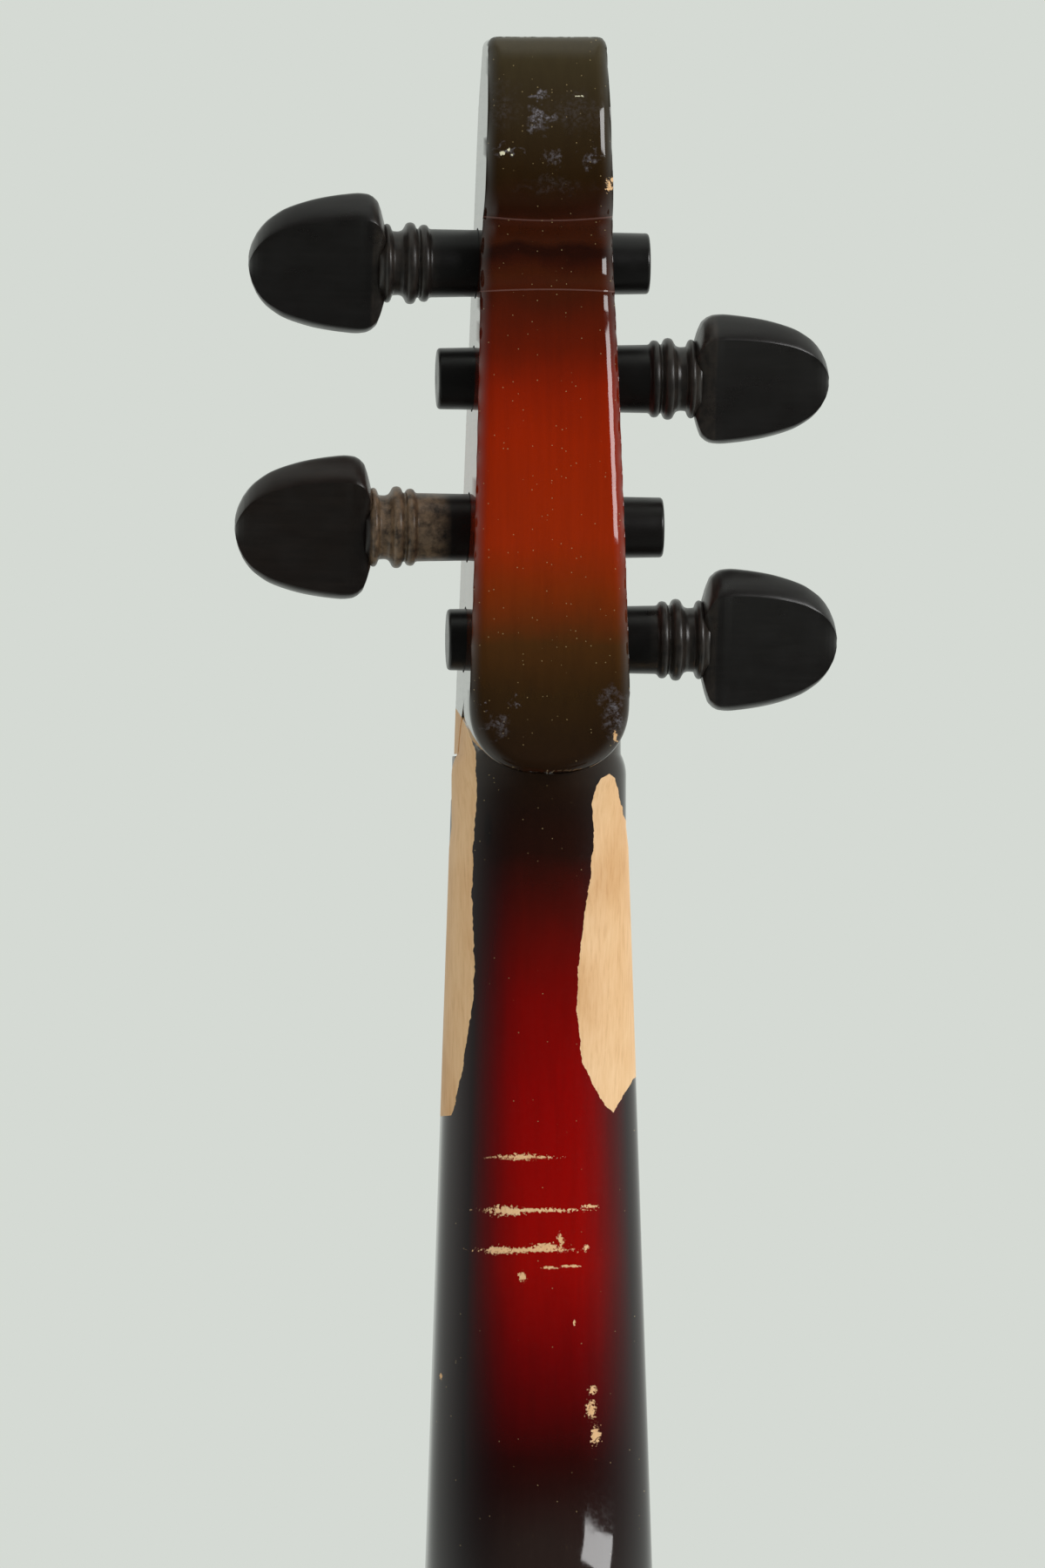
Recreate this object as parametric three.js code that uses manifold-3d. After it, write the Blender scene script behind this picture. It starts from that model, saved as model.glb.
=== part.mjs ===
// Electric violin, full size. Millimetres, +Z along the instrument with the head up.
// The strings face -Y, the flat back faces +Y, and +X is the side of the top string.
// The origin is the centre of the body's flat back.

import * as THREE from 'three';
import { mergeVertices } from 'three/addons/utils/BufferGeometryUtils.js';
import Module from 'manifold-3d';

const wasm = await Module();
wasm.setup();

// The value a share of the way from one value to another
function along(start, end, share) {
  return start + (end - start) * share;
}

// General clearances
const seatGap = 0.3;
const cutOverrun = 2;
const weldDistance = 0.0005;

// Body: one maple block with an arched front
const body = {
  length: 356,
  upperHalfWidth: 84,
  waistHalfWidth: 56,
  lowerHalfWidth: 104,
  rimHeight: 30,
  archHeight: 8,
  archHalfWidth: 80,
  archHalfLength: 168,
  edgeRadius: 3,
};

// Neck and the way it meets the body
const neck = {
  nutDepth: 12.3,
  lowDepth: 14,
  heelHalfWidth: 11,
  heelDepth: 36,
  heelStart: 94,
  overstand: 6,
  tenonLength: 24,
  tenonHalfWidth: 11,
  tenonBack: 8,
  sideRadius: 2,
};

// Scale: from the body's top edge to the bridge, the neck as a share of that stop, the board of both
const stopShare = 0.54775;
const neckShare = 2 / 3;
const boardShare = 0.8308;
const stop = body.length * stopShare;
const neckLength = stop * neckShare;

const board = {
  length: (stop + neckLength) * boardShare,
  nutHalfWidth: 12,
  endHalfWidth: 21,
  crownRadius: 42,
  edgeThickness: 4.6,
  scoopDepth: 2.2,
  scoopMargin: 3,
  projection: 27,
};
const nut = { thickness: 5.5, rise: 0.9, edgeRadius: 0.8 };

// Head: flat-sided pegbox with a rounded block on top
const head = {
  length: 101.8,
  lowHalfWidth: 11.4,
  topHalfWidth: 8.15,
  depth: 22.6,
  frontStep: 5.4,
  backRadius: 2.2,
  frontRadius: 0.8,
  tongueLength: 15,
  tongueTip: 0.25,
  tongueRadius: 10.8,
  tongueFullness: 2.4,
  tongueInnerRadius: 1,
  throatDepth: 16.4,
  coveLength: 7,
  slotLowHalfWidth: 8.1,
  slotTopHalfWidth: 5.3,
  slotTopShare: 0.8153,
  slotWall: 4.6,
  slotCornerRadius: 2,
};

// Pegs: place along the head, reach of the thumb piece and length over all
const pegShape = {
  length: 55.5,
  thumbLength: 18.6,
  thumbHalfHeight: 9.8,
  thumbHalfThickness: 4.7,
  faceTurnDegrees: 22,
  beadRadius: 5.4,
  waistRadius: 4.4,
  ringRadius: 5.65,
  secondRingRadius: 5.3,
  grooveRadius: 4.75,
  shankRadius: 4.7,
  taper: 1 / 60,
  axisDepth: 8,
  collarLength: 6.6,
  boreGap: 0.3,
};
const pegRows = [
  { name: 'peg_g', side: -1, heightShare: 0.1847, reachShare: 0.7333, lengthShare: 0.973 },
  { name: 'peg_e', side: 1, heightShare: 0.3369, reachShare: 0.7658, lengthShare: 1.0667 },
  { name: 'peg_d', side: -1, heightShare: 0.5383, reachShare: 0.7135, lengthShare: 0.9784 },
  { name: 'peg_a', side: 1, heightShare: 0.6945, reachShare: 0.7315, lengthShare: 0.9982 },
];
const pegs = pegRows.map(({ name, side, heightShare, reachShare, lengthShare }) => ({
  name,
  side,
  height: heightShare * head.length,
  reach: reachShare * pegShape.length,
  length: lengthShare * pegShape.length,
}));

// Strings, from the low one to the high one
const stringSpan = { nut: 16, bridge: 33.5, tail: 30 };
const stringSet = [
  { note: 'g', radius: 0.4, place: -1.5, turns: 4, pitch: 1.35, windEnd: 4.8 },
  { note: 'd', radius: 0.39, place: -0.5, turns: 4, pitch: 1.3, windEnd: 3.6 },
  { note: 'a', radius: 0.34, place: 0.5, turns: 4, pitch: 1.2, windEnd: 3.2 },
  { note: 'e', radius: 0.14, place: 1.5, turns: 5, pitch: 0.8, windEnd: 4.6 },
];
const stringSides = 6;
const windingSteps = 14;
const windingSides = 5;
const windingGap = 0.3;
const windingRun = 3;

// Bridge
const bridge = {
  height: 33,
  halfWidth: 20.75,
  footThickness: 4.4,
  topThickness: 1.6,
  crownRadius: 42,
};

// Pickup under the bridge
const pickup = {
  halfLength: 29,
  halfWidth: 8,
  thickness: 7,
  proud: 1,
  cornerRadius: 4,
  discRadius: 6,
  discThickness: 2.6,
  discProud: 0.5,
  discSpread: 14.6,
  ductRadius: 2.2,
};

// Tailpiece and what holds it
const tailpiece = {
  length: 104,
  wideHalfWidth: 23,
  crownRadius: 42,
  edgeThickness: 4,
  saddleGap: 3.5,
  fretInset: 6,
  fretWidth: 2,
  fretRise: 1.2,
  slotInset: 15,
  holeRadius: 1.9,
  slitHalfWidth: 0.75,
  gutInset: 9,
  gutHoleRadius: 1.5,
};
const saddle = { halfWidth: 17.5, depth: 7, rise: 7.5, seat: 5, gutLift: 1.4 };
const gut = { radius: 1.1, spread: 5.2, sides: 6 };
const endButton = {
  headRadius: 7.2,
  neckRadius: 3.9,
  headLength: 6.5,
  neckLength: 5.6,
  collarLength: 3,
  collarRadius: 7,
  pinLength: 24,
  pinRadius: 3.9,
};

// Fine tuner for the top string
const tuner = {
  bodyLength: 15,
  bodyHalfWidth: 4,
  wall: 1,
  floor: 1.2,
  bridgeBase: 5.4,
  bridgeThickness: 1.4,
  bridgeLength: 5,
  pivotInset: 2.6,
  pinRadius: 0.8,
  leverHalfWidth: 1.9,
  armBase: 3.2,
  armThickness: 1.6,
  prongTop: 8.4,
  prongSlit: 0.7,
  prongSlitDepth: 2.6,
  stemRadius: 1.5,
  stemLength: 6.4,
  headRadius: 3.6,
  headHeight: 3.4,
  headRibs: 12,
  ringRadius: 3.2,
  ringHeight: 1.4,
};

// Chinrest, centred over the tailpiece with the cup on the low side
const chinrest = {
  plateThickness: 6.5,
  platePlane: 56,
  cupHalfWidth: 47,
  cupHalfDepth: 30,
  cupShift: 42,
  cupOverhang: 4,
  cupSink: 4,
  tongueHalfWidth: 34,
  tongueDepth: 40,
  tongueRadius: 10,
  tongueMargin: 4,
  barrelRadius: 3.2,
  barrelLength: 16,
  barrelStart: -24,
  barrelSpread: 25,
  studRadius: 1.5,
  rimGap: 1.6,
  footHalf: 5.5,
  footLength: 9,
  edgeMargin: 4.5,
  footThickness: 3,
  footHalfWidth: 25,
  corkThickness: 2,
};

// Controls in the cavity behind the low right bout
const cavityShape = {
  rimWall: 28,
  endWall: 48,
  width: 40,
  length: 76,
  cornerRadius: 9,
  roof: 7,
  coverLip: 7,
  coverThickness: 2.4,
};
const cavity = {
  ...cavityShape,
  left: body.lowerHalfWidth - cavityShape.rimWall - cavityShape.width,
  right: body.lowerHalfWidth - cavityShape.rimWall,
  top: cavityShape.endWall + cavityShape.length - body.length / 2,
  bottom: cavityShape.endWall - body.length / 2,
};
const controlShares = { x: 0.55, volume: 0.7632, tone: 0.2895, jack: 0.5263 };
const pot = {
  radius: 8.2,
  depth: 8,
  bushRadius: 3.6,
  boreRadius: 3.0,
  bushLength: 12,
  lugLength: 6,
  lugWidth: 2,
  lugThickness: 0.9,
  lugPitch: 5,
  landingRise: 1,
  nutRadius: 5.8,
  nutHeight: 2.2,
  landingRadius: 11,
};
const potSpots = ['volume', 'tone'].map((name) => ({
  name,
  x: along(cavity.left, cavity.right, controlShares.x),
  z: along(cavity.bottom, cavity.top, controlShares[name]),
}));
const knob = {
  radius: 9.5,
  topRadius: 7.6,
  height: 14,
  skirtHeight: 3.2,
  lift: 1.2,
  wall: 2,
  hollow: 4,
  flutes: 12,
  fluteRadius: 0.9,
};
const jack = {
  height: along(cavity.bottom, cavity.top, controlShares.jack),
  depth: 15,
  sleeveRadius: 5.6,
  boreRadius: 3.3,
  length: 29,
  nutRadius: 8,
  nutThickness: 2.4,
  recess: 1.5,
  bite: 1,
  proud: 0.6,
  endWall: 2,
};
const capacitor = { radius: 3, length: 12, clearance: 2, wireRadius: 0.4, wireBite: 1 };
const lead = { radius: 0.9, sides: 8 };
const screw = { headRadius: 3, headHeight: 1.6, shankRadius: 1.3, length: 12 };

const group = new THREE.Group();

// Small helpers for shapes
const vector = (x, y, z) => new THREE.Vector3(x, y, z);

function finish(color, roughness, metalness) {
  return new THREE.MeshStandardMaterial({ color, roughness, metalness });
}

const finishes = {
  sunburst: finish('#5a0d08', 0.22, 0),
  ebony: finish('#141210', 0.4, 0),
  maple: finish('#c79a5c', 0.5, 0),
  steel: finish('#c9ccd0', 0.28, 1),
  woundString: finish('#b9b7b0', 0.35, 1),
  blackPlastic: finish('#101012', 0.45, 0),
  ceramic: finish('#d8d2c0', 0.6, 0),
  cork: finish('#b98a58', 0.9, 0),
  nylon: finish('#1a1a1c', 0.5, 0),
  lead: finish('#2a2a2e', 0.6, 0),
  bone: finish('#4a2c18', 0.5, 0),
  cap: finish('#b8752c', 0.4, 0),
};

function addMesh(parent, name, geometry, material) {
  const mesh = new THREE.Mesh(geometry, material);
  mesh.name = name;
  parent.add(mesh);
  return mesh;
}

function toSolid(geometry) {
  const bare = geometry.clone();
  for (const attribute of Object.keys(bare.attributes)) {
    if (attribute !== 'position') {
      bare.deleteAttribute(attribute);
    }
  }
  const welded = mergeVertices(bare, weldDistance);
  const index = [];
  const source = welded.index.array;
  for (let i = 0; i < source.length; i += 3) {
    const [a, b, c] = [source[i], source[i + 1], source[i + 2]];
    if (a !== b && b !== c && a !== c) {
      index.push(a, b, c);
    }
  }
  const vertProperties = new Float32Array(welded.attributes.position.array);
  const triVerts = new Uint32Array(index);
  return new wasm.Manifold(new wasm.Mesh({ numProp: 3, vertProperties, triVerts }));
}

function fromSolid(solid) {
  const mesh = solid.getMesh();
  const geometry = new THREE.BufferGeometry();
  const count = mesh.vertProperties.length / mesh.numProp;
  const positions = new Float32Array(count * 3);
  for (let i = 0; i < count; i += 1) {
    for (let k = 0; k < 3; k += 1) {
      positions[i * 3 + k] = mesh.vertProperties[i * mesh.numProp + k];
    }
  }
  geometry.setAttribute('position', new THREE.BufferAttribute(positions, 3));
  geometry.setIndex([...mesh.triVerts]);
  geometry.computeVertexNormals();
  return geometry;
}

function combine(base, added, removed = []) {
  let solid = toSolid(base);
  for (const geometry of added) {
    solid = solid.add(toSolid(geometry));
  }
  for (const geometry of removed) {
    solid = solid.subtract(toSolid(geometry));
  }
  return fromSolid(solid);
}

// A closed skin over rings with the same number of points, with a fan over each end
function skin(rings) {
  const positions = [];
  const index = [];
  const size = rings[0].length;
  for (const ring of rings) {
    for (const point of ring) {
      positions.push(point.x, point.y, point.z);
    }
  }
  for (let r = 0; r + 1 < rings.length; r += 1) {
    for (let i = 0; i < size; i += 1) {
      const a = r * size + i;
      const b = r * size + ((i + 1) % size);
      index.push(a, b, b + size, a, b + size, a + size);
    }
  }
  const ends = [[rings[0], 0, true], [rings.at(-1), (rings.length - 1) * size, false]];
  for (const [ring, offset, flip] of ends) {
    const middle = new THREE.Vector3();
    ring.forEach((point) => middle.addScaledVector(point, 1 / size));
    const centre = positions.length / 3;
    positions.push(middle.x, middle.y, middle.z);
    for (let i = 0; i < size; i += 1) {
      const next = (i + 1) % size;
      const [a, b] = flip ? [next, i] : [i, next];
      index.push(offset + a, offset + b, centre);
    }
  }
  const geometry = new THREE.BufferGeometry();
  geometry.setAttribute('position', new THREE.Float32BufferAttribute(positions, 3));
  if (signedVolume(positions, index) < 0) {
    index.reverse();
  }
  geometry.setIndex(index);
  geometry.computeVertexNormals();
  return geometry;
}

function signedVolume(positions, index) {
  const point = (i) => vector(positions[3 * i], positions[3 * i + 1], positions[3 * i + 2]);
  let volume = 0;
  for (let i = 0; i < index.length; i += 3) {
    volume += point(index[i]).dot(point(index[i + 1]).cross(point(index[i + 2])));
  }
  return volume;
}

// A tube along points, each ring square to the run there
function sweep(points, radius, sides) {
  const rings = [];
  let side = null;
  points.forEach((point, i) => {
    const before = points[Math.max(i - 1, 0)];
    const after = points[Math.min(i + 1, points.length - 1)];
    const tangent = after.clone().sub(before).normalize();
    if (!side) {
      side = Math.abs(tangent.x) < Math.SQRT1_2 ? vector(1, 0, 0) : vector(0, 1, 0);
    }
    side = side.clone().addScaledVector(tangent, -side.dot(tangent)).normalize();
    const up = tangent.clone().cross(side);
    const ring = [];
    for (let k = 0; k < sides; k += 1) {
      const angle = (2 * Math.PI * k) / sides;
      const across = radius * Math.cos(angle);
      const rise = radius * Math.sin(angle);
      ring.push(point.clone().addScaledVector(side, across).addScaledVector(up, rise));
    }
    rings.push(ring);
  });
  return skin(rings);
}

function box(x0, x1, y0, y1, z0, z1) {
  const geometry = new THREE.BoxGeometry(x1 - x0, y1 - y0, z1 - z0);
  geometry.translate((x0 + x1) / 2, (y0 + y1) / 2, (z0 + z1) / 2);
  return geometry;
}

// A solid turned about the Y axis from pairs of radius and height along Y
function turned(profile, sides) {
  const points = profile.map(([r, y]) => new THREE.Vector2(r, y));
  return windOut(new THREE.LatheGeometry(points, sides));
}

function windOut(geometry) {
  const flat = mergeVertices(stripped(geometry), weldDistance);
  const kept = [];
  const source = flat.index.array;
  for (let i = 0; i < source.length; i += 3) {
    const [a, b, c] = [source[i], source[i + 1], source[i + 2]];
    if (a !== b && b !== c && a !== c) {
      kept.push(a, b, c);
    }
  }
  if (signedVolume(flat.attributes.position.array, kept) < 0) {
    kept.reverse();
  }
  flat.setIndex(kept);
  flat.computeVertexNormals();
  return flat;
}

function stripped(geometry) {
  const bare = geometry.clone();
  for (const attribute of Object.keys(bare.attributes)) {
    if (attribute !== 'position') {
      bare.deleteAttribute(attribute);
    }
  }
  return bare;
}

// A prism on an outline in X and Z, from one Y to another
function slab(outline, y0, y1) {
  return skin([y0, y1].map((y) => outline.map(([x, z]) => vector(x, y, z))));
}

function roundedRectangle(x0, x1, z0, z1, radius, steps) {
  const corners = [
    [x1 - radius, z1 - radius, 0],
    [x0 + radius, z1 - radius, 1],
    [x0 + radius, z0 + radius, 2],
    [x1 - radius, z0 + radius, 3],
  ];
  const outline = [];
  for (const [x, z, quarter] of corners) {
    for (let i = 0; i <= steps; i += 1) {
      const angle = (Math.PI / 2) * (quarter + i / steps);
      outline.push([x + radius * Math.cos(angle), z + radius * Math.sin(angle)]);
    }
  }
  return outline;
}

// Outline moved inwards along its own normals; a negative distance moves it out
function inset(outline, distance) {
  return outline.map(([x, z], i) => {
    const [xa, za] = outline[(i + outline.length - 1) % outline.length];
    const [xb, zb] = outline[(i + 1) % outline.length];
    const before = new THREE.Vector2(x - xa, z - za).normalize();
    const after = new THREE.Vector2(xb - x, zb - z).normalize();
    const normal = new THREE.Vector2(-(before.y + after.y), before.x + after.x).normalize();
    const stretch = 1 / Math.max(normal.dot(new THREE.Vector2(-before.y, before.x)), Math.SQRT1_2);
    return [x + normal.x * distance * stretch, z + normal.y * distance * stretch];
  });
}

// Body outline: landmarks and curve handles as shares of the three half widths and the half length
const bodyHalf = body.length / 2;
const bodyTop = bodyHalf;
const bodyBottom = -bodyHalf;
const shoulderShares = [0.595, 1, 1, 0.787, 1, 0.601];
const upperShares = [1, 0.506, 0.81, 0.416, 0.923, 0.329];
const waistUpperShares = [1.107, 0.298, 1, 0.202, 1, 0.079];
const waistLowerShares = [1, -0.056, 1.286, -0.185, 1.65, -0.2];
const lowerShares = [0.835, -0.315, 1, -0.427, 1, -0.584];
const bottomShares = [1, -0.843, 0.538, -1, 0, -1];

const bodyCurveSteps = 6;

function bodyOutline() {
  const path = new THREE.Path();
  const curve = (shares, halfWidth) => {
    const [ax, az, bx, bz, x, z] = shares;
    const handles = [ax * halfWidth, az * bodyHalf, bx * halfWidth, bz * bodyHalf];
    path.bezierCurveTo(...handles, x * halfWidth, z * bodyHalf);
  };
  path.moveTo(0, bodyTop);
  curve(shoulderShares, body.upperHalfWidth);
  curve(upperShares, body.upperHalfWidth);
  path.lineTo(path.currentPoint.x + body.edgeRadius / 4, path.currentPoint.y - body.edgeRadius);
  curve(waistUpperShares, body.waistHalfWidth);
  curve(waistLowerShares, body.waistHalfWidth);
  path.lineTo(path.currentPoint.x + body.edgeRadius / 4, path.currentPoint.y - body.edgeRadius);
  curve(lowerShares, body.lowerHalfWidth);
  curve(bottomShares, body.lowerHalfWidth);
  const half = path.getPoints(bodyCurveSteps).map((point) => [point.x, point.y]);
  const mirrored = half.slice(1, -1).reverse().map(([x, z]) => [-x, z]);
  return [...half, ...mirrored].reverse();
}

const outline = bodyOutline();
const archShares = [0.88, 0.64, 0.34, 0.08];

function archDepth(share) {
  return body.rimHeight + body.archHeight * (1 - share ** 2.2);
}

// A point of the arched front: rings run from the outline at the edge to an oval in the middle
function archPoint(x, z, share) {
  const reach = Math.hypot(x / body.archHalfWidth, z / body.archHalfLength);
  const oval = along(1, 1 / reach, (1 - share ** 2) ** 2);
  return vector(x * share * oval, -archDepth(share), z * share * oval);
}

// Depth of the arched front at a point, by its share of the way out to the edge
function frontDepth(x, z) {
  const angle = Math.atan2(z, Math.abs(x));
  let edge = bodyHalf;
  for (const [px, pz] of outline) {
    const difference = Math.abs(Math.atan2(pz, px) - angle);
    if (px >= 0 && difference < Math.PI / outline.length) {
      edge = Math.hypot(px, pz);
    }
  }
  return archDepth(Math.min(Math.hypot(x, z) / edge, 1));
}

function bodyBlock() {
  const steps = 2;
  const rings = [];
  const ringAt = (distance, y) => rings.push(inset(outline, distance).map(([x, z]) => vector(x, y, z)));
  for (let i = 0; i <= steps; i += 1) {
    const angle = (Math.PI / 2) * (i / steps);
    ringAt(body.edgeRadius * (1 - Math.sin(angle)), -body.edgeRadius * (1 - Math.cos(angle)));
  }
  for (let i = 0; i <= steps; i += 1) {
    const angle = (Math.PI / 2) * (i / steps);
    const y = -(body.rimHeight - body.edgeRadius * (1 - Math.sin(angle)));
    ringAt(body.edgeRadius * (1 - Math.cos(angle)), y);
  }
  for (const share of archShares) {
    rings.push(outline.map(([x, z]) => archPoint(x, z, share)));
  }
  return skin(rings);
}

// Neck frame: origin under the nut on the plane where the fingerboard is glued
const boardRise = (halfWidth) => board.crownRadius - Math.sqrt(board.crownRadius ** 2 - halfWidth ** 2);
const boardHalfWidth = (down) => along(board.nutHalfWidth, board.endHalfWidth, down / board.length);
const boardThickness = (down) => board.edgeThickness + boardRise(boardHalfWidth(down));
const bodyJoinThickness = boardThickness(neckLength);
const climb = body.archHeight + board.projection - neck.overstand - bodyJoinThickness;
const neckTilt = Math.atan(climb / stop);
const nutY = -(body.rimHeight + neck.overstand) + neckLength * Math.sin(neckTilt);
const nutZ = bodyTop + neckLength * Math.cos(neckTilt);

const neckGroup = new THREE.Group();
neckGroup.position.set(0, nutY, nutZ);
neckGroup.rotation.x = -neckTilt;
neckGroup.updateMatrix();
group.add(neckGroup);
const toNeck = neckGroup.matrix.clone().invert();

// Head outlines in the neck frame, as shares of the head's length and depth
const backShares = [
  [0.03, 0.9], [0.08, 0.965], [0.16, 1], [0.28, 1], [0.4, 0.965], [0.52, 0.91], [0.62, 0.845], [0.653, 0.805],
  [0.672, 0.778], [0.703, 0.757], [0.735, 0.782], [0.752, 0.835],
  [0.775, 0.905], [0.83, 0.955], [0.89, 0.94], [0.94, 0.895], [0.97, 0.84],
];
const frontShares = [[0.03, -1], [0.3, -0.72], [0.6, -0.3], [0.8, 0.1], [0.9, 0.3], [0.97, 0.9]];
const crownShares = [[0.985, 0.1], [0.995, 0.42], [1, 1]];
const cheekShares = [[0, 0.12], [0.3, 0.3], [0.7, 0.82], [1, 0.86]];

function interpolate(table, at) {
  const last = table.length - 1;
  if (at <= table[0][0]) {
    return table[0][1];
  }
  for (let i = 0; i < last; i += 1) {
    if (at <= table[i + 1][0]) {
      const share = (at - table[i][0]) / (table[i + 1][0] - table[i][0]);
      return along(table[i][1], table[i + 1][1], share);
    }
  }
  return table[last][1];
}

const windingReach = Math.hypot(pegShape.shankRadius + 3 * windingGap, windingRun) + windingGap;
const headHalfWidth = (z) => along(head.lowHalfWidth, head.topHalfWidth, z / head.length);
const headBack = (z) => head.depth * interpolate(backShares, z / head.length);
const headFront = (z) => head.frontStep * interpolate(frontShares, z / head.length);

// Section across the head: square in front, rounded behind
function headSection(z, halfWidth, front, back, backRadius) {
  const steps = 3;
  const points = [];
  const arc = (cx, cy, radius, from, count) => {
    for (let i = 0; i <= count; i += 1) {
      const angle = from + (Math.PI / 2) * (i / count);
      points.push(vector(cx + radius * Math.cos(angle), cy + radius * Math.sin(angle), z));
    }
  };
  const big = Math.min(backRadius, halfWidth * 0.9, (back - front) * 0.45);
  const small = head.frontRadius;
  arc(halfWidth - big, back - big, big, 0, steps);
  arc(-halfWidth + big, back - big, big, Math.PI / 2, steps);
  arc(-halfWidth + small, front + small, small, Math.PI, 1);
  arc(halfWidth - small, front + small, small, 1.5 * Math.PI, 1);
  return points;
}

function headLoft() {
  const low = nut.thickness / 2 + seatGap;
  const turn = head.tongueTip + head.tongueLength;
  const step = head.frontRadius / 4;
  const rings = cheekShares.map(([share, backShare]) => {
    const z = along(low, turn, share);
    return headSection(z, headHalfWidth(z), headFront(z), head.throatDepth * backShare, head.frontRadius);
  });
  const heights = backShares.map(([share]) => share * head.length).filter((z) => z > turn + step);
  for (const z of [turn + step, ...heights]) {
    rings.push(headSection(z, headHalfWidth(z), headFront(z), headBack(z), head.backRadius));
  }
  const top = heights.at(-1);
  for (const [share, insetShare] of crownShares) {
    const z = share * head.length;
    const shrink = insetShare * head.backRadius;
    const front = headFront(top) + shrink;
    rings.push(headSection(z, headHalfWidth(z) - shrink, front, headBack(top) - shrink, head.backRadius));
  }
  return skin(rings);
}

function tongueLoft() {
  const steps = 7;
  const rings = [];
  const turn = head.tongueTip + head.tongueLength;
  const power = 2 / head.tongueFullness;
  for (let i = 1; i <= steps; i += 1) {
    const angle = (Math.PI / 2) * (i / steps);
    const z = head.tongueTip + head.tongueRadius * (1 - Math.cos(angle) ** power);
    const halfWidth = headHalfWidth(z) * Math.sin(angle) ** power;
    const back = headBack(z) - head.backRadius * 0.7 * (1 - Math.sin(angle));
    rings.push(headSection(z, halfWidth, head.throatDepth / 2, back, head.backRadius));
  }
  rings.push(headSection(turn, headHalfWidth(turn), head.throatDepth / 2, headBack(turn), head.backRadius));
  const inside = turn + head.backRadius;
  const narrow = headHalfWidth(inside) - head.backRadius / 2;
  const insideBack = headBack(inside) - head.backRadius / 2;
  rings.push(headSection(inside, narrow, head.throatDepth / 2, insideBack, head.tongueInnerRadius));
  return skin(rings);
}

// Section across the neck: flat where the board is glued, behind it an arch that a square share turns boxy
function neckSection(z, halfWidth, backHalfWidth, depth, square = 0) {
  const steps = 10;
  const points = [vector(halfWidth, 0, z)];
  for (let i = 0; i <= steps; i += 1) {
    const angle = Math.PI * (i / steps);
    const fullness = Math.sin(angle) ** along(0.86, 0.4, square);
    const side = Math.sign(Math.cos(angle)) * Math.abs(Math.cos(angle)) ** along(1, 0.4, square);
    const width = along(halfWidth, backHalfWidth, fullness);
    points.push(vector(width * side, neck.sideRadius + (depth - neck.sideRadius) * fullness, z));
  }
  points.push(vector(-halfWidth, 0, z));
  return points;
}

const heelShares = [[0, 0], [0.3, 0.05], [0.52, 0.17], [0.68, 0.34], [0.82, 0.58], [0.92, 0.82], [1, 1]];
const throatShares = [
  [0.2, 0.12, 0], [0.33, 0.3, 0.08], [0.45, 0.5, 0.3], [0.62, 0.76, 0.65], [0.84, 1, 1], [1, 1, 1],
];

function neckLoft() {
  const rings = [];
  const end = -neckLength - cutOverrun;
  const widthAt = (z) => boardHalfWidth(Math.max(-z, 0));
  rings.push(neckSection(end, widthAt(end), neck.heelHalfWidth, neck.heelDepth));
  for (const [share, rise] of heelShares.slice().reverse()) {
    const z = -along(neck.heelStart, neckLength, share);
    const back = along(neck.lowDepth, neck.heelDepth, rise);
    const width = widthAt(z);
    rings.push(neckSection(z, width, along(width, neck.heelHalfWidth * 1.25, rise), back));
  }
  const coveStart = -head.coveLength;
  for (const share of [0.5, 1]) {
    const z = along(-neck.heelStart, coveStart, share);
    rings.push(neckSection(z, widthAt(z), widthAt(z), along(neck.lowDepth, neck.nutDepth, share)));
  }
  const turn = head.tongueTip + head.tongueLength;
  const cheekStart = nut.thickness / 2 + seatGap;
  for (const [share, rise, square] of throatShares) {
    const z = along(coveStart, turn, share);
    const depth = along(neck.nutDepth, head.throatDepth, rise);
    const width = z < cheekStart ? widthAt(z) : headHalfWidth(z) - head.frontRadius / 8;
    rings.push(neckSection(z, width, width, depth, square));
  }
  return skin(rings);
}

function pegboxSlot() {
  const low = nut.thickness / 2 + seatGap;
  const shares = [0, 0.06, 0.3, 0.55, 0.72, 0.84, 0.97, 1];
  const rings = shares.map((share) => {
    const z = along(low, head.slotTopShare * head.length, share);
    const half = along(head.slotLowHalfWidth, head.slotTopHalfWidth, share);
    const rounding = share === 0 || share === 1 ? head.slotWall : 0;
    const deepest = Math.min(headBack(z) - head.slotWall, head.throatDepth);
    const floor = Math.max(deepest, pegShape.axisDepth + windingReach) - rounding;
    return headSection(z, half, -head.frontStep - cutOverrun, floor, head.slotCornerRadius);
  });
  return skin(rings);
}

// Pegs: axis along X in the neck frame, from the thumb's outer end inwards
const pegAxis = (peg) => vector(0, pegShape.axisDepth, peg.height);
const shankRadiusAt = (fromThumb) => {
  const start = pegShape.thumbLength + pegShape.collarLength;
  return pegShape.shankRadius - pegShape.taper * Math.max(fromThumb - start, 0);
};

const thumbShares = [
  [0, 0.22, 0.42], [0.05, 0.43, 0.5], [0.12, 0.58, 0.56], [0.25, 0.73, 0.64], [0.42, 0.86, 0.73],
  [0.6, 0.95, 0.83], [0.78, 0.995, 0.93], [0.88, 0.99, 0.98], [0.95, 0.9, 1], [1, 0.68, 0.98],
];
const dishShares = [[0, 0.5], [0.45, 0.56], [0.76, 0.92], [0.92, 0.78], [1, 0.3]];

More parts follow.
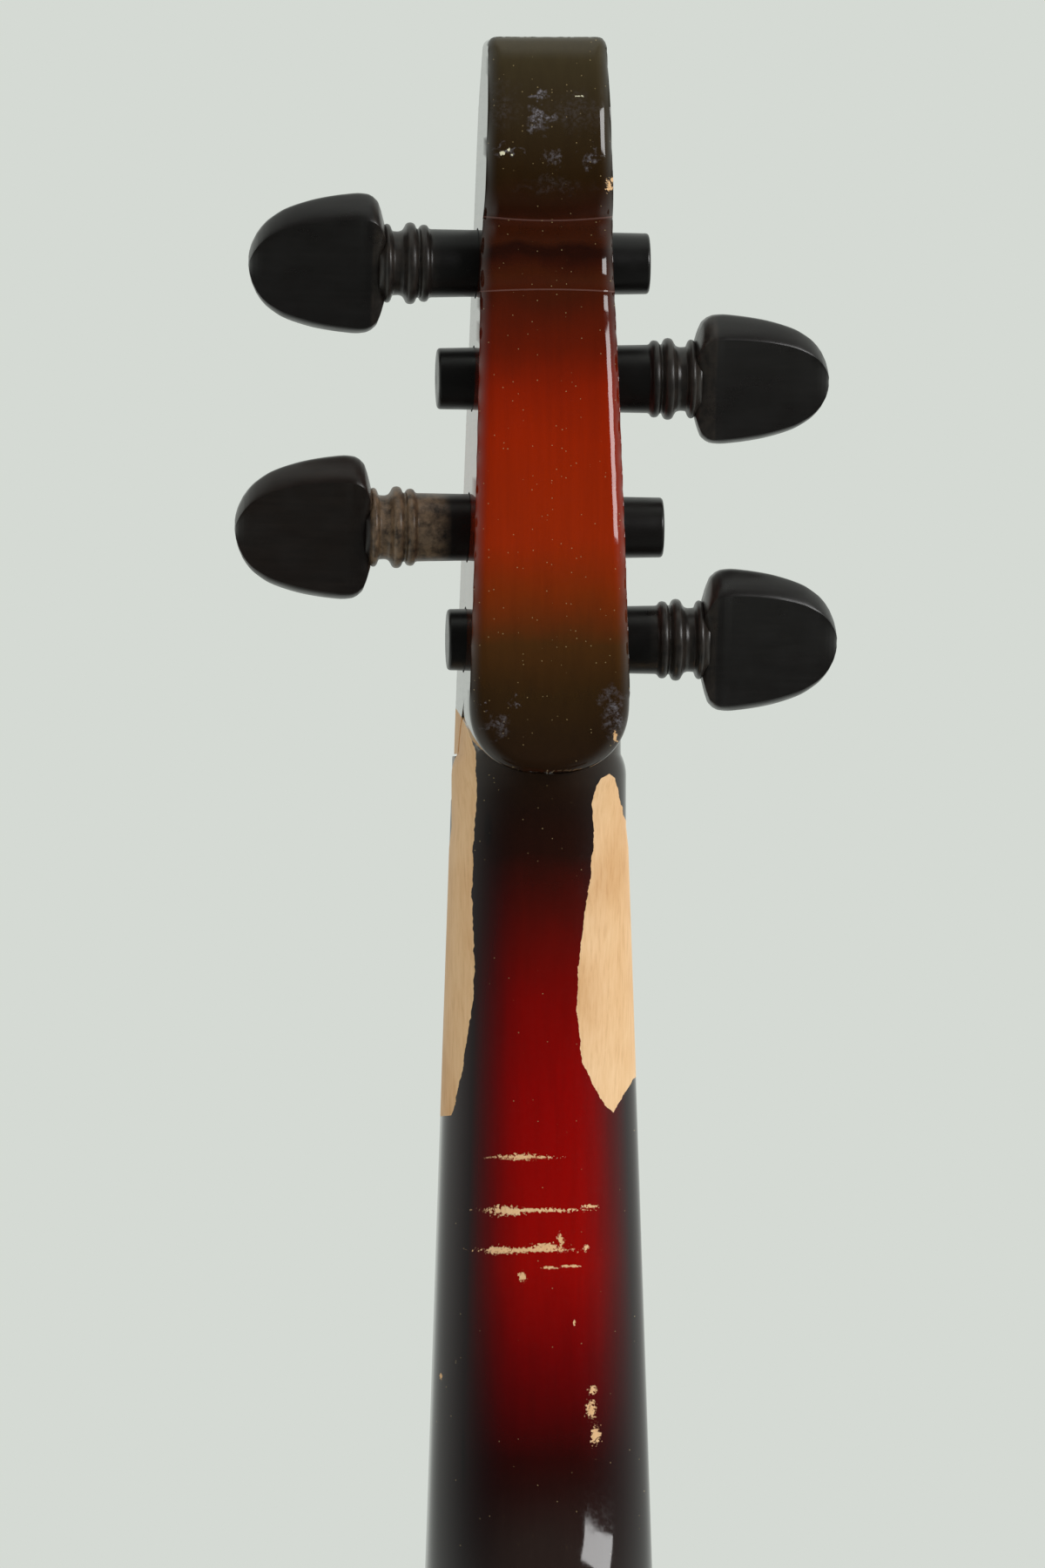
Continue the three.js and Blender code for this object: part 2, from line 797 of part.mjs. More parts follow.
function thumbPiece() {
  const quarter = dishShares;
  const rings = thumbShares.map(([share, heightShare, thickShare]) => {
    const height = pegShape.thumbHalfHeight * heightShare;
    const thick = pegShape.thumbHalfThickness * thickShare;
    const x = share * pegShape.thumbLength;
    const upper = quarter.map(([v, w]) => [v * height, w * thick]);
    const ring = [
      ...upper,
      ...upper.slice().reverse().map(([v, w]) => [v, -w]),
      ...upper.slice(1).map(([v, w]) => [-v, -w]),
      ...upper.slice(1).reverse().map(([v, w]) => [-v, w]),
    ];
    return ring.map(([v, w]) => vector(x, w, v));
  });
  return skin(rings);
}

function pegShank(length) {
  const start = pegShape.thumbLength;
  const step = pegShape.collarLength;
  const profileShares = [
    [-0.1, pegShape.waistRadius], [0, pegShape.beadRadius], [0.09, pegShape.beadRadius],
    [0.16, pegShape.waistRadius], [0.3, pegShape.waistRadius], [0.48, pegShape.ringRadius],
    [0.62, pegShape.ringRadius], [0.72, pegShape.grooveRadius], [0.8, pegShape.secondRingRadius],
    [0.9, pegShape.secondRingRadius], [1, pegShape.shankRadius],
  ];
  const profile = [[0, start - step * 0.1]];
  for (const [share, radius] of profileShares) {
    profile.push([radius, start + share * step]);
  }
  const dome = pegShape.shankRadius * 0.3;
  const endRadius = shankRadiusAt(length);
  profile.push([endRadius, length - dome], [endRadius * 0.7, length - dome * 0.3], [0, length]);
  return turned(profile, 12).rotateZ(-Math.PI / 2);
}

function makePegs() {
  for (const peg of pegs) {
    const pegGroup = new THREE.Group();
    pegGroup.position.copy(pegAxis(peg));
    pegGroup.position.x = peg.side * peg.reach;
    pegGroup.rotation.y = peg.side > 0 ? Math.PI : 0;
    neckGroup.add(pegGroup);
    const thumb = thumbPiece();
    thumb.rotateX(THREE.MathUtils.degToRad(peg.side * pegShape.faceTurnDegrees));
    addMesh(pegGroup, peg.name, combine(pegShank(peg.length), [thumb]), finishes.ebony);
  }
}

function pegBore(peg) {
  const into = peg.reach - headHalfWidth(peg.height) - cutOverrun;
  const out = peg.length + cutOverrun;
  const gap = pegShape.boreGap;
  const profile = [[0, into], [shankRadiusAt(into) + gap, into], [shankRadiusAt(out) + gap, out], [0, out]];
  const bore = turned(profile, 16).rotateZ(-Math.PI / 2);
  bore.rotateY(peg.side > 0 ? Math.PI : 0);
  bore.translate(peg.side * peg.reach, pegShape.axisDepth, peg.height);
  return bore;
}

// Tenon and body pocket, in the body's own frame
const tenonTop = -(body.rimHeight + neck.overstand) - cutOverrun;
const tenonBox = (gap) => box(
  -neck.tenonHalfWidth - gap, neck.tenonHalfWidth + gap,
  tenonTop, -neck.tenonBack + gap,
  bodyTop - neck.tenonLength - gap, bodyTop + cutOverrun,
);

function makeNeck() {
  const clearOutline = inset(outline, -seatGap);
  const bodySpace = slab(clearOutline, cutOverrun * 4, -body.rimHeight * 3).applyMatrix4(toNeck);
  const boardSide = box(-bodyHalf, bodyHalf, -body.rimHeight * 3, 0, -body.length, 0);
  const tenon = fromSolid(toSolid(tenonBox(0).applyMatrix4(toNeck)).subtract(toSolid(boardSide)));
  const backPlane = box(-bodyHalf, bodyHalf, -seatGap, body.rimHeight, bodyBottom, bodyTop * 1.5);
  backPlane.applyMatrix4(toNeck);
  const shaft = combine(neckLoft(), [], [bodySpace, backPlane]);
  const bores = pegs.map(pegBore);
  const whole = combine(shaft, [headLoft(), tongueLoft(), tenon], [pegboxSlot(), ...bores]);
  addMesh(neckGroup, 'neck', whole, finishes.sunburst);
}

// Fingerboard and nut: arched fronts on the neck's glue plane
function archedSection(z, halfWidth, edge, crownRadius, underside) {
  const steps = 8;
  const points = [];
  for (let i = 0; i <= steps; i += 1) {
    const x = along(-halfWidth, halfWidth, i / steps);
    const rise = Math.sqrt(crownRadius ** 2 - x ** 2) - Math.sqrt(crownRadius ** 2 - halfWidth ** 2);
    points.push(vector(x, -(edge + rise), z));
  }
  points.push(vector(halfWidth, underside, z), vector(-halfWidth, underside, z));
  return points;
}

function makeBoard() {
  const start = nut.thickness / 2 + seatGap;
  const end = start + board.length;
  const section = (down) => archedSection(
    -down, boardHalfWidth(down), board.edgeThickness, board.crownRadius, -seatGap,
  );
  const scoopStart = neckLength + neck.tenonLength + board.scoopMargin;
  const scoop = skin([scoopStart, end + cutOverrun].map((down) => {
    const half = boardHalfWidth(down) - board.scoopMargin;
    const points = [vector(half, cutOverrun, -down), vector(-half, cutOverrun, -down)];
    const steps = 8;
    for (let i = 0; i <= steps; i += 1) {
      const angle = Math.PI * (i / steps);
      points.push(vector(-half * Math.cos(angle), -seatGap - board.scoopDepth * Math.sin(angle), -down));
    }
    return points;
  }));
  const plain = skin([section(start), section(end)]);
  addMesh(neckGroup, 'fingerboard', combine(plain, [], [scoop]), finishes.ebony);
}

const boardCentre = boardThickness(0);
const nutTop = boardCentre + nut.rise;
const nutPlace = (string) => (stringSpan.nut * string.place) / 3;
const crownDrop = (x, radius) => radius - Math.sqrt(radius ** 2 - x ** 2);
const nutStringY = (string) => {
  const drop = crownDrop(nutPlace(string), board.crownRadius);
  return drop - nutTop - string.radius * 0.2;
};

function makeNut() {
  const half = nut.thickness / 2;
  const edge = board.edgeThickness + nut.rise;
  const flat = half - nut.edgeRadius;
  const rounds = [[-half, -nut.edgeRadius], [-flat, 0], [flat, 0], [half, -nut.edgeRadius]];
  const rings = rounds.map(([z, drop]) => archedSection(
    z, board.nutHalfWidth, edge + drop, board.crownRadius, -seatGap,
  ));
  const grooves = stringSet.map((string) => {
    const points = [vector(nutPlace(string), nutStringY(string), -half - cutOverrun)];
    points.push(vector(nutPlace(string), nutStringY(string), half + cutOverrun));
    return sweep(points, string.radius + seatGap, 8);
  });
  addMesh(neckGroup, 'nut', combine(skin(rings), [], grooves), finishes.bone);
}

// Bridge: a flat blank cut to its outline, thinner towards the strings
const bridgeZ = bodyTop - stop;
const bridgeBase = archDepth(0) + pickup.proud + pickup.discProud;
const bridgeTopY = -(bridgeBase + seatGap + bridge.height);
const footShares = [[0.45, 0], [1, 0], [0.965, 0.075], [0.74, 0.15], [0.7, 0.29]];
const wingShares = [
  [0.84, 0.335], [0.905, 0.4], [0.87, 0.45], [0.62, 0.48], [0.56, 0.56], [0.63, 0.64], [0.86, 0.66],
];
const shoulderEndShares = [[0.9, 0.73], [0.86, 0.86]];
const archUnderShares = [[0, 0.25], [0.2, 0.235], [0.36, 0.165], [0.43, 0.07]];
const heartShares = [[0, 0.4], [0.14, 0.42], [0.23, 0.5], [0.19, 0.6], [0.09, 0.61], [0, 0.68]];

function bridgeShape() {
  const side = [...archUnderShares, ...footShares, ...wingShares, ...shoulderEndShares]
    .map(([x, y]) => [x * bridge.halfWidth, y * bridge.height]);
  const crown = [];
  const steps = 4;
  const half = shoulderEndShares.at(-1)[0] * bridge.halfWidth;
  for (let i = 1; i <= steps; i += 1) {
    const x = half * (1 - i / steps);
    crown.push([x, bridge.height - crownDrop(x, bridge.crownRadius)]);
  }
  const right = [...side, ...crown];
  const left = right.slice(1, -1).reverse().map(([x, y]) => [-x, y]);
  const shape = new THREE.Shape([...right, ...left].map(([x, y]) => new THREE.Vector2(x, y)));
  const heart = heartShares.map(([x, y]) => [x * bridge.halfWidth, y * bridge.height]);
  const heartLeft = heart.slice(1, -1).reverse().map(([x, y]) => [-x, y]);
  shape.holes.push(new THREE.Path([...heart, ...heartLeft].map(([x, y]) => new THREE.Vector2(x, y))));
  return shape;
}

const bridgePlace = (string) => (stringSpan.bridge * string.place) / 3;
const bridgeStringY = (string) => {
  const drop = crownDrop(bridgePlace(string), bridge.crownRadius);
  return bridgeTopY + drop - string.radius * 0.2;
};

function makeBridge() {
  const geometry = new THREE.ExtrudeGeometry(bridgeShape(), { depth: 1, bevelEnabled: false });
  const place = geometry.attributes.position;
  for (let i = 0; i < place.count; i += 1) {
    const share = place.getY(i) / bridge.height;
    const thickness = along(bridge.footThickness, bridge.topThickness, share);
    place.setZ(i, (place.getZ(i) - 0.5) * thickness);
    place.setY(i, -(bridgeBase + seatGap + place.getY(i)));
  }
  geometry.translate(0, 0, bridgeZ);
  const blank = windOut(geometry);
  const grooves = stringSet.map((string) => sweep([
    vector(bridgePlace(string), bridgeStringY(string), bridgeZ - bridge.footThickness),
    vector(bridgePlace(string), bridgeStringY(string), bridgeZ + bridge.footThickness),
  ], string.radius + seatGap, 8));
  addMesh(group, 'bridge', combine(blank, [], grooves), finishes.maple);
}

// Tailpiece frame: origin at the top edge, its Z running up the line of the strings
const saddleTopY = -(body.rimHeight + saddle.rise);
const tailLow = {
  y: saddleTopY - saddle.gutLift - tailpiece.edgeThickness / 2,
  z: bodyBottom + saddle.depth,
};
const tailAngle = Math.atan((tailLow.y - bridgeTopY) / (bridgeZ - tailLow.z));
const tailTop = tailLow.z + tailpiece.saddleGap + tailpiece.length * Math.cos(tailAngle);
const tailGroup = new THREE.Group();
const tailDrop = (bridgeZ - tailTop) * Math.tan(tailAngle);
tailGroup.position.set(0, bridgeTopY + tailDrop + tailpiece.edgeThickness, tailTop);
tailGroup.rotation.x = tailAngle;
tailGroup.updateMatrix();
group.add(tailGroup);
const fromTail = tailGroup.matrix;
const tailPlace = (string) => (stringSpan.tail * string.place) / 3;
const tailCrown = crownDrop(tailpiece.wideHalfWidth, tailpiece.crownRadius);
const tailRise = (x) => tailCrown - crownDrop(x, tailpiece.crownRadius);
const tailSurface = (x) => -(tailpiece.edgeThickness / 2 + tailRise(x));
const tailShares = [[0, 0.94], [0.04, 1], [0.35, 0.86], [0.75, 0.62], [0.96, 0.5], [1, 0.4]];

function makeTailpiece() {
  const edge = tailpiece.edgeThickness / 2;
  const rings = tailShares.map(([share, widthShare]) => {
    const half = tailpiece.wideHalfWidth * widthShare;
    const z = -share * tailpiece.length;
    return archedSection(z, half, edge, tailpiece.crownRadius, edge);
  });
  const cuts = [];
  const reach = body.rimHeight / 2;
  for (const string of stringSet) {
    const x = tailPlace(string);
    const hole = cylinderY(x, -tailpiece.slotInset, tailpiece.holeRadius, -reach, reach, 12);
    const slit = tailpiece.slitHalfWidth;
    const slotEnd = -tailpiece.slotInset / 2 - slit;
    const slot = box(x - slit, x + slit, -reach, reach, -tailpiece.slotInset, slotEnd);
    cuts.push(fromSolid(toSolid(hole).add(toSolid(slot))));
  }
  const gutDrill = tailpiece.gutInset + cutOverrun;
  for (const side of [-1, 1]) {
    const hole = new THREE.CylinderGeometry(tailpiece.gutHoleRadius, tailpiece.gutHoleRadius, gutDrill, 8);
    hole.rotateX(Math.PI / 2);
    hole.translate(side * gut.spread, 0, tailpiece.gutInset - tailpiece.length - gutDrill / 2);
    cuts.push(hole);
  }
  const groove = fretStrip(seatGap, cutOverrun);
  addMesh(tailGroup, 'tailpiece', combine(skin(rings), [], [...cuts, groove]), finishes.ebony);
  addMesh(tailGroup, 'tail_fret', fretStrip(0, 0), finishes.bone);
}

// The strip that the strings bend over at the tailpiece's upper end
function fretStrip(gap, extra) {
  const half = tailpiece.wideHalfWidth * 0.9 + gap + extra;
  const width = tailpiece.fretWidth / 2 + gap;
  const [low, high] = [-tailpiece.fretInset - width, -tailpiece.fretInset + width];
  const steps = 8;
  const rings = [];
  for (let i = 0; i <= steps; i += 1) {
    const x = along(-half, half, i / steps);
    const top = tailSurface(x) - tailpiece.fretRise - extra;
    const bottom = tailSurface(x) + tailpiece.fretRise + gap;
    rings.push([vector(x, top, low), vector(x, top, high), vector(x, bottom, high), vector(x, bottom, low)]);
  }
  return skin(rings);
}

const fretStringY = (string) => {
  const fretTop = tailSurface(tailPlace(string)) - tailpiece.fretRise;
  return fretTop - seatGap - string.radius;
};

// Strings and their turns on the pegs
function windingPoints(string) {
  const peg = pegs.find((each) => each.name === `peg_${string.note}`);
  const end = peg.side * string.windEnd;
  const radius = shankRadiusAt(peg.reach - Math.abs(string.windEnd)) + windingGap + string.radius;
  const centre = pegAxis(peg);
  const target = vector(nutPlace(string), nutStringY(string), nut.thickness / 2 + seatGap);
  const away = Math.hypot(target.y - centre.y, target.z - centre.z);
  const toTarget = Math.atan2(target.z - centre.z, target.y - centre.y);
  const tangentAngle = toTarget - Math.acos(radius / away);
  const ringPoint = (angle, x) => {
    const [across, up] = [radius * Math.cos(angle), radius * Math.sin(angle)];
    return vector(x, centre.y + across, centre.z + up);
  };
  const points = [];
  const count = string.turns * windingSteps;
  for (let i = 0; i <= count; i += 1) {
    const back = (count - i) / windingSteps;
    const x = end - peg.side * string.pitch * back;
    points.push(ringPoint(tangentAngle + 2 * Math.PI * back, x));
  }
  const first = points[0].clone().sub(points[1]).normalize();
  points.unshift(points[0].clone().addScaledVector(first, 2 * string.radius));
  const leave = points.at(-1).clone();
  const heading = target.clone().sub(leave).normalize();
  points.push(leave.clone().addScaledVector(heading, windingRun - seatGap));
  return { points, start: leave.addScaledVector(heading, windingRun), target };
}

function leastGap(points, radius) {
  let least = Infinity;
  for (let i = 0; i < points.length; i += 1) {
    for (let k = i + Math.floor(windingSteps / 2); k < points.length; k += 1) {
      least = Math.min(least, points[i].distanceTo(points[k]) - 2 * radius);
    }
  }
  return least;
}

function makeStrings() {
  const halfNut = nut.thickness / 2;
  for (const string of stringSet) {
    const { note, radius } = string;
    const winding = windingPoints(string);
    const turns = sweep(winding.points, radius, windingSides);
    addMesh(neckGroup, `winding_${note}`, turns, finishes.woundString);
    console.log(`winding_${note} least gap to itself: ${leastGap(winding.points, radius).toFixed(2)} mm`);
    const toBody = (point) => point.applyMatrix4(neckGroup.matrix);
    const inTail = (x, y, z) => vector(x, y, z).applyMatrix4(fromTail);
    const points = [
      toBody(winding.start), toBody(winding.target),
      toBody(vector(nutPlace(string), nutStringY(string), nut.edgeRadius - halfNut)),
      vector(bridgePlace(string), bridgeStringY(string), bridgeZ),
    ];
    const x = tailPlace(string);
    if (note === 'e') {
      const hook = tunerPlace();
      points.push(inTail(x, hook.stringY, hook.pivotZ - tuner.armThickness));
      addMesh(group, 'string_e', sweep(points, radius, stringSides), finishes.woundString);
    } else {
      const holeZ = -tailpiece.slotInset;
      const surface = tailSurface(x);
      points.push(inTail(x, fretStringY(string), -tailpiece.fretInset));
      points.push(inTail(x, surface + radius, holeZ + tailpiece.holeRadius / 2));
      points.push(inTail(x, surface + tailpiece.edgeThickness / 2, holeZ));
      const ball = new THREE.IcosahedronGeometry(tailpiece.holeRadius - seatGap * 1.5, 1);
      ball.applyMatrix4(new THREE.Matrix4().setPosition(points.at(-1)));
      const whole = combine(sweep(points, radius, stringSides), [ball]);
      addMesh(group, `string_${note}`, whole, finishes.woundString);
    }
  }
}

// Fine tuner, in the tailpiece's frame, on the top string's slot
function tunerPlace() {
  const x = tailPlace(stringSet.at(-1));
  const seat = tailSurface(x - tuner.bodyHalfWidth) - seatGap;
  const front = -tailpiece.fretInset - tailpiece.fretWidth;
  const pivotZ = front - tuner.pivotInset;
  const stringY = seat - tuner.prongTop + tuner.prongSlitDepth * 0.45;
  return { x, seat, front, pivotZ, stringY, back: front - tuner.bodyLength };
}

function makeTuner() {
  const { x, seat, front, pivotZ, back } = tunerPlace();
  const tunerGroup = new THREE.Group();
  tunerGroup.position.set(x, seat, 0);
  tailGroup.add(tunerGroup);
  const wide = tuner.bodyHalfWidth;
  const inner = wide - tuner.wall;
  const [openBack, openFront] = [back - cutOverrun, front + cutOverrun];
  const pivotY = -(tuner.armBase + tuner.armThickness / 2);
  const wallTop = -(tuner.armBase + tuner.armThickness + tuner.wall);
  const bridgeTop = -(tuner.bridgeBase + tuner.bridgeThickness);
  const channel = box(-inner, inner, bridgeTop - cutOverrun, -tuner.floor, openBack, openFront);
  const low = box(-wide, wide, wallTop, 0, back, front);
  const rear = box(-wide, wide, bridgeTop, wallTop / 2, back, back + tuner.bridgeLength);
  const rearCut = box(-inner, inner, -tuner.bridgeBase, -tuner.floor, openBack, openFront);
  const stemZ = back + tuner.bridgeLength / 2;
  const stemBore = tuner.stemRadius + seatGap;
  const stemHole = cylinderY(0, stemZ, stemBore, -tuner.floor - cutOverrun, bridgeTop - cutOverrun, 12);
  const pinHole = crossPin(tuner.pinRadius + seatGap, wide + cutOverrun, pivotY, pivotZ);
  const lowShell = combine(low, [], [channel, pinHole]);
  const rearShell = combine(rear, [], [rearCut]);
  addMesh(tunerGroup, 'tuner_body', combine(lowShell, [rearShell], [stemHole]), finishes.steel);

  const armTop = -(tuner.armBase + tuner.armThickness);
  const half = tuner.leverHalfWidth;
  const prongHalf = tuner.armThickness / 2;
  const arm = box(-half, half, armTop, -tuner.armBase, stemZ - tuner.stemRadius, pivotZ + prongHalf);
  const prong = box(-half, half, -tuner.prongTop, armTop / 2, pivotZ - prongHalf, pivotZ + prongHalf);
  const slit = box(
    -tuner.prongSlit, tuner.prongSlit, -tuner.prongTop - cutOverrun, -tuner.prongTop + tuner.prongSlitDepth,
    pivotZ - tuner.armThickness, pivotZ + tuner.armThickness,
  );
  const pin = crossPin(tuner.pinRadius, tuner.bodyHalfWidth, pivotY, pivotZ);
  addMesh(tunerGroup, 'tuner_lever', combine(arm, [prong, pin], [slit]), finishes.steel);

  const stemLow = -(tuner.armBase + tuner.armThickness + seatGap);
  const stem = new THREE.CylinderGeometry(tuner.stemRadius, tuner.stemRadius, tuner.stemLength, 12);
  stem.translate(0, stemLow - tuner.stemLength / 2, stemZ);
  addMesh(tunerGroup, 'tuner_stem', stem, finishes.steel);

  const ringY = bridgeTop - seatGap;
  const ring = turned([
    [stemBore, 0], [tuner.ringRadius, 0],
    [tuner.ringRadius, tuner.ringHeight], [stemBore, tuner.ringHeight],
    [stemBore, 0],
  ], 16);
  ring.rotateX(Math.PI);
  ring.translate(0, ringY, stemZ);
  addMesh(tunerGroup, 'tuner_ring', ring, finishes.steel);

  const shape = new THREE.Shape();
  const count = tuner.headRibs * 2;
  for (let i = 0; i < count; i += 1) {
    const radius = tuner.headRadius * (i % 2 ? 0.9 : 1);
    const angle = (2 * Math.PI * i) / count;
    const [px, pz] = [radius * Math.cos(angle), radius * Math.sin(angle)];
    if (i === 0) {
      shape.moveTo(px, pz);
    } else {
      shape.lineTo(px, pz);
    }
  }
  const thumb = new THREE.ExtrudeGeometry(shape, { depth: tuner.headHeight, bevelEnabled: false });
  thumb.rotateX(Math.PI / 2);
  thumb.translate(0, stemLow - tuner.stemLength - seatGap, stemZ);
  addMesh(tunerGroup, 'tuner_thumb_head', windOut(thumb), finishes.steel);
}

function crossPin(radius, halfLength, y, z) {
  const pin = new THREE.CylinderGeometry(radius, radius, 2 * halfLength, 10);
  pin.rotateZ(Math.PI / 2);
  pin.translate(0, y, z);
  return pin;
}

// Slab with rounded edges on both faces
function pad(shapeOutline, y0, y1, radius) {
  const rings = [];
  const steps = 2;
  const [low, high] = [Math.min(y0, y1), Math.max(y0, y1)];
  const ringAt = (distance, y) => rings.push(inset(shapeOutline, distance).map(([x, z]) => vector(x, y, z)));
  for (let i = 0; i <= steps; i += 1) {
    const angle = (Math.PI / 2) * (i / steps);
    ringAt(radius * (1 - Math.sin(angle)), low + radius * (1 - Math.cos(angle)));
  }
  for (let i = 0; i <= steps; i += 1) {
    const angle = (Math.PI / 2) * (i / steps);
    ringAt(radius * (1 - Math.cos(angle)), high - radius * (1 - Math.sin(angle)));
  }
  return skin(rings);
}

// Places along Y that the pickup, the controls and the body's cuts share
const pickupFront = -(archDepth(0) + pickup.proud);
const pickupBack = pickupFront + pickup.thickness;
const pickupOutline = roundedRectangle(
  -pickup.halfLength, pickup.halfLength,
  bridgeZ - pickup.halfWidth, bridgeZ + pickup.halfWidth, pickup.cornerRadius, 3,
);
const cavityOutline = roundedRectangle(
  cavity.left, cavity.right, cavity.bottom, cavity.top, cavity.cornerRadius, 3,
);
const coverOutline = inset(cavityOutline, -cavity.coverLip);
const roofInside = -(body.rimHeight - cavity.roof);
const landing = -(body.rimHeight + pot.landingRise);
const potFront = roofInside + seatGap;
const potBack = potFront + pot.depth;
const screwPlaces = [];
const screwReach = (cavity.cornerRadius + cavity.coverLip / 2) * Math.SQRT1_2 - cavity.cornerRadius;
for (const x of [cavity.left - screwReach, cavity.right + screwReach]) {
  for (const z of [cavity.bottom - screwReach, cavity.top + screwReach]) {
    screwPlaces.push([x, z]);
  }
}
const rimByJack = outline.filter(([, z]) => Math.abs(z - jack.height) < 2 * jack.nutRadius);
const rimEdgeX = Math.max(...rimByJack.map(([x]) => x));
const jackFace = rimEdgeX - jack.recess;
const buttonY = -body.rimHeight / 2;
const ductPoints = [
  vector(pickup.halfLength * 0.6, pickupBack, bridgeZ - pickup.halfWidth * 0.4),
  vector(cavity.left + cavity.cornerRadius * 0.55, -body.rimHeight * 0.48, cavity.top - pickup.ductRadius),
];

function cylinderY(x, z, radius, y0, y1, sides) {
  const geometry = new THREE.CylinderGeometry(radius, radius, Math.abs(y1 - y0), sides);
  geometry.translate(x, (y0 + y1) / 2, z);
  return geometry;
}

function cylinderX(y, z, radius, x0, x1, sides) {
  const geometry = new THREE.CylinderGeometry(radius, radius, Math.abs(x1 - x0), sides);
  geometry.rotateZ(Math.PI / 2);
  geometry.translate((x0 + x1) / 2, y, z);
  return geometry;
}

function screwProfile(gap) {
  return [
    [0, gap], [screw.headRadius + gap, gap], [screw.headRadius + gap, -seatGap],
    [screw.shankRadius + gap, -screw.headHeight], [screw.shankRadius + gap, -screw.length - gap],
    [0, -screw.length - gap],
  ];
}

function saddleBlock(gap) {
  const low = bodyBottom - gap;
  const high = bodyBottom + saddle.depth + gap;
  const top = saddleTopY - gap;
  const seat = -(body.rimHeight - saddle.seat) + gap;
  const chamfer = saddle.seat / 2;
  const profile = [
    [seat, high], [top + chamfer / 2, high], [top, high - chamfer / 2],
    [top, low + chamfer], [top + chamfer / 3, low + chamfer / 3], [top + chamfer, low], [seat, low],
  ];
  return skin([-1, 1].map((side) => profile.map(([y, z]) => vector(side * (saddle.halfWidth + gap), y, z))));
}

function makeBody() {
  const cuts = [tenonBox(seatGap)];
  cuts.push(slab(inset(pickupOutline, -seatGap), pickupBack + seatGap, -body.rimHeight * 2));
  cuts.push(sweep(ductPoints, pickup.ductRadius, 10));
  cuts.push(slab(cavityOutline, roofInside, cutOverrun));
  cuts.push(slab(inset(coverOutline, -seatGap), -cavity.coverThickness - seatGap, cutOverrun));
  for (const { x, z } of potSpots) {
    cuts.push(cylinderY(x, z, pot.bushRadius + seatGap, landing - cutOverrun, roofInside + cutOverrun, 16));
    cuts.push(cylinderY(x, z, pot.landingRadius, landing, -body.rimHeight * 2, 24));
  }
  const recess = jackFace - jack.nutThickness - seatGap;
  const [sleeveBore, nutBore] = [jack.sleeveRadius + seatGap, jack.nutRadius + seatGap * 2];
  const [boreStart, boreEnd] = [cavity.right - cutOverrun, recess + jack.bite];
  cuts.push(cylinderX(-jack.depth, jack.height, sleeveBore, boreStart, boreEnd, 16));
  cuts.push(cylinderX(-jack.depth, jack.height, nutBore, recess, rimEdgeX + cutOverrun, 20));
  for (const [x, z] of screwPlaces) {
    cuts.push(cylinderY(x, z, screw.shankRadius + seatGap, -screw.length - seatGap * 2, 0, 10));
  }
  cuts.push(saddleBlock(seatGap));
  const pinDepth = endButton.pinLength + seatGap;
  const pinBore = endButton.pinRadius + seatGap;
  const pinHole = new THREE.CylinderGeometry(pinBore, pinBore, pinDepth + cutOverrun, 16);
  pinHole.rotateX(Math.PI / 2);
  pinHole.translate(0, buttonY, bodyBottom + (pinDepth - cutOverrun) / 2);
  cuts.push(pinHole);
  addMesh(group, 'body', combine(bodyBlock(), [], cuts), finishes.sunburst);
}

function makePickup() {
  const discBack = -(archDepth(0) + pickup.proud + pickup.discProud) + pickup.discThickness;
  const wellRadius = pickup.discRadius + seatGap;
  const [wellBack, wellFront] = [discBack + seatGap, pickupFront - cutOverrun];
  const wells = [-1, 1].map((side) => cylinderY(
    side * pickup.discSpread, bridgeZ, wellRadius, wellBack, wellFront, 20,
  ));
  const housing = combine(pad(pickupOutline, pickupFront, pickupBack, pickup.proud / 2), [], wells);
  addMesh(group, 'pickup_housing', housing, finishes.blackPlastic);
  for (const [name, side] of [['pickup_disc_low', -1], ['pickup_disc_high', 1]]) {
    const discFront = discBack - pickup.discThickness;
    const disc = cylinderY(side * pickup.discSpread, bridgeZ, pickup.discRadius, discBack, discFront, 20);
    addMesh(group, name, disc, finishes.ceramic);
  }
}

function makeTailHardware() {
  addMesh(group, 'saddle', saddleBlock(0), finishes.ebony);
  const e = endButton;
  const neckStart = -e.collarLength - seatGap;
  const neckEnd = -e.collarLength - e.neckLength;
  const outside = neckEnd - e.headLength;
  const profile = [
    [0, e.pinLength], [e.pinRadius, e.pinLength], [e.pinRadius, -seatGap], [e.collarRadius, -seatGap],
    [e.collarRadius, -e.collarLength], [e.neckRadius, neckStart],
    [e.neckRadius, neckEnd], [e.headRadius, neckEnd - 2 * seatGap],
    [e.headRadius, outside + e.headLength / 2], [e.headRadius * 0.72, outside + e.headLength / 7],
    [0, outside],
  ];
  const button = turned(profile, 16);
  button.rotateX(Math.PI / 2);
  button.translate(0, buttonY, bodyBottom);
  addMesh(group, 'end_button', button, finishes.ebony);
  addMesh(group, 'tail_gut', sweep(gutPoints(), gut.radius, gut.sides), finishes.nylon);
}

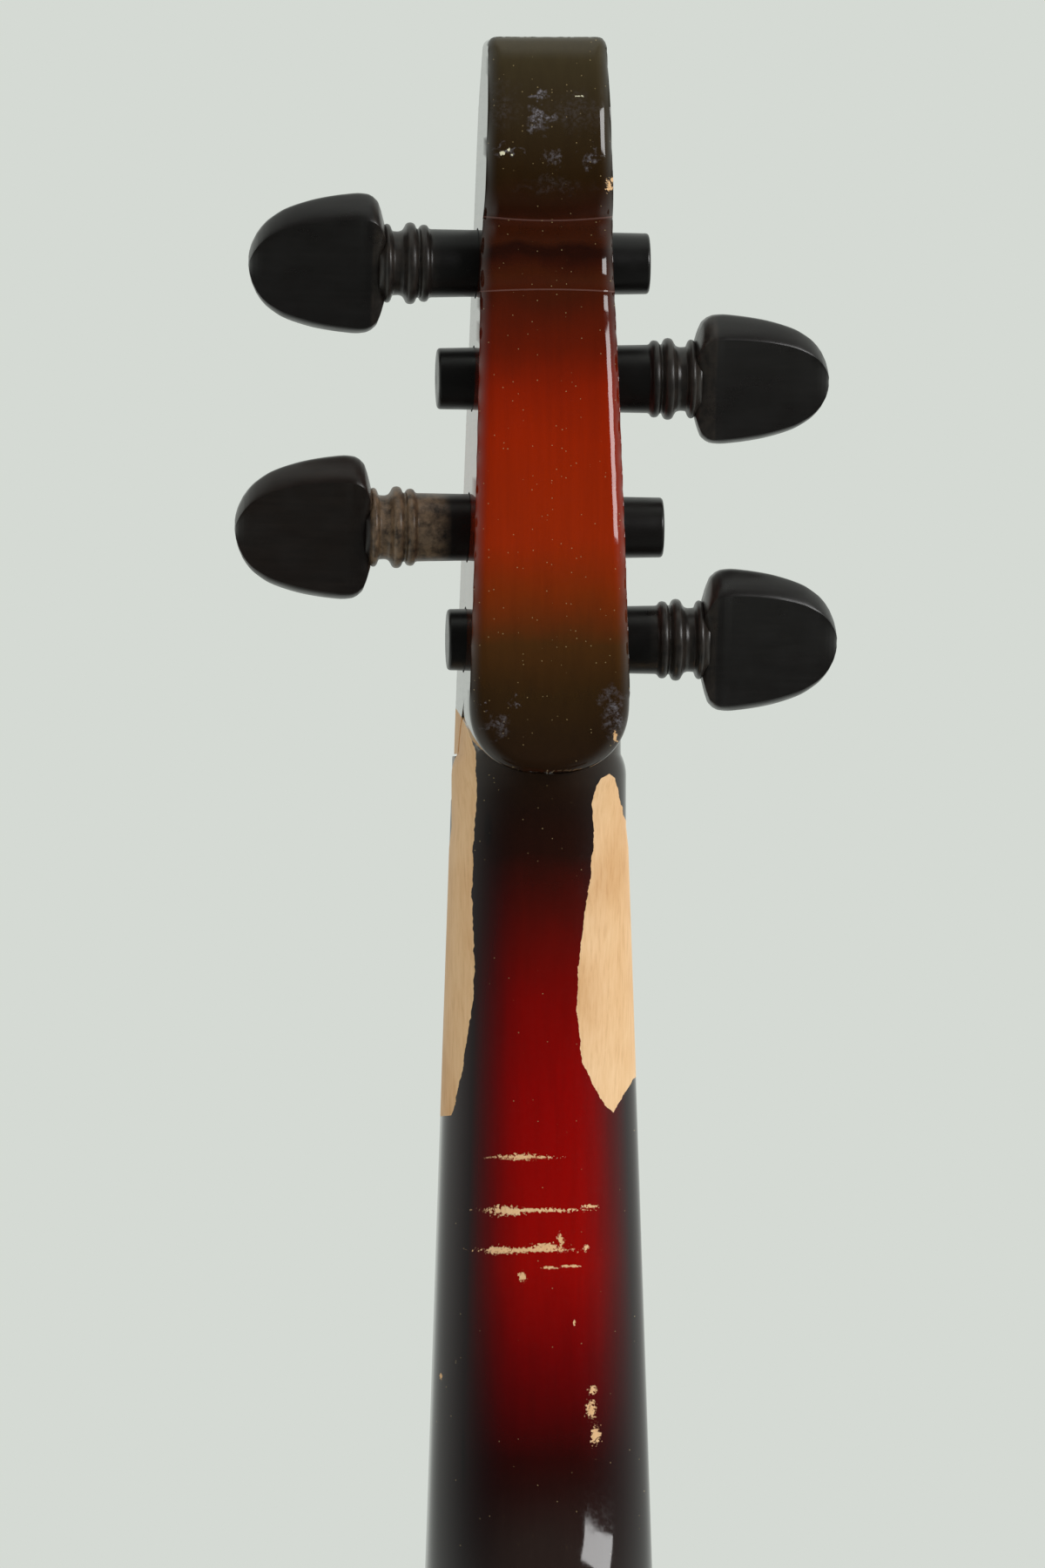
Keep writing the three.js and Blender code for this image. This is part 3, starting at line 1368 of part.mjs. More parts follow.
function gutPoints() {
  const loopRadius = endButton.neckRadius + seatGap + gut.radius;
  const loopZ = bodyBottom - endButton.collarLength - endButton.neckLength / 2;
  const overSaddle = saddleTopY - seatGap - gut.radius;
  const outside = bodyBottom - seatGap - gut.radius;
  const holeY = 0;
  const strand = [
    vector(gut.spread, holeY, -tailpiece.length + tailpiece.gutInset - seatGap).applyMatrix4(fromTail),
    vector(gut.spread, holeY, -tailpiece.length - seatGap).applyMatrix4(fromTail),
    vector(gut.spread, overSaddle, bodyBottom + saddle.depth * 0.8),
    vector(gut.spread, overSaddle, bodyBottom + saddle.depth * 0.3),
    vector(gut.spread, overSaddle + gut.radius, outside + gut.radius),
    vector(gut.spread, overSaddle + saddle.seat, outside - seatGap),
    vector(gut.spread, along(overSaddle, buttonY, 0.6), along(outside, loopZ, 0.55)),
    vector(loopRadius, buttonY - gut.radius, loopZ),
  ];
  const loop = [];
  const steps = 8;
  for (let i = 0; i <= steps; i += 1) {
    const angle = Math.PI * (i / steps);
    loop.push(vector(loopRadius * Math.cos(angle), buttonY + loopRadius * Math.sin(angle), loopZ));
  }
  const mirrored = strand.slice().reverse().map((point) => vector(-point.x, point.y, point.z));
  return [...strand, ...loop, ...mirrored];
}

// Chinrest: plate over the tailpiece, clamped on the rim on both sides of the end button
const barrelZ = bodyBottom - chinrest.rimGap - chinrest.barrelRadius;
const plateBack = -chinrest.platePlane + chinrest.plateThickness;
const footFront = seatGap * 2 + chinrest.corkThickness;
const studEnd = along(chinrest.barrelStart, chinrest.barrelStart + chinrest.barrelLength, 0.5) - seatGap;

function ellipseOutline(x, z, halfWidth, halfDepth, steps) {
  return Array.from({ length: steps }, (_, i) => {
    const angle = (2 * Math.PI * i) / steps;
    return [x + halfWidth * Math.cos(angle), z + halfDepth * Math.sin(angle)];
  });
}

function makeChinrest() {
  const c = chinrest;
  const cupX = -c.cupShift;
  const cupZ = bodyBottom + c.cupHalfDepth - c.cupOverhang;
  const front = -c.platePlane;
  const edge = c.plateThickness * 0.45;
  const cup = pad(ellipseOutline(cupX, cupZ, c.cupHalfWidth, c.cupHalfDepth, 32), front, plateBack, edge);
  const tongueZ = barrelZ - c.barrelRadius - c.tongueMargin;
  const tongueOutline = roundedRectangle(
    -c.tongueHalfWidth, c.tongueHalfWidth, tongueZ, tongueZ + c.tongueDepth, c.tongueRadius, 4,
  );
  const tongue = pad(tongueOutline, front, plateBack, edge);
  const dish = new THREE.SphereGeometry(1, 24, 12);
  dish.scale(c.cupHalfWidth * 0.86, c.cupSink, c.cupHalfDepth * 0.84);
  dish.translate(cupX, front - c.cupSink * 0.1, cupZ);
  const footLow = bodyBottom + c.edgeMargin;
  const footHigh = footLow + c.footLength;
  const feet = [-1, 1].map((side) => box(
    side * c.barrelSpread - c.footHalf, side * c.barrelSpread + c.footHalf,
    plateBack - edge, -(corkFront() + seatGap), footLow, footHigh,
  ));
  addMesh(group, 'chinrest_plate', combine(cup, [tongue, ...feet], [dish]), finishes.ebony);

  for (const [tag, side] of [['low', -1], ['high', 1]]) {
    const x = side * c.barrelSpread;
    const corkBack = -corkFront() + c.corkThickness;
    const cork = box(x - c.footHalf, x + c.footHalf, -corkFront(), corkBack, footLow, footHigh);
    addMesh(group, `chinrest_cork_${tag}`, cork, finishes.cork);
    const stud = cylinderY(x, barrelZ, c.studRadius, plateBack + seatGap, studEnd, 12);
    addMesh(group, `chinrest_stud_${tag}`, stud, finishes.steel);
    const bore = c.studRadius + seatGap;
    const lip = c.barrelRadius * 0.15;
    const barrel = turned([
      [bore, 0], [c.barrelRadius - lip, 0], [c.barrelRadius, lip],
      [c.barrelRadius, c.barrelLength - lip], [c.barrelRadius - lip, c.barrelLength],
      [bore, c.barrelLength], [bore, 0],
    ], 16);
    barrel.translate(x, c.barrelStart, barrelZ);
    addMesh(group, `chinrest_barrel_${tag}`, barrel, finishes.steel);
  }

  const footBack = footFront + c.footThickness;
  const foot = pad(
    roundedRectangle(
      -c.footHalfWidth - c.footHalf, c.footHalfWidth + c.footHalf,
      barrelZ - c.barrelRadius, footHigh, c.barrelRadius, 3,
    ),
    footFront, footBack, c.footThickness * 0.3,
  );
  const pins = [-1, 1].map((side) => cylinderY(
    side * c.barrelSpread, barrelZ, c.studRadius, studEnd + 2 * seatGap, footFront + c.footThickness / 2, 12,
  ));
  addMesh(group, 'chinrest_bracket', combine(foot, pins), finishes.steel);
  const corkEnd = seatGap + c.corkThickness;
  const backCork = box(-c.footHalfWidth, c.footHalfWidth, seatGap, corkEnd, footLow, footHigh - seatGap);
  addMesh(group, 'chinrest_bracket_cork', backCork, finishes.cork);
}

function corkFront() {
  const inside = bodyBottom + chinrest.edgeMargin + chinrest.footLength;
  const inner = frontDepth(chinrest.barrelSpread - chinrest.footHalf, inside);
  return inner + seatGap + chinrest.corkThickness;
}

// Volume and tone controls
function makeControls() {
  const bushEnd = potFront - pot.bushLength;
  const shaftFront = landing - knob.lift - knob.height + knob.wall + seatGap;
  for (const { name, x, z } of potSpots) {
    const profile = [
      [0, potBack], [pot.radius, potBack], [pot.radius, potFront], [pot.bushRadius, potFront],
      [pot.bushRadius, bushEnd], [pot.boreRadius, bushEnd], [pot.boreRadius, potBack - pot.depth / 4],
      [0, potBack - pot.depth / 4],
    ];
    const casing = turned(profile, 16);
    const lugs = [-1, 0, 1].map((step) => box(
      -pot.radius - pot.lugLength, -pot.radius * 0.8,
      potFront + pot.depth / 4, potFront + pot.depth / 4 + pot.lugThickness,
      step * pot.lugPitch - pot.lugWidth / 2, step * pot.lugPitch + pot.lugWidth / 2,
    ));
    const potGroup = new THREE.Group();
    potGroup.position.set(x, 0, z);
    group.add(potGroup);
    addMesh(potGroup, `${name}_pot`, combine(casing, lugs), finishes.steel);
    const hex = new THREE.CylinderGeometry(pot.nutRadius, pot.nutRadius, pot.nutHeight, 6);
    hex.translate(0, landing - seatGap - pot.nutHeight / 2, 0);
    const nutEnd = landing - pot.nutHeight - cutOverrun;
    const hole = cylinderY(0, 0, pot.bushRadius + seatGap, nutEnd, landing + cutOverrun, 16);
    addMesh(potGroup, `${name}_nut`, combine(hex, [], [hole]), finishes.steel);
    const shaftRadius = pot.boreRadius - seatGap;
    const shaft = cylinderY(0, 0, shaftRadius, potBack - pot.depth / 4 - seatGap, shaftFront, 12);
    addMesh(potGroup, `${name}_shaft`, shaft, finishes.steel);
    addMesh(potGroup, `${name}_knob`, knobBody(shaftRadius + seatGap), finishes.blackPlastic);
  }
}

function knobBody(boreRadius) {
  const k = knob;
  const inner = k.radius - k.wall;
  const roof = k.height - k.wall;
  const profile = [
    [0, k.height], [k.topRadius - k.wall / 2, k.height], [k.topRadius, k.height - k.wall / 2],
    [k.radius * 0.9, k.skirtHeight], [k.radius, k.skirtHeight * 0.85],
    [k.radius, seatGap], [k.radius - seatGap, 0],
    [inner, 0], [inner, k.hollow], [boreRadius, k.hollow], [boreRadius, roof], [0, roof],
  ];
  const geometry = turned(profile, 24);
  geometry.rotateX(Math.PI);
  geometry.translate(0, landing - k.lift, 0);
  const grooves = [];
  for (let i = 0; i < k.flutes; i += 1) {
    const angle = (2 * Math.PI * i) / k.flutes;
    const radius = k.radius * 0.94;
    const groove = cylinderY(
      radius * Math.cos(angle), radius * Math.sin(angle), k.fluteRadius,
      landing - k.lift - k.skirtHeight - seatGap, landing - k.lift - k.height - cutOverrun, 6,
    );
    grooves.push(groove);
  }
  return combine(geometry, [], grooves);
}

function makeJack() {
  const j = jack;
  const tail = jackFace + j.proud - j.length;
  const profile = [
    [0, 0], [j.sleeveRadius, 0], [j.sleeveRadius, j.length], [j.boreRadius, j.length],
    [j.boreRadius, j.endWall], [0, j.endWall],
  ];
  const socket = turned(profile, 16);
  socket.rotateZ(-Math.PI / 2);
  socket.translate(tail, -j.depth, j.height);
  addMesh(group, 'jack_socket', socket, finishes.steel);
  const nutEnd = jackFace - j.nutThickness;
  const hex = cylinderX(-j.depth, j.height, j.nutRadius, nutEnd, jackFace, 6);
  const [holeStart, holeEnd] = [nutEnd - cutOverrun, jackFace + cutOverrun];
  const hole = cylinderX(-j.depth, j.height, j.sleeveRadius + seatGap, holeStart, holeEnd, 16);
  addMesh(group, 'jack_nut', combine(hex, [], [hole]), finishes.steel);
}

// Routes of the cavity's leads: points in millimetres, chosen by hand
const leadRoutes = {
  pickup_lead: [
    [18, -31.2, -21.6], [24, -27, -31], [31, -22, -41.6], [36.4, -17.9, -50],
    [40.8, -14.9, -57], [41, -16.4, -62.6], [41.6, -19.6, -66.4], [43.3, -20.1, -67],
  ],
  tone_lead: [
    [43.3, -20.1, -77], [41.6, -19.9, -77.3], [39.2, -17, -82], [38.6, -14, -90],
    [39.2, -17, -98], [41.6, -19.9, -102.7], [43.3, -20.1, -103],
  ],
  jack_lead: [
    [43.3, -20.1, -72], [41.4, -19.6, -72], [39.8, -15.6, -72.6], [42, -10.6, -76], [50, -8, -84],
    [59, -8, -89], [65, -10.6, -90], [68.6, -14.2, -90], [70.6, -15, -90], [72.9, -15, -90],
  ],
};

function makeLeads() {
  for (const [name, route] of Object.entries(leadRoutes)) {
    const curve = new THREE.CatmullRomCurve3(route.map(([x, y, z]) => vector(x, y, z)));
    addMesh(group, name, sweep(curve.getPoints(route.length * 2), lead.radius, lead.sides), finishes.lead);
  }
  const tone = potSpots[1];
  const bodyZ = tone.z - pot.radius - capacitor.radius - capacitor.clearance;
  const y = potFront + pot.depth / 2;
  const half = capacitor.length / 2;
  const can = cylinderX(y, bodyZ, capacitor.radius, tone.x - half, tone.x + half, 16);
  const lugEnd = tone.x - pot.radius - pot.lugLength - seatGap - capacitor.wireRadius;
  const lugY = potFront + pot.depth / 4 + pot.lugThickness / 2;
  const wire = sweep([
    vector(tone.x - half + capacitor.wireBite, y, bodyZ), vector(tone.x - half - capacitor.radius, y, bodyZ),
    vector(lugEnd, along(y, lugY, 0.5), bodyZ + capacitor.radius),
    vector(lugEnd, lugY, tone.z - pot.lugPitch),
  ], capacitor.wireRadius, 6);
  const ground = sweep([
    vector(tone.x + half - capacitor.wireBite, y, bodyZ),
    vector(tone.x + half + capacitor.wireRadius * 2, y, bodyZ),
    vector(tone.x + half + capacitor.wireRadius * 2, potBack + seatGap, bodyZ + capacitor.radius),
    vector(tone.x + half / 2, potBack + seatGap + capacitor.wireRadius, tone.z - pot.radius / 2),
  ], capacitor.wireRadius, 6);
  addMesh(group, 'tone_capacitor', combine(can, [wire, ground]), finishes.cap);
}

function makeCover() {
  const holes = screwPlaces.map(([x, z]) => turned(screwProfile(seatGap), 10).translate(x, 0, z));
  const plate = slab(coverOutline, -cavity.coverThickness, 0);
  addMesh(group, 'cavity_cover', combine(plate, [], holes), finishes.blackPlastic);
  screwPlaces.forEach(([x, z], i) => {
    addMesh(group, `cover_screw_${i + 1}`, turned(screwProfile(0), 10).translate(x, 0, z), finishes.steel);
  });
}

makeBody();
makeNeck();
makeBoard();
makeNut();
makePegs();
makeBridge();
makePickup();
makeTailpiece();
makeTailHardware();
makeTuner();
makeStrings();
makeChinrest();
makeControls();
makeJack();
makeLeads();
makeCover();

export default group;
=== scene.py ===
import math

import bmesh
import bpy
import numpy
from mathutils import Matrix, Vector, geometry


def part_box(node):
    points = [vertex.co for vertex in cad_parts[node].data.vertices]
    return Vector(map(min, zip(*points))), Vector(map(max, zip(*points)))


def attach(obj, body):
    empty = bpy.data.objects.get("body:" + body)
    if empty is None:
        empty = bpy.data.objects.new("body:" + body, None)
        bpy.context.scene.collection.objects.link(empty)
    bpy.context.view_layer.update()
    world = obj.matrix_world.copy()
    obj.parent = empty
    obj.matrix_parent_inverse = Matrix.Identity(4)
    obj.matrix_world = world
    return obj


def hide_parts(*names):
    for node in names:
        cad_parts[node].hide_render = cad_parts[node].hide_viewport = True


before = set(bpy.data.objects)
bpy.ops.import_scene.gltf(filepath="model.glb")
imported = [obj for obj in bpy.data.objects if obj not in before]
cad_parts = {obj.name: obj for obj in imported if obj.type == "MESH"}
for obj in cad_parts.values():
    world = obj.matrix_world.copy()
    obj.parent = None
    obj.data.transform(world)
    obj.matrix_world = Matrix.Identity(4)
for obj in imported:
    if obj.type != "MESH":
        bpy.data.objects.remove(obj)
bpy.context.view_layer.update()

# Lengths in this script are in millimetres. A mesh is scaled to metres when it is finished.
mm = 0.001
scene = bpy.context.scene

# Frame of the neck: origin under the nut, on the plane where the fingerboard is glued
neckFrame = {"y": -22.0202, "z": 307.2485, "tilt": -6.1739}
neckPlace = Matrix.Translation((0, neckFrame["y"], neckFrame["z"])) @ Matrix.Rotation(
    math.radians(neckFrame["tilt"]), 4, "X"
)

# Camera: behind the head, square to the neck, a little to the side of the top string
camera = {"yaw": 4.4, "distance": 3000, "lens": 498, "aimX": 2.15, "aimZ": -1.1}


def placeCamera():
    data = bpy.data.cameras.new("camera")
    data.lens = camera["lens"]
    data.sensor_fit = "VERTICAL"
    data.sensor_height = 36
    data.clip_start = 0.05
    data.clip_end = 50
    holder = bpy.data.objects.new("camera", data)
    scene.collection.objects.link(holder)
    yaw = math.radians(camera["yaw"])
    towards = neckPlace.to_3x3() @ Vector((math.sin(yaw), math.cos(yaw), 0))
    up = neckPlace.to_3x3() @ Vector((0, 0, 1))
    side = up.cross(towards)
    aim = neckPlace @ Vector((camera["aimX"], 0, camera["aimZ"]))
    spot = (aim + towards * camera["distance"]) * mm
    turn = Matrix((side, up, towards)).transposed()
    holder.matrix_world = Matrix.Translation(spot) @ turn.to_4x4()
    scene.camera = holder


placeCamera()
print("camera placed")


# Colours are written as sRGB hex and turned to linear here
def toLinear(code):
    channels = [int(code[i:i + 2], 16) / 255 for i in (1, 3, 5)]
    linear = [c / 12.92 if c <= 0.04045 else ((c + 0.055) / 1.055) ** 2.4 for c in channels]
    return (*linear, 1.0)


# Adds one node with its sockets and settings. A node given for a socket stands for its first live output.
def addNode(tree, kind, sockets=None, stops=None, curve=None, **settings):
    node = tree.nodes.new("ShaderNode" + kind)
    for name, value in settings.items():
        setattr(node, name, value)
    for name, value in (sockets or {}).items():
        if isinstance(value, bpy.types.Node):
            value = next(output for output in value.outputs if output.enabled)
        if isinstance(value, bpy.types.NodeSocket):
            tree.links.new(value, node.inputs[name])
        else:
            node.inputs[name].default_value = toLinear(value) if isinstance(value, str) else value
    if stops:
        # the colours or levels of a ramp
        elements = node.color_ramp.elements
        while len(elements) < len(stops):
            elements.new(0.5)
        for element, (position, tone) in zip(elements, stops):
            element.position = position
            element.color = toLinear(tone) if isinstance(tone, str) else (tone, tone, tone, 1)
    if curve:
        # the points of a curve
        points = node.mapping.curves[0].points
        while len(points) < len(curve):
            points.new(0.5, 0.5)
        for point, spot in zip(points, curve):
            point.location = spot
            point.handle_type = "VECTOR"
        node.mapping.update()
    return node


def startMaterial(name):
    material = bpy.data.materials.new(name)
    material.use_nodes = True
    material.node_tree.nodes.clear()
    return material, material.node_tree


def along(start, end, share):
    return start + (end - start) * share


def arcPoints(x, y, radius, start, end, steps, high=None):
    # points round a centre from one angle to another, in degrees; high makes the arc an oval
    high = radius if high is None else high
    turns = [math.radians(along(start, end, i / steps)) for i in range(steps + 1)]
    return [(x + radius * math.cos(turn), y + high * math.sin(turn)) for turn in turns]


def bothSides(side, z):
    # a closed section from its right half
    return [(x, y, z) for x, y in side] + [(-x, y, z) for x, y in reversed(side)]


def fullOutline(half):
    # a closed outline from its right half, whose two ends are on the middle line
    return half + [(-x, y) for x, y in reversed(half[1:-1])]


def threadRows(turn, start, pitch, count):
    # one turn of a thread, pairs of radius and height, repeated along the axis
    return [(radius, start + i * pitch + height) for i in range(count) for radius, height in turn]


def evenLine(points, sharp=(), steps=6):
    # an even curve through the points; a sharp one stays a corner
    spots = [Vector(p) for p in points]
    last = len(spots) - 1
    line = [spots[0]]
    for i in range(last):
        a, b = spots[i], spots[i + 1]
        before = b - spots[i - 1] if i and i not in sharp else b - a
        after = spots[i + 2] - a if i + 1 < last and i + 1 not in sharp else b - a
        reach = (b - a).length / 3
        handles = a + before.normalized() * reach, b - after.normalized() * reach
        line += geometry.interpolate_bezier(a, *handles, b, steps + 1)[1:]
    return line


# Meshes
def loft(bm, sections):
    count = len(sections[0])
    ring = bmesh.ops.create_circle(bm, segments=count, radius=1)["verts"]
    for vert, point in zip(ring, sections[0]):
        vert.co = point
    firstEdges = [bm.edges.get((ring[i], ring[(i + 1) % count])) for i in range(count)]
    edges = firstEdges
    for section in sections[1:]:
        grown = bmesh.ops.extrude_edge_only(bm, edges=edges)["geom"]
        fresh = {g for g in grown if isinstance(g, bmesh.types.BMVert)}
        ring = [next(e.other_vert(v) for e in v.link_edges if e.other_vert(v) in fresh) for v in ring]
        for vert, point in zip(ring, section):
            vert.co = point
        edges = [bm.edges.get((ring[i], ring[(i + 1) % count])) for i in range(count)]
    bmesh.ops.contextual_create(bm, geom=firstEdges)
    bmesh.ops.contextual_create(bm, geom=edges)


def spunShape(bm, profile, steps=48):
    # profile: pairs of radius and height, from axis to axis, turned about Z
    verts = [bm.verts.new((r, 0, z)) for r, z in profile]
    edges = [bm.edges.new(pair) for pair in zip(verts, verts[1:])]
    bmesh.ops.spin(
        bm, geom=verts + edges, cent=(0, 0, 0), axis=(0, 0, 1), angle=2 * math.pi,
        steps=steps, use_merge=True,
    )
    bmesh.ops.remove_doubles(bm, verts=bm.verts[:], dist=0.001)


def finished(bm, name, place=None, sharpAngle=38):
    bmesh.ops.recalc_face_normals(bm, faces=bm.faces[:])
    if place is not None:
        bm.transform(place)
    bm.transform(Matrix.Scale(mm, 4))
    mesh = bpy.data.meshes.new(name)
    bm.to_mesh(mesh)
    bm.free()
    piece = bpy.data.objects.new(name, mesh)
    scene.collection.objects.link(piece)
    soften(piece, sharpAngle)
    return piece


def lofted(sections, name, place=None, sharpAngle=38):
    bm = bmesh.new()
    loft(bm, sections)
    return finished(bm, name, place, sharpAngle)


def soften(piece, sharpAngle):
    mesh = piece.data
    mesh.polygons.foreach_set("use_smooth", [True] * len(mesh.polygons))
    mesh.set_sharp_from_angle(angle=math.radians(sharpAngle))


def baked(piece):
    # the mesh with its modifiers applied
    graph = bpy.context.evaluated_depsgraph_get()
    mesh = bpy.data.meshes.new_from_object(piece.evaluated_get(graph))
    old = piece.data
    piece.modifiers.clear()
    piece.data = mesh
    bpy.data.meshes.remove(old)


def combined(piece, others, operation, sharpAngle=None):
    for other in others:
        modifier = piece.modifiers.new("cut", "BOOLEAN")
        modifier.operation = operation
        modifier.solver = "MANIFOLD"
        modifier.object = other
        baked(piece)
        bpy.data.objects.remove(other)
    if sharpAngle:
        soften(piece, sharpAngle)


def cleaned(piece, distance=0.01):
    bm = bmesh.new()
    bm.from_mesh(piece.data)
    bmesh.ops.remove_doubles(bm, verts=bm.verts[:], dist=distance * mm)
    bmesh.ops.dissolve_degenerate(bm, edges=bm.edges[:], dist=distance * mm)
    bm.to_mesh(piece.data)
    bm.free()


def dressed(piece, node, look, body="violin"):
    piece.data.materials.clear()
    piece.data.materials.append(materials[look])
    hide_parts(node)
    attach(piece, body)
    return piece


# A table of pairs read with an even curve through its values
def smoothly(table, at):
    if at <= table[0][0]:
        return table[0][1]
    if at >= table[-1][0]:
        return table[-1][1]
    i = max(k for k in range(len(table) - 1) if table[k][0] <= at)

    def slope(k):
        if k == 0 or k == len(table) - 1:
            return 0.0
        before = (table[k][1] - table[k - 1][1]) / (table[k][0] - table[k - 1][0])
        after = (table[k + 1][1] - table[k][1]) / (table[k + 1][0] - table[k][0])
        return 0.0 if before * after <= 0 else 2 * before * after / (before + after)

    width = table[i + 1][0] - table[i][0]
    t = (at - table[i][0]) / width
    h00, h10 = 2 * t**3 - 3 * t**2 + 1, t**3 - 2 * t**2 + t
    h01, h11 = -2 * t**3 + 3 * t**2, t**3 - t**2
    return h00 * table[i][1] + h10 * width * slope(i) + h01 * table[i + 1][1] + h11 * width * slope(i + 1)


# Shapes of the neck and head, in the neck's frame
bodyShape = {
    "halfLength": 178, "upper": 84, "waist": 56, "lower": 104, "rim": 30, "arch": 8, "archHalfWidth": 80,
    "archHalfLength": 168, "edgeRadius": 3, "smoothing": 60,
}
neckShape = {
    "length": 130, "nutDepth": 12.3, "lowDepth": 14, "heelHalfWidth": 11, "heelDepth": 36, "heelStart": 94,
    "sideRadius": 2, "boardHalfNut": 12, "boardHalfEnd": 21, "boardLength": 270, "gap": 0.3, "cheekLap": 0.1,
    "heelRows": 36, "middleRows": 30, "throatRows": 40,
}
headShape = {
    "length": 101.7, "low": 11.4, "top": 8.15, "backRadius": 2.2, "frontRadius": 0.8, "creaseReach": 6,
    "tongueTip": 0.25, "tongueRadius": 10.8, "fullness": 2.4, "turn": 15.25, "throatDepth": 16.4,
    "creaseHigh": 76.6, "creaseLow": 66.5, "bowHigh": 0.5, "bowLow": 0.4, "nutHalf": 2.75, "topCorner": 1.2,
    "tongueFront": 8,
}
# Height and depth along the head's back, in three parts, and along its front
tongueBack = [
    (0, 20.0), (3, 20.4), (8, 21.8), (16.3, 22.6), (28.5, 22.6), (40.7, 21.8), (52.9, 20.6), (60, 19.5),
    (66.5, 18.2),
]
notchBack = [(66.5, 18.2), (68.4, 17.5), (71.5, 17.05), (74.4, 17.6), (76.6, 18.9)]
ballBack = [
    (76.6, 18.9), (78.2, 20.2), (80.6, 21.2), (84.5, 21.65), (89, 21.4), (94, 20.4), (98, 19.2),
    (101.8, 17.6),
]
headFront = [(3, -5.4), (30.5, -3.9), (61, -1.6), (81.4, 0.54), (91.6, 1.6), (98.7, 4.9), (101.8, 6.4)]
heelRise = [(0, 0), (0.3, 0.05), (0.52, 0.17), (0.68, 0.34), (0.82, 0.58), (0.92, 0.82), (1, 1)]
throatTable = [
    # height, depth, how square the section is
    (-7, 12.3, 0), (-2.5, 12.8, 0), (0.4, 13.5, 0.08), (3.1, 14.4, 0.3), (7, 15.4, 0.65), (12, 16.4, 1),
    (16, 16.4, 1),
]


def headHalf(z):
    shape = headShape
    straight = along(shape["low"], shape["top"], z / shape["length"])
    corner = shape["length"] - shape["topCorner"]
    if z > corner:
        rise = (z - corner) / shape["topCorner"]
        return straight - shape["topCorner"] * (1 - math.sqrt(max(0, 1 - rise**2)))
    return straight


def tongueHalf(z):
    shape = headShape
    centre = shape["tongueTip"] + shape["tongueRadius"]
    if z >= centre:
        return headHalf(z)
    drop = min(1, (centre - z) / shape["tongueRadius"])
    return headHalf(z) * (1 - drop ** shape["fullness"]) ** (1 / shape["fullness"])


def headBack(z):
    if z <= headShape["creaseLow"]:
        return smoothly(tongueBack, z)
    if z <= headShape["creaseHigh"]:
        return smoothly(notchBack, z)
    return smoothly(ballBack, z)


def creaseBow(x, z):
    shape = headShape
    middle = 1 - min(1, abs(x) / headHalf(z)) ** 2
    high = math.exp(-(((z - shape["creaseHigh"]) / shape["creaseReach"]) ** 2))
    low = math.exp(-(((z - shape["creaseLow"]) / shape["creaseReach"]) ** 2))
    return middle * (shape["bowLow"] * low - shape["bowHigh"] * high)


def backOutline():
    # the edge of the back of the head as seen square on, from the tongue's tip up one side and over the top
    shape = headShape
    centre = shape["tongueTip"] + shape["tongueRadius"]
    heights = [centre - shape["tongueRadius"] * math.cos(math.radians(a)) for a in range(0, 90, 2)]
    heights += [along(centre, shape["length"] - shape["topCorner"], i / 120) for i in range(120)]
    corner = shape["length"] - shape["topCorner"]
    heights += [corner + shape["topCorner"] * math.sin(math.radians(a)) for a in range(0, 91, 6)]
    sides = [(tongueHalf(z), z) for z in heights]
    return sides + [(sides[-1][0] * i / 40, shape["length"]) for i in range(40)]


def headRows():
    # heights of the head's sections, close together at the tip, the turn, the creases and the top
    shape = headShape
    low, high, near = shape["creaseLow"], shape["creaseHigh"], 0.12
    centre = shape["tongueTip"] + shape["tongueRadius"]
    rows = [centre - shape["tongueRadius"] * math.cos(math.radians(a)) for a in range(4, 90, 4)]
    rows += [11.4, 12, 13, 14.2, shape["turn"], shape["turn"] + 0.1]
    for start, end in ((16, low - near), (low + near, high - near)):
        count = round((end - start) / 0.9)
        rows += [along(start, end, i / count) for i in range(count + 1)]
    rows += [high + near + i * 0.8 for i in range(28)]
    rows += [low, high]
    rows += [99.2, 99.7, 100.2, 100.6, 101, 101.3, 101.5, 101.65, 101.75, shape["length"]]
    return sorted(z for z in rows if z <= shape["length"])


def headSolid():
    shape = headShape
    edge = numpy.array(backOutline())
    across = [math.sin(math.radians(a)) for a in range(-90, 91, 4)]
    radius = shape["backRadius"]
    sections = []
    for z in headRows():
        half = tongueHalf(z)
        front = shape["tongueFront"] if z <= shape["turn"] else smoothly(headFront, z)
        depth = headBack(z)
        back = []
        for share in across:
            x = half * share
            inside = min(math.sqrt(((edge - (abs(x), z)) ** 2).sum(axis=1).min()), radius)
            drop = radius - math.sqrt(max(0, radius**2 - (radius - inside) ** 2))
            back.append((x, depth - drop, z + creaseBow(x, z)))
        small = shape["frontRadius"] if z > shape["turn"] else 0.01
        side = [(half, along(depth - radius, front + small, share)) for share in (0.35, 0.7, 0.97, 1)]
        side += arcPoints(half - small, front + small, small, -30, -90, 2)
        sections.append(back + bothSides(side, z))
    return lofted(sections, "neck", neckPlace)


def cheekSolid():
    # the cheeks beside the tongue, sloped back into the throat
    shape = headShape
    small = shape["frontRadius"]
    sections = []
    for share, backShare in ((0, 0.12), (0.3, 0.3), (0.7, 0.82), (1, 0.86)):
        z = along(shape["nutHalf"] + neckShape["gap"], shape["turn"] + 0.4, share)
        half, back, front = headHalf(z), shape["throatDepth"] * backShare, smoothly(headFront, z)
        side = [(half, back), (half, front + small * 1.5), (half, front + small),
                (half - small * 0.3, front + small * 0.3), (half - small, front)]
        sections.append(bothSides(side, z))
    return lofted(sections, "cheeks", neckPlace)


def boardHalf(down):
    shape = neckShape
    return along(shape["boardHalfNut"], shape["boardHalfEnd"], max(down, 0) / shape["boardLength"])


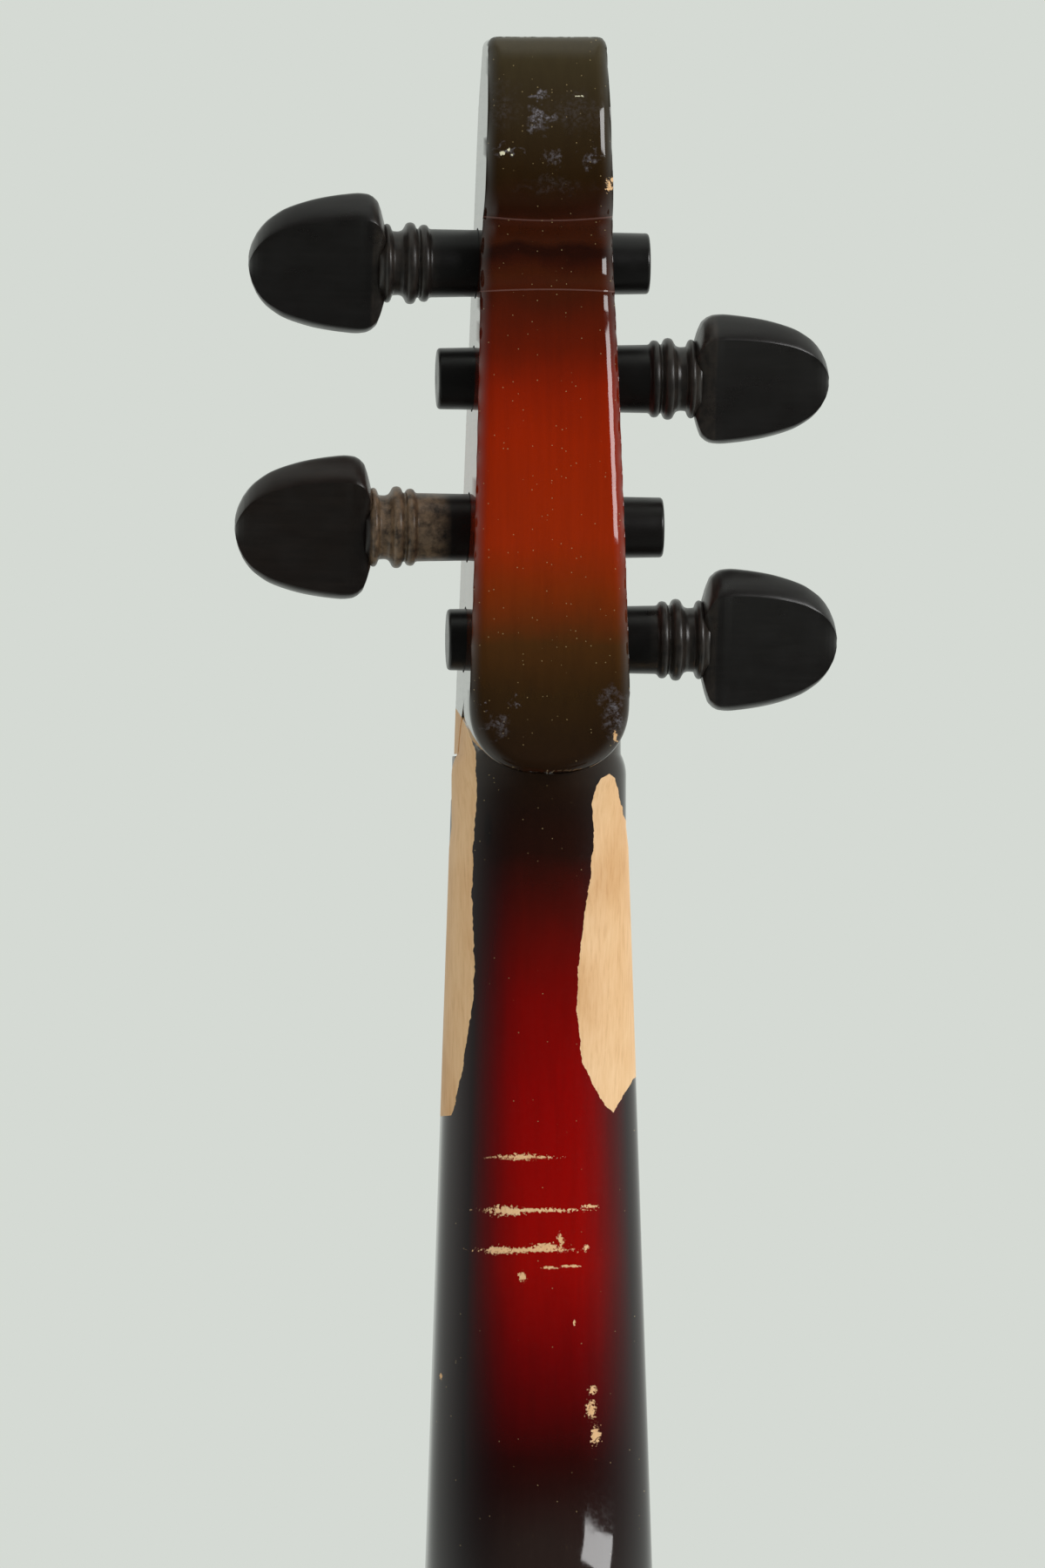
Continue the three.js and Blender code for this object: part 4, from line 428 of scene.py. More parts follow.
def neckSection(z, half, backHalf, depth, square, steps=44):
    low = neckShape["sideRadius"]
    points = [(half, 0, z)]
    for i in range(steps + 1):
        angle = math.pi * i / steps
        fullness = math.sin(angle) ** along(0.86, 0.4, square) if 0 < i < steps else 0
        side = math.copysign(abs(math.cos(angle)) ** along(1, 0.4, square), math.cos(angle))
        points.append((along(half, backHalf, fullness) * side, low + (depth - low) * fullness, z))
    return points + [(-half, 0, z)]


def neckSolid():
    # sections from the heel up to the throat under the tongue
    shape = neckShape
    heelEnd, throatStart = -shape["length"] - 2, throatTable[0][0]
    sections = [neckSection(heelEnd, boardHalf(-heelEnd), shape["heelHalfWidth"], shape["heelDepth"], 0)]
    for i in range(shape["heelRows"], -1, -1):
        share = i / shape["heelRows"]
        z = -along(shape["heelStart"], shape["length"], share)
        rise = smoothly(heelRise, share)
        half = boardHalf(-z)
        backHalf = along(half, shape["heelHalfWidth"] * 1.25, rise)
        sections.append(neckSection(z, half, backHalf, along(shape["lowDepth"], shape["heelDepth"], rise), 0))
    for i in range(1, shape["middleRows"]):
        share = i / shape["middleRows"]
        z = along(-shape["heelStart"], throatStart, share)
        depth = along(shape["lowDepth"], shape["nutDepth"], share)
        sections.append(neckSection(z, boardHalf(-z), boardHalf(-z), depth, 0))
    cheekStart = headShape["nutHalf"] + shape["gap"]
    for i in range(shape["throatRows"] + 1):
        z = along(throatStart, headShape["turn"], i / shape["throatRows"])
        depth = smoothly([row[:2] for row in throatTable], z)
        square = smoothly([(row[0], row[2]) for row in throatTable], z)
        half = boardHalf(0) if z < cheekStart else headHalf(z) - shape["cheekLap"]
        if 0 < z < cheekStart:
            half = along(boardHalf(0), headHalf(z) - shape["cheekLap"], (z / cheekStart) ** 2)
        sections.append(neckSection(z, half, half, depth, square))
    return lofted(sections, "shaft", neckPlace)


def boxSolid(x0, x1, y0, y1, z0, z1, place=None):
    bm = bmesh.new()
    middle = Matrix.Translation(((x0 + x1) / 2, (y0 + y1) / 2, (z0 + z1) / 2))
    bmesh.ops.create_cube(bm, size=1, matrix=middle @ Matrix.Diagonal((x1 - x0, y1 - y0, z1 - z0, 1)))
    return finished(bm, "box", place)


def slabSolid(line, y0, y1):
    return lofted([[(x, y, z) for x, z in line] for y in (y0, y1)], "slab")


pegRows = {
    # side, height, reach, length
    "peg_g": (-1, 18.8, 40.7, 54.0), "peg_e": (1, 34.3, 42.5, 59.2),
    "peg_d": (-1, 54.8, 39.6, 54.3), "peg_a": (1, 70.7, 40.6, 55.4),
}
pegShape = {
    "thumbLength": 18.6, "halfThickness": 4.7, "turn": 22, "collar": 6.6, "shank": 4.7,
    "taper": 1 / 60, "axisDepth": 8, "gap": 0.3, "rows": 80, "tipStart": 0.55, "tipEdge": 0.45,
}


def shankRadius(fromThumb):
    shape = pegShape
    return shape["shank"] - shape["taper"] * max(fromThumb - shape["thumbLength"] - shape["collar"], 0)


# Turns a shape made about Z so that its Z runs from a peg's thumb end inwards
def pegPlace(side, height, reach):
    turn = Matrix.Rotation(math.radians(90 * -side), 4, "Y")
    return neckPlace @ Matrix.Translation((side * reach, pegShape["axisDepth"], height)) @ turn


def boreSolid(side, height, reach, length):
    bm = bmesh.new()
    into, out = reach - headHalf(height) - 2, length + 2
    gap = pegShape["gap"]
    spunShape(bm, [(0, into), (shankRadius(into) + gap, into), (shankRadius(out) + gap, out), (0, out)], 48)
    return finished(bm, "bore", pegPlace(side, height, reach))


slotShape = {
    "top": 83, "halfLow": 8.1, "halfTop": 5.3, "wall": 4.6, "leastDepth": 12.9, "front": -8, "corner": 2,
    "endShare": 0.05, "rows": 40,
}


def slotSolid():
    # the pegbox's channel, its floor following the back, with rounded ends and floor edges
    shape, slot = headShape, slotShape
    sections = []
    for i in range(slot["rows"] + 1):
        share = i / slot["rows"]
        z = along(shape["nutHalf"] + neckShape["gap"], slot["top"], share)
        half = along(slot["halfLow"], slot["halfTop"], share)
        fromEnd = min(1, min(share, 1 - share) / slot["endShare"])
        rounding = slot["wall"] * (1 - math.sqrt(max(0, 1 - (1 - fromEnd) ** 2)))
        floor = max(min(headBack(z) - slot["wall"], shape["throatDepth"]), slot["leastDepth"]) - rounding
        side = [(half, slot["front"])]
        side += arcPoints(half - slot["corner"], floor - slot["corner"], slot["corner"], 0, 90, 6)
        sections.append(bothSides(side, z))
    return lofted(sections, "slot", neckPlace)


# Outline of the body: curves as shares of the half widths and the half length, from the top middle
bodyCurves = [
    ("upper", (0.595, 1), (1, 0.787), (1, 0.601)), ("upper", (1, 0.506), (0.81, 0.416), (0.923, 0.329)),
    ("corner",), ("waist", (1.107, 0.298), (1, 0.202), (1, 0.079)),
    ("waist", (1, -0.056), (1.286, -0.185), (1.65, -0.2)), ("corner",),
    ("lower", (0.835, -0.315), (1, -0.427), (1, -0.584)), ("lower", (1, -0.843), (0.538, -1), (0, -1)),
]


def bodyOutline(steps=26):
    shape = bodyShape
    points = [(0, shape["halfLength"])]
    for width, *handles in bodyCurves:
        x0, z0 = points[-1]
        if width == "corner":
            points.append((x0 + shape["edgeRadius"] / 4, z0 - shape["edgeRadius"]))
            continue
        spots = [Vector((x0, 0, z0))]
        spots += [Vector((a * shape[width], 0, b * shape["halfLength"])) for a, b in handles]
        curve = geometry.interpolate_bezier(*spots, steps + 1)[1:]
        points += [(p.x, p.z) for p in curve]
    return fullOutline(points)


def insetOutline(outline, distance):
    # moved inwards along its own normals; a negative distance moves it out
    moved = []
    count = len(outline)
    for i, (x, z) in enumerate(outline):
        (xa, za), (xb, zb) = outline[i - 1], outline[(i + 1) % count]
        before = Vector((x - xa, z - za)).normalized()
        after = Vector((xb - x, zb - z)).normalized()
        normal = Vector((before.y + after.y, -before.x - after.x)).normalized()
        stretch = 1 / max(normal.dot(Vector((before.y, -before.x))), 0.7)
        moved.append((x + normal.x * distance * stretch, z + normal.y * distance * stretch))
    return moved


def archDepth(share):
    return bodyShape["rim"] + bodyShape["arch"] * (1 - share**2.2)


def towardsOval(x, z, share):
    reach = math.hypot(x / bodyShape["archHalfWidth"], z / bodyShape["archHalfLength"])
    oval = along(1, 1 / reach, (1 - share**2) ** 2)
    return x * share * oval, z * share * oval


def edgeDistances(piece, outline):
    # how far each point lies inside the outline, in millimetres
    mesh = piece.data
    flat = numpy.empty(len(mesh.vertices) * 3, dtype=numpy.float32)
    mesh.vertices.foreach_get("co", flat)
    spots = flat.reshape(-1, 3)[:, (0, 2)] / mm
    starts = numpy.array(outline)
    runs = numpy.roll(starts, -1, axis=0) - starts
    lengths = (runs**2).sum(axis=1)
    best = numpy.full(len(spots), 1e9)
    for start, run, length in zip(starts, runs, lengths):
        share = numpy.clip(((spots - start) @ run) / length, 0, 1)
        gap = numpy.hypot(*(spots - start - share[:, None] * run).T)
        best = numpy.minimum(best, gap)
    attribute = mesh.attributes.new("edgeDistance", "FLOAT", "POINT")
    attribute.data.foreach_set("value", best.astype(numpy.float32))


outline = bodyOutline()


# Materials
def bareMaple(tree, where, seed):
    # maple scraped and never sealed, handled for years: pores 0.4 mm wide and 4 mm long, cloudy patches
    # 8 mm wide where the skin's grease went in, and no shine
    pores = addNode(tree, "Mapping", {"Vector": where, "Scale": (2400, 2400, 230), "Location": (seed, 0, 0)})
    pores = addNode(tree, "TexNoise", {"Vector": pores, "Scale": 1.0, "Detail": 5, "Roughness": 0.65})
    clouds = addNode(tree, "Mapping", {"Vector": where, "Scale": (130, 130, 70), "Location": (seed, 2, 0)})
    clouds = addNode(tree, "TexNoise", {"Vector": clouds, "Scale": 1.0, "Detail": 3, "Roughness": 0.5})
    tones = [(0.3, "#b98a58"), (0.47, "#d2a877"), (0.7, "#dcb78c")]
    tone = addNode(tree, "ValToRGB", {"Fac": pores}, tones)
    tones = [(0.32, "#bf8e5a"), (0.5, "#d5ac7e"), (0.7, "#e0bd92")]
    cloudy = addNode(tree, "ValToRGB", {"Fac": clouds}, tones)
    return addNode(tree, "Mix", {0: 0.5, 6: tone, 7: cloudy}, data_type="RGBA")


# Places on the back of the neck and head, of wear and of painted highlights: across to the right as seen from
# behind, and up from the nut
neckWearAndHighlights = {
    "chips": [
        # across, up, half width, half height
        (-2.4, -52.5, 4.6, 0.3), (-2.2, -52.4, 2.2, 0.5), (-1.2, -59.8, 7.1, 0.3), (-4.4, -59.9, 2.6, 0.75),
        (7.1, -59.3, 1.3, 0.28), (-1.8, -65.3, 6.8, 0.34), (-5.2, -65.3, 2.2, 0.6), (1.2, -64.9, 2.4, 0.6),
        (3.1, -63.9, 0.55, 1.0), (6.6, -65.0, 0.4, 0.5), (1.6, -67.7, 1.2, 0.22), (4.4, -67.5, 1.3, 0.2),
        (-2.2, -68.9, 0.55, 0.7), (5.0, -75.3, 0.25, 0.4), (-13.4, -82.7, 0.2, 0.5), (7.5, -84.6, 0.6, 0.6),
        (7.3, -87.3, 0.75, 1.3), (7.9, -90.8, 0.65, 1.5), (9.8, 81.1, 0.5, 0.9), (10.2, 82.0, 0.35, 0.5),
        (10.6, 5.4, 0.4, 0.8),
    ],
    "scuffs": [
        # across, up, half width, half height, strength
        (0.2, 89.9, 2.5, 1.9, 0.9), (0.4, 93.2, 0.9, 0.8, 0.8), (7.3, 85.3, 1.3, 1.2, 0.6),
        (1.8, 84.9, 0.7, 1.6, 0.4), (-3.9, 85.7, 2.2, 0.6, 0.7), (10.3, 8.6, 1.9, 4.2, 0.55),
        (-5.6, 7.0, 2.6, 1.7, 0.4), (5, 91, 4.6, 3.2, 0.1), (-3.4, 10.3, 0.55, 0.55, 0.9),
        (-7.7, 9.4, 0.45, 0.45, 0.8), (-5, 92, 3, 4, 0.08), (2, 81, 6, 1.2, 0.08),
    ],
    "glints": [
        (-4.9, 85.5, 0.45, 0.4), (-4.0, 86.0, 0.3, 0.22), (-3.6, 85.3, 0.15, 0.15), (5.6, 93.4, 0.7, 0.12),
    ],
    "darkMarks": [(-10.3, -93.8, 0.35, 5.2), (-6.9, -7.3, 0.7, 3.0), (8.3, -2.5, 0.7, 2.6)],
    # borders of the two patches worn to bare wood: height, and place across
    "leftPatch": [
        (-47.5, -20), (-46.9, -11.9), (-43.9, -11.2), (-39.5, -10.3), (-35, -9.6), (-30.3, -8.9),
        (-25.5, -8.8), (-17.8, -9.1), (-11, -9.0), (-2.9, -8.5), (3.4, -8.5), (5.6, -9.3), (7.6, -10.3),
        (9.4, -11.3), (11, -12.6),
    ],
    "rightPatch": [
        (-46.4, 10.4), (-45.4, 9.2), (-43.6, 8.2), (-39.5, 6.1), (-32.7, 5.4), (-26.9, 5.5), (-20.6, 6.2),
        (-13.9, 7.2), (-8.2, 7.7), (-3.6, 7.5), (-1.4, 8.0), (-0.3, 8.7), (0.3, 9.8),
    ],
    "rightSide": [
        (-46.4, 10.4), (-44.6, 11.4), (-41.8, 13.2), (-38, 20), (-10, 20), (-7.2, 12.6), (-5.3, 11.8),
        (-1.9, 11.0), (-0.3, 10.5), (0.3, 9.8),
    ],
    # thin light lines along the two creases of the notch, painted highlights where the crests catch the
    # light: height, sag in the middle, half thickness
    "creases": [(76.9, -0.55, 0.11), (66.6, 0.3, 0.1)],
}


def spotMask(tree, where, spots):
    # 1 in the middle of a spot and 0 at its edge; where two meet they grow into one
    total = None
    for across, up, halfWidth, halfHeight, *strength in spots:
        offset = addNode(tree, "VectorMath", {0: where, 1: (across, up, 0)}, operation="SUBTRACT")
        reach = {0: offset, 1: (1 / halfWidth, 1 / halfHeight, 0)}
        scaled = addNode(tree, "VectorMath", reach, operation="MULTIPLY")
        distance = addNode(tree, "VectorMath", {0: scaled}, operation="LENGTH")
        inside = {0: 1.0, 1: distance}
        inside = addNode(tree, "Math", inside, operation="SUBTRACT", use_clamp=bool(strength))
        if strength:
            inside = addNode(tree, "Math", {0: inside, 1: strength[0]}, operation="MULTIPLY")
        if total is not None:
            inside = addNode(tree, "Math", {0: total, 1: inside}, operation="MAXIMUM")
        total = inside
    return total


def border(tree, up, table):
    # place across of a patch's border at each height
    low, high, reach = table[0][0], table[-1][0], 20
    share = addNode(tree, "MapRange", {"Value": up, "From Min": low, "From Max": high})
    spots = [((height - low) / (high - low), (across + reach) / (2 * reach)) for height, across in table]
    place = addNode(tree, "FloatCurve", {"Value": share}, curve=spots)
    return addNode(tree, "MapRange", {"Value": place, "To Min": -reach, "To Max": reach})


def heightRamp(tree, up, low, high, stops):
    share = addNode(tree, "MapRange", {"Value": up, "From Min": low, "From Max": high})
    stops = [((z - low) / (high - low), tone) for z, tone in stops]
    return addNode(tree, "ValToRGB", {"Fac": share}, stops)


def neckLacquer():
    # cellulose lacquer, sprayed as a sunburst over maple and polished, worn through to the wood in places:
    # a wet shine over the colour, with dull bare wood where hands have rubbed
    material, tree = startMaterial("sunburst lacquer on the neck")
    where = addNode(tree, "Attribute", attribute_name="backView").outputs["Vector"]
    parts = addNode(tree, "SeparateXYZ", {"Vector": where}).outputs
    across, up = parts["X"], parts["Y"]
    spot = addNode(tree, "TexCoord").outputs["Object"]

    drift = addNode(tree, "TexNoise", {"Vector": where, "Scale": 0.12, "Detail": 3, "Roughness": 0.55})
    drift = addNode(tree, "MapRange", {"Value": drift, "To Min": -2.0, "To Max": 2.0})
    height = addNode(tree, "Math", {0: up, 1: drift}, operation="ADD")
    # colour up the neck and head; the darkest stops at 71 to 72.6 mm are painted shade in the deep middle of
    # the notch's hollow
    middle = heightRamp(tree, height, -140, 105, [
        (-130, "#1d1513"), (-106, "#261c19"), (-98, "#220b09"), (-94, "#280504"), (-88, "#460203"),
        (-80, "#620203"), (-67, "#860502"), (-43, "#7c0302"), (-31, "#6c0402"), (-19, "#460905"),
        (-11, "#210c07"), (-4, "#1c0e08"), (3, "#25170b"), (11, "#2d1d0b"), (18, "#3e240c"), (25, "#6a2505"),
        (32, "#842204"), (46, "#841d02"), (53, "#761802"), (58.6, "#561303"), (65.5, "#3d1205"),
        (68.6, "#3a1606"), (70.4, "#310f05"), (71, "#220a04"), (72.6, "#220a04"), (73.2, "#371506"),
        (76.4, "#351407"), (77.6, "#291006"), (82, "#241606"), (93, "#2e2517"), (103, "#38311f"),
    ])
    edge = heightRamp(tree, height, -140, 105, [
        (-130, "#0c0808"), (-90, "#150709"), (-30, "#18070b"), (0, "#0d0807"), (14, "#1a1108"),
        (25, "#4a1a04"), (40, "#641402"), (58, "#450f03"), (68, "#260d05"), (80, "#160e05"), (103, "#1c180e"),
    ])
    # the burst is sprayed a little more from the left, and on the head it only darkens the rim
    onNeck = addNode(tree, "MapRange", {"Value": up, "From Min": 14.0, "From Max": -14.0})
    shift = addNode(tree, "Math", {0: onNeck, 1: -0.06}, operation="MULTIPLY")
    offCentre = addNode(tree, "Math", {0: parts["Z"], 1: shift}, operation="ADD")
    offCentre = addNode(tree, "Math", {0: offCentre}, operation="ABSOLUTE")
    levels = [(0.3, 0.0), (0.45, 0.22), (0.6, 0.62), (0.8, 1.0)]
    neckBurst = addNode(tree, "ValToRGB", {"Fac": offCentre}, levels)
    levels = [(0.87, 0.0), (0.96, 0.45), (1.0, 0.85)]
    headBurst = addNode(tree, "ValToRGB", {"Fac": offCentre}, levels)
    burst = addNode(tree, "Mix", {0: onNeck, 2: headBurst, 3: neckBurst}, data_type="FLOAT")
    lacquer = addNode(tree, "Mix", {0: burst, 6: middle, 7: edge}, data_type="RGBA")
    # grain under the colour: lines a millimetre apart and 25 mm long
    grain = addNode(tree, "Mapping", {"Vector": spot, "Scale": (900, 900, 40)})
    grain = addNode(tree, "TexNoise", {"Vector": grain, "Scale": 1.0, "Detail": 4, "Roughness": 0.6})
    grain = addNode(tree, "ValToRGB", {"Fac": grain}, [(0.4, 0.0), (0.8, 0.16)])
    lacquer = addNode(tree, "Mix", {0: grain, 6: lacquer, 7: "#0c0303"}, data_type="RGBA")
    dark = spotMask(tree, where, neckWearAndHighlights["darkMarks"])
    dark = addNode(tree, "ValToRGB", {"Fac": dark}, [(0.0, 0.0), (0.5, 0.7)])
    lacquer = addNode(tree, "Mix", {0: dark, 6: lacquer, 7: "#080304"}, data_type="RGBA")

    # a crease's painted highlight line follows the head's bow: height less a parabola across
    square = addNode(tree, "Math", {0: parts["Z"], 1: 2.0}, operation="POWER")
    for level, sag, thickness in neckWearAndHighlights["creases"]:
        bow = addNode(tree, "Math", {0: square, 1: -sag, 2: sag + level}, operation="MULTIPLY_ADD")
        near = addNode(tree, "Math", {0: up, 1: bow, 2: thickness}, operation="COMPARE")
        near = addNode(tree, "Math", {0: near, 1: 0.4}, operation="MULTIPLY")
        lacquer = addNode(tree, "Mix", {0: near, 6: lacquer, 7: "#70504a"}, data_type="RGBA")

    # dust in the lacquer: a few specks a tenth of a millimetre wide, many on the head and few on the neck
    dust = addNode(tree, "TexVoronoi", {"Vector": where, "Scale": 1.5}).outputs
    chosen = addNode(tree, "SeparateXYZ", {"Vector": dust["Color"]}).outputs["X"]
    least = addNode(tree, "MapRange", {"Value": onNeck, "To Min": 0.72, "To Max": 0.93})
    chosen = addNode(tree, "Math", {0: chosen, 1: least}, operation="GREATER_THAN")
    small = addNode(tree, "Math", {0: dust["Distance"], 1: 0.115}, operation="LESS_THAN")
    speck = addNode(tree, "Math", {0: chosen, 1: small}, operation="MULTIPLY")
    speck = addNode(tree, "Math", {0: speck, 1: 0.5}, operation="MULTIPLY")
    lacquer = addNode(tree, "Mix", {0: speck, 6: lacquer, 7: "#a8946a"}, data_type="RGBA")

    # scuffs: lacquer crushed to a grey bloom, thickest in the middle and broken up at the edge
    broken = addNode(tree, "TexNoise", {"Vector": where, "Scale": 1.9, "Detail": 7, "Roughness": 0.72})
    warp = addNode(tree, "TexNoise", {"Vector": where, "Scale": 0.5, "Detail": 4, "Roughness": 0.6})
    warp = {0: warp.outputs["Color"], 1: (0.5, 0.5, 0.5)}
    warp = addNode(tree, "VectorMath", warp, operation="SUBTRACT")
    warp = addNode(tree, "VectorMath", {0: warp, "Scale": 7.0}, operation="SCALE")
    warped = addNode(tree, "VectorMath", {0: where, 1: warp}, operation="ADD")
    scuffs = spotMask(tree, warped, neckWearAndHighlights["scuffs"])
    bloom = addNode(tree, "Math", {0: broken, 1: 0.5}, operation="GREATER_THAN")
    broken = addNode(tree, "MapRange", {"Value": broken, "From Min": 0.42, "From Max": 0.68, "To Max": 2.2})
    scuffed = addNode(tree, "Math", {0: broken, 1: scuffs}, operation="MULTIPLY", use_clamp=True)
    scuffed = addNode(tree, "Math", {0: scuffed, 1: 0.75}, operation="MULTIPLY")
    bloom = addNode(tree, "Mix", {0: bloom, 6: "#5d5a5f", 7: "#76737a"}, data_type="RGBA")
    lacquer = addNode(tree, "Mix", {0: scuffed, 6: lacquer, 7: bloom}, data_type="RGBA")

    # glints and chips, their edges ragged by 0.4 mm
    jag = addNode(tree, "TexNoise", {"Vector": where, "Scale": 2.6, "Detail": 5, "Roughness": 0.7})
    jag = addNode(tree, "MapRange", {"Value": jag, "To Min": -2.4, "To Max": 1.9})
    glint = addNode(tree, "Math", {0: spotMask(tree, where, neckWearAndHighlights["glints"]), 1: jag}, operation="ADD")
    glint = addNode(tree, "Math", {0: glint, 1: 0.0}, operation="GREATER_THAN")
    lacquer = addNode(tree, "Mix", {0: glint, 6: lacquer, 7: "#c9c4a8"}, data_type="RGBA")

    wood = bareMaple(tree, spot, 3.0)
    chipped = addNode(tree, "Math", {0: spotMask(tree, where, neckWearAndHighlights["chips"]), 1: jag}, operation="ADD")
    chipped = addNode(tree, "Math", {0: chipped, 1: 0.0}, operation="GREATER_THAN")
    ragged = addNode(tree, "TexNoise", {"Vector": where, "Scale": 0.7, "Detail": 4, "Roughness": 0.6})
    ragged = addNode(tree, "MapRange", {"Value": ragged, "To Min": -0.4, "To Max": 0.4})
    ragged = addNode(tree, "Math", {0: across, 1: ragged}, operation="ADD")
    leftBare = {0: ragged, 1: border(tree, up, neckWearAndHighlights["leftPatch"])}
    leftBare = addNode(tree, "Math", leftBare, operation="LESS_THAN")
    rightBare = {0: ragged, 1: border(tree, up, neckWearAndHighlights["rightPatch"])}
    rightBare = addNode(tree, "Math", rightBare, operation="GREATER_THAN")
    notPast = {0: ragged, 1: border(tree, up, neckWearAndHighlights["rightSide"])}
    notPast = addNode(tree, "Math", notPast, operation="LESS_THAN")
    rightBare = addNode(tree, "Math", {0: rightBare, 1: notPast}, operation="MULTIPLY")
    bare = addNode(tree, "Math", {0: leftBare, 1: rightBare}, operation="MAXIMUM")
    bare = addNode(tree, "Math", {0: bare, 1: chipped}, operation="MAXIMUM")

    polish = addNode(tree, "TexNoise", {"Vector": where, "Scale": 1.1, "Detail": 5, "Roughness": 0.7})
    polish = addNode(tree, "MapRange", {
        "Value": polish, "From Min": 0.4, "From Max": 0.72, "To Min": 0.045, "To Max": 0.12,
    })
    rough = addNode(tree, "Mix", {0: scuffed, 2: polish, 3: 0.5}, data_type="FLOAT")
    rough = addNode(tree, "Mix", {0: bare, 2: rough, 3: 0.6}, data_type="FLOAT")
    film = addNode(tree, "Math", {0: bare, 1: -0.22}, operation="MULTIPLY")
    waves = addNode(tree, "TexNoise", {"Vector": spot, "Scale": 55.0, "Detail": 2, "Roughness": 0.5})
    waves = addNode(tree, "Math", {0: waves, 1: 0.5, 2: film}, operation="MULTIPLY_ADD")
    normal = addNode(tree, "Bump", {"Height": waves, "Strength": 0.25, "Distance": 0.0004})
    colour = addNode(tree, "Mix", {0: bare, 6: lacquer, 7: wood}, data_type="RGBA")
    surface = {"Base Color": colour, "Roughness": rough, "Normal": normal, "IOR": 1.5}
    addNode(tree, "OutputMaterial", {"Surface": addNode(tree, "BsdfPrincipled", surface)})
    return material


def bodyLacquer():
    # the same lacquer on the body, red over the middle and sprayed black within 20 mm of the edge, polished
    # wet; the maple's figure shows through in bands 5 mm apart, and its pores in lines 2 to 3 mm apart
    material, tree = startMaterial("sunburst lacquer on the body")
    inside = addNode(tree, "Attribute", attribute_name="edgeDistance").outputs["Fac"]
    spot = addNode(tree, "TexCoord").outputs["Object"]
    drift = addNode(tree, "TexNoise", {"Vector": spot, "Scale": 14.0, "Detail": 3, "Roughness": 0.5})
    drift = addNode(tree, "MapRange", {"Value": drift, "To Min": -4.5, "To Max": 4.5})
    inside = addNode(tree, "Math", {0: inside, 1: drift}, operation="ADD")
    inside = addNode(tree, "MapRange", {"Value": inside, "From Max": 80.0})
    lacquer = addNode(tree, "ValToRGB", {"Fac": inside}, [
        (0.0, "#080405"), (0.13, "#0d0505"), (0.27, "#300507"), (0.46, "#6e0a08"), (0.75, "#8a1606"),
        (1.0, "#93200a"),
    ])
    grain = addNode(tree, "Mapping", {"Vector": spot, "Scale": (420, 300, 14)})
    grain = addNode(tree, "TexNoise", {"Vector": grain, "Scale": 1.0, "Detail": 5, "Roughness": 0.6})
    grain = addNode(tree, "ValToRGB", {"Fac": grain}, [(0.35, 0.0), (0.75, 0.3)])
    lacquer = addNode(tree, "Mix", {0: grain, 6: lacquer, 7: "#120303"}, data_type="RGBA")
    figure = addNode(tree, "Mapping", {"Vector": spot, "Scale": (16, 16, 210)})
    figure = addNode(tree, "TexNoise", {"Vector": figure, "Scale": 1.0, "Detail": 3, "Roughness": 0.55})
    figure = addNode(tree, "ValToRGB", {"Fac": figure}, [(0.45, 0.0), (0.8, 0.3)])
    lacquer = addNode(tree, "Mix", {0: figure, 6: lacquer, 7: "#1c0404"}, data_type="RGBA")
    polish = addNode(tree, "TexNoise", {"Vector": spot, "Scale": 220.0, "Detail": 5, "Roughness": 0.7})
    polish = addNode(tree, "MapRange", {
        "Value": polish, "From Min": 0.4, "From Max": 0.72, "To Min": 0.05, "To Max": 0.12,
    })
    waves = addNode(tree, "TexNoise", {"Vector": spot, "Scale": 45.0, "Detail": 2, "Roughness": 0.5})
    normal = addNode(tree, "Bump", {"Height": waves, "Strength": 0.2, "Distance": 0.0003})
    surface = {"Base Color": lacquer, "Roughness": polish, "Normal": normal, "IOR": 1.5}
    addNode(tree, "OutputMaterial", {"Surface": addNode(tree, "BsdfPrincipled", surface)})
    return material


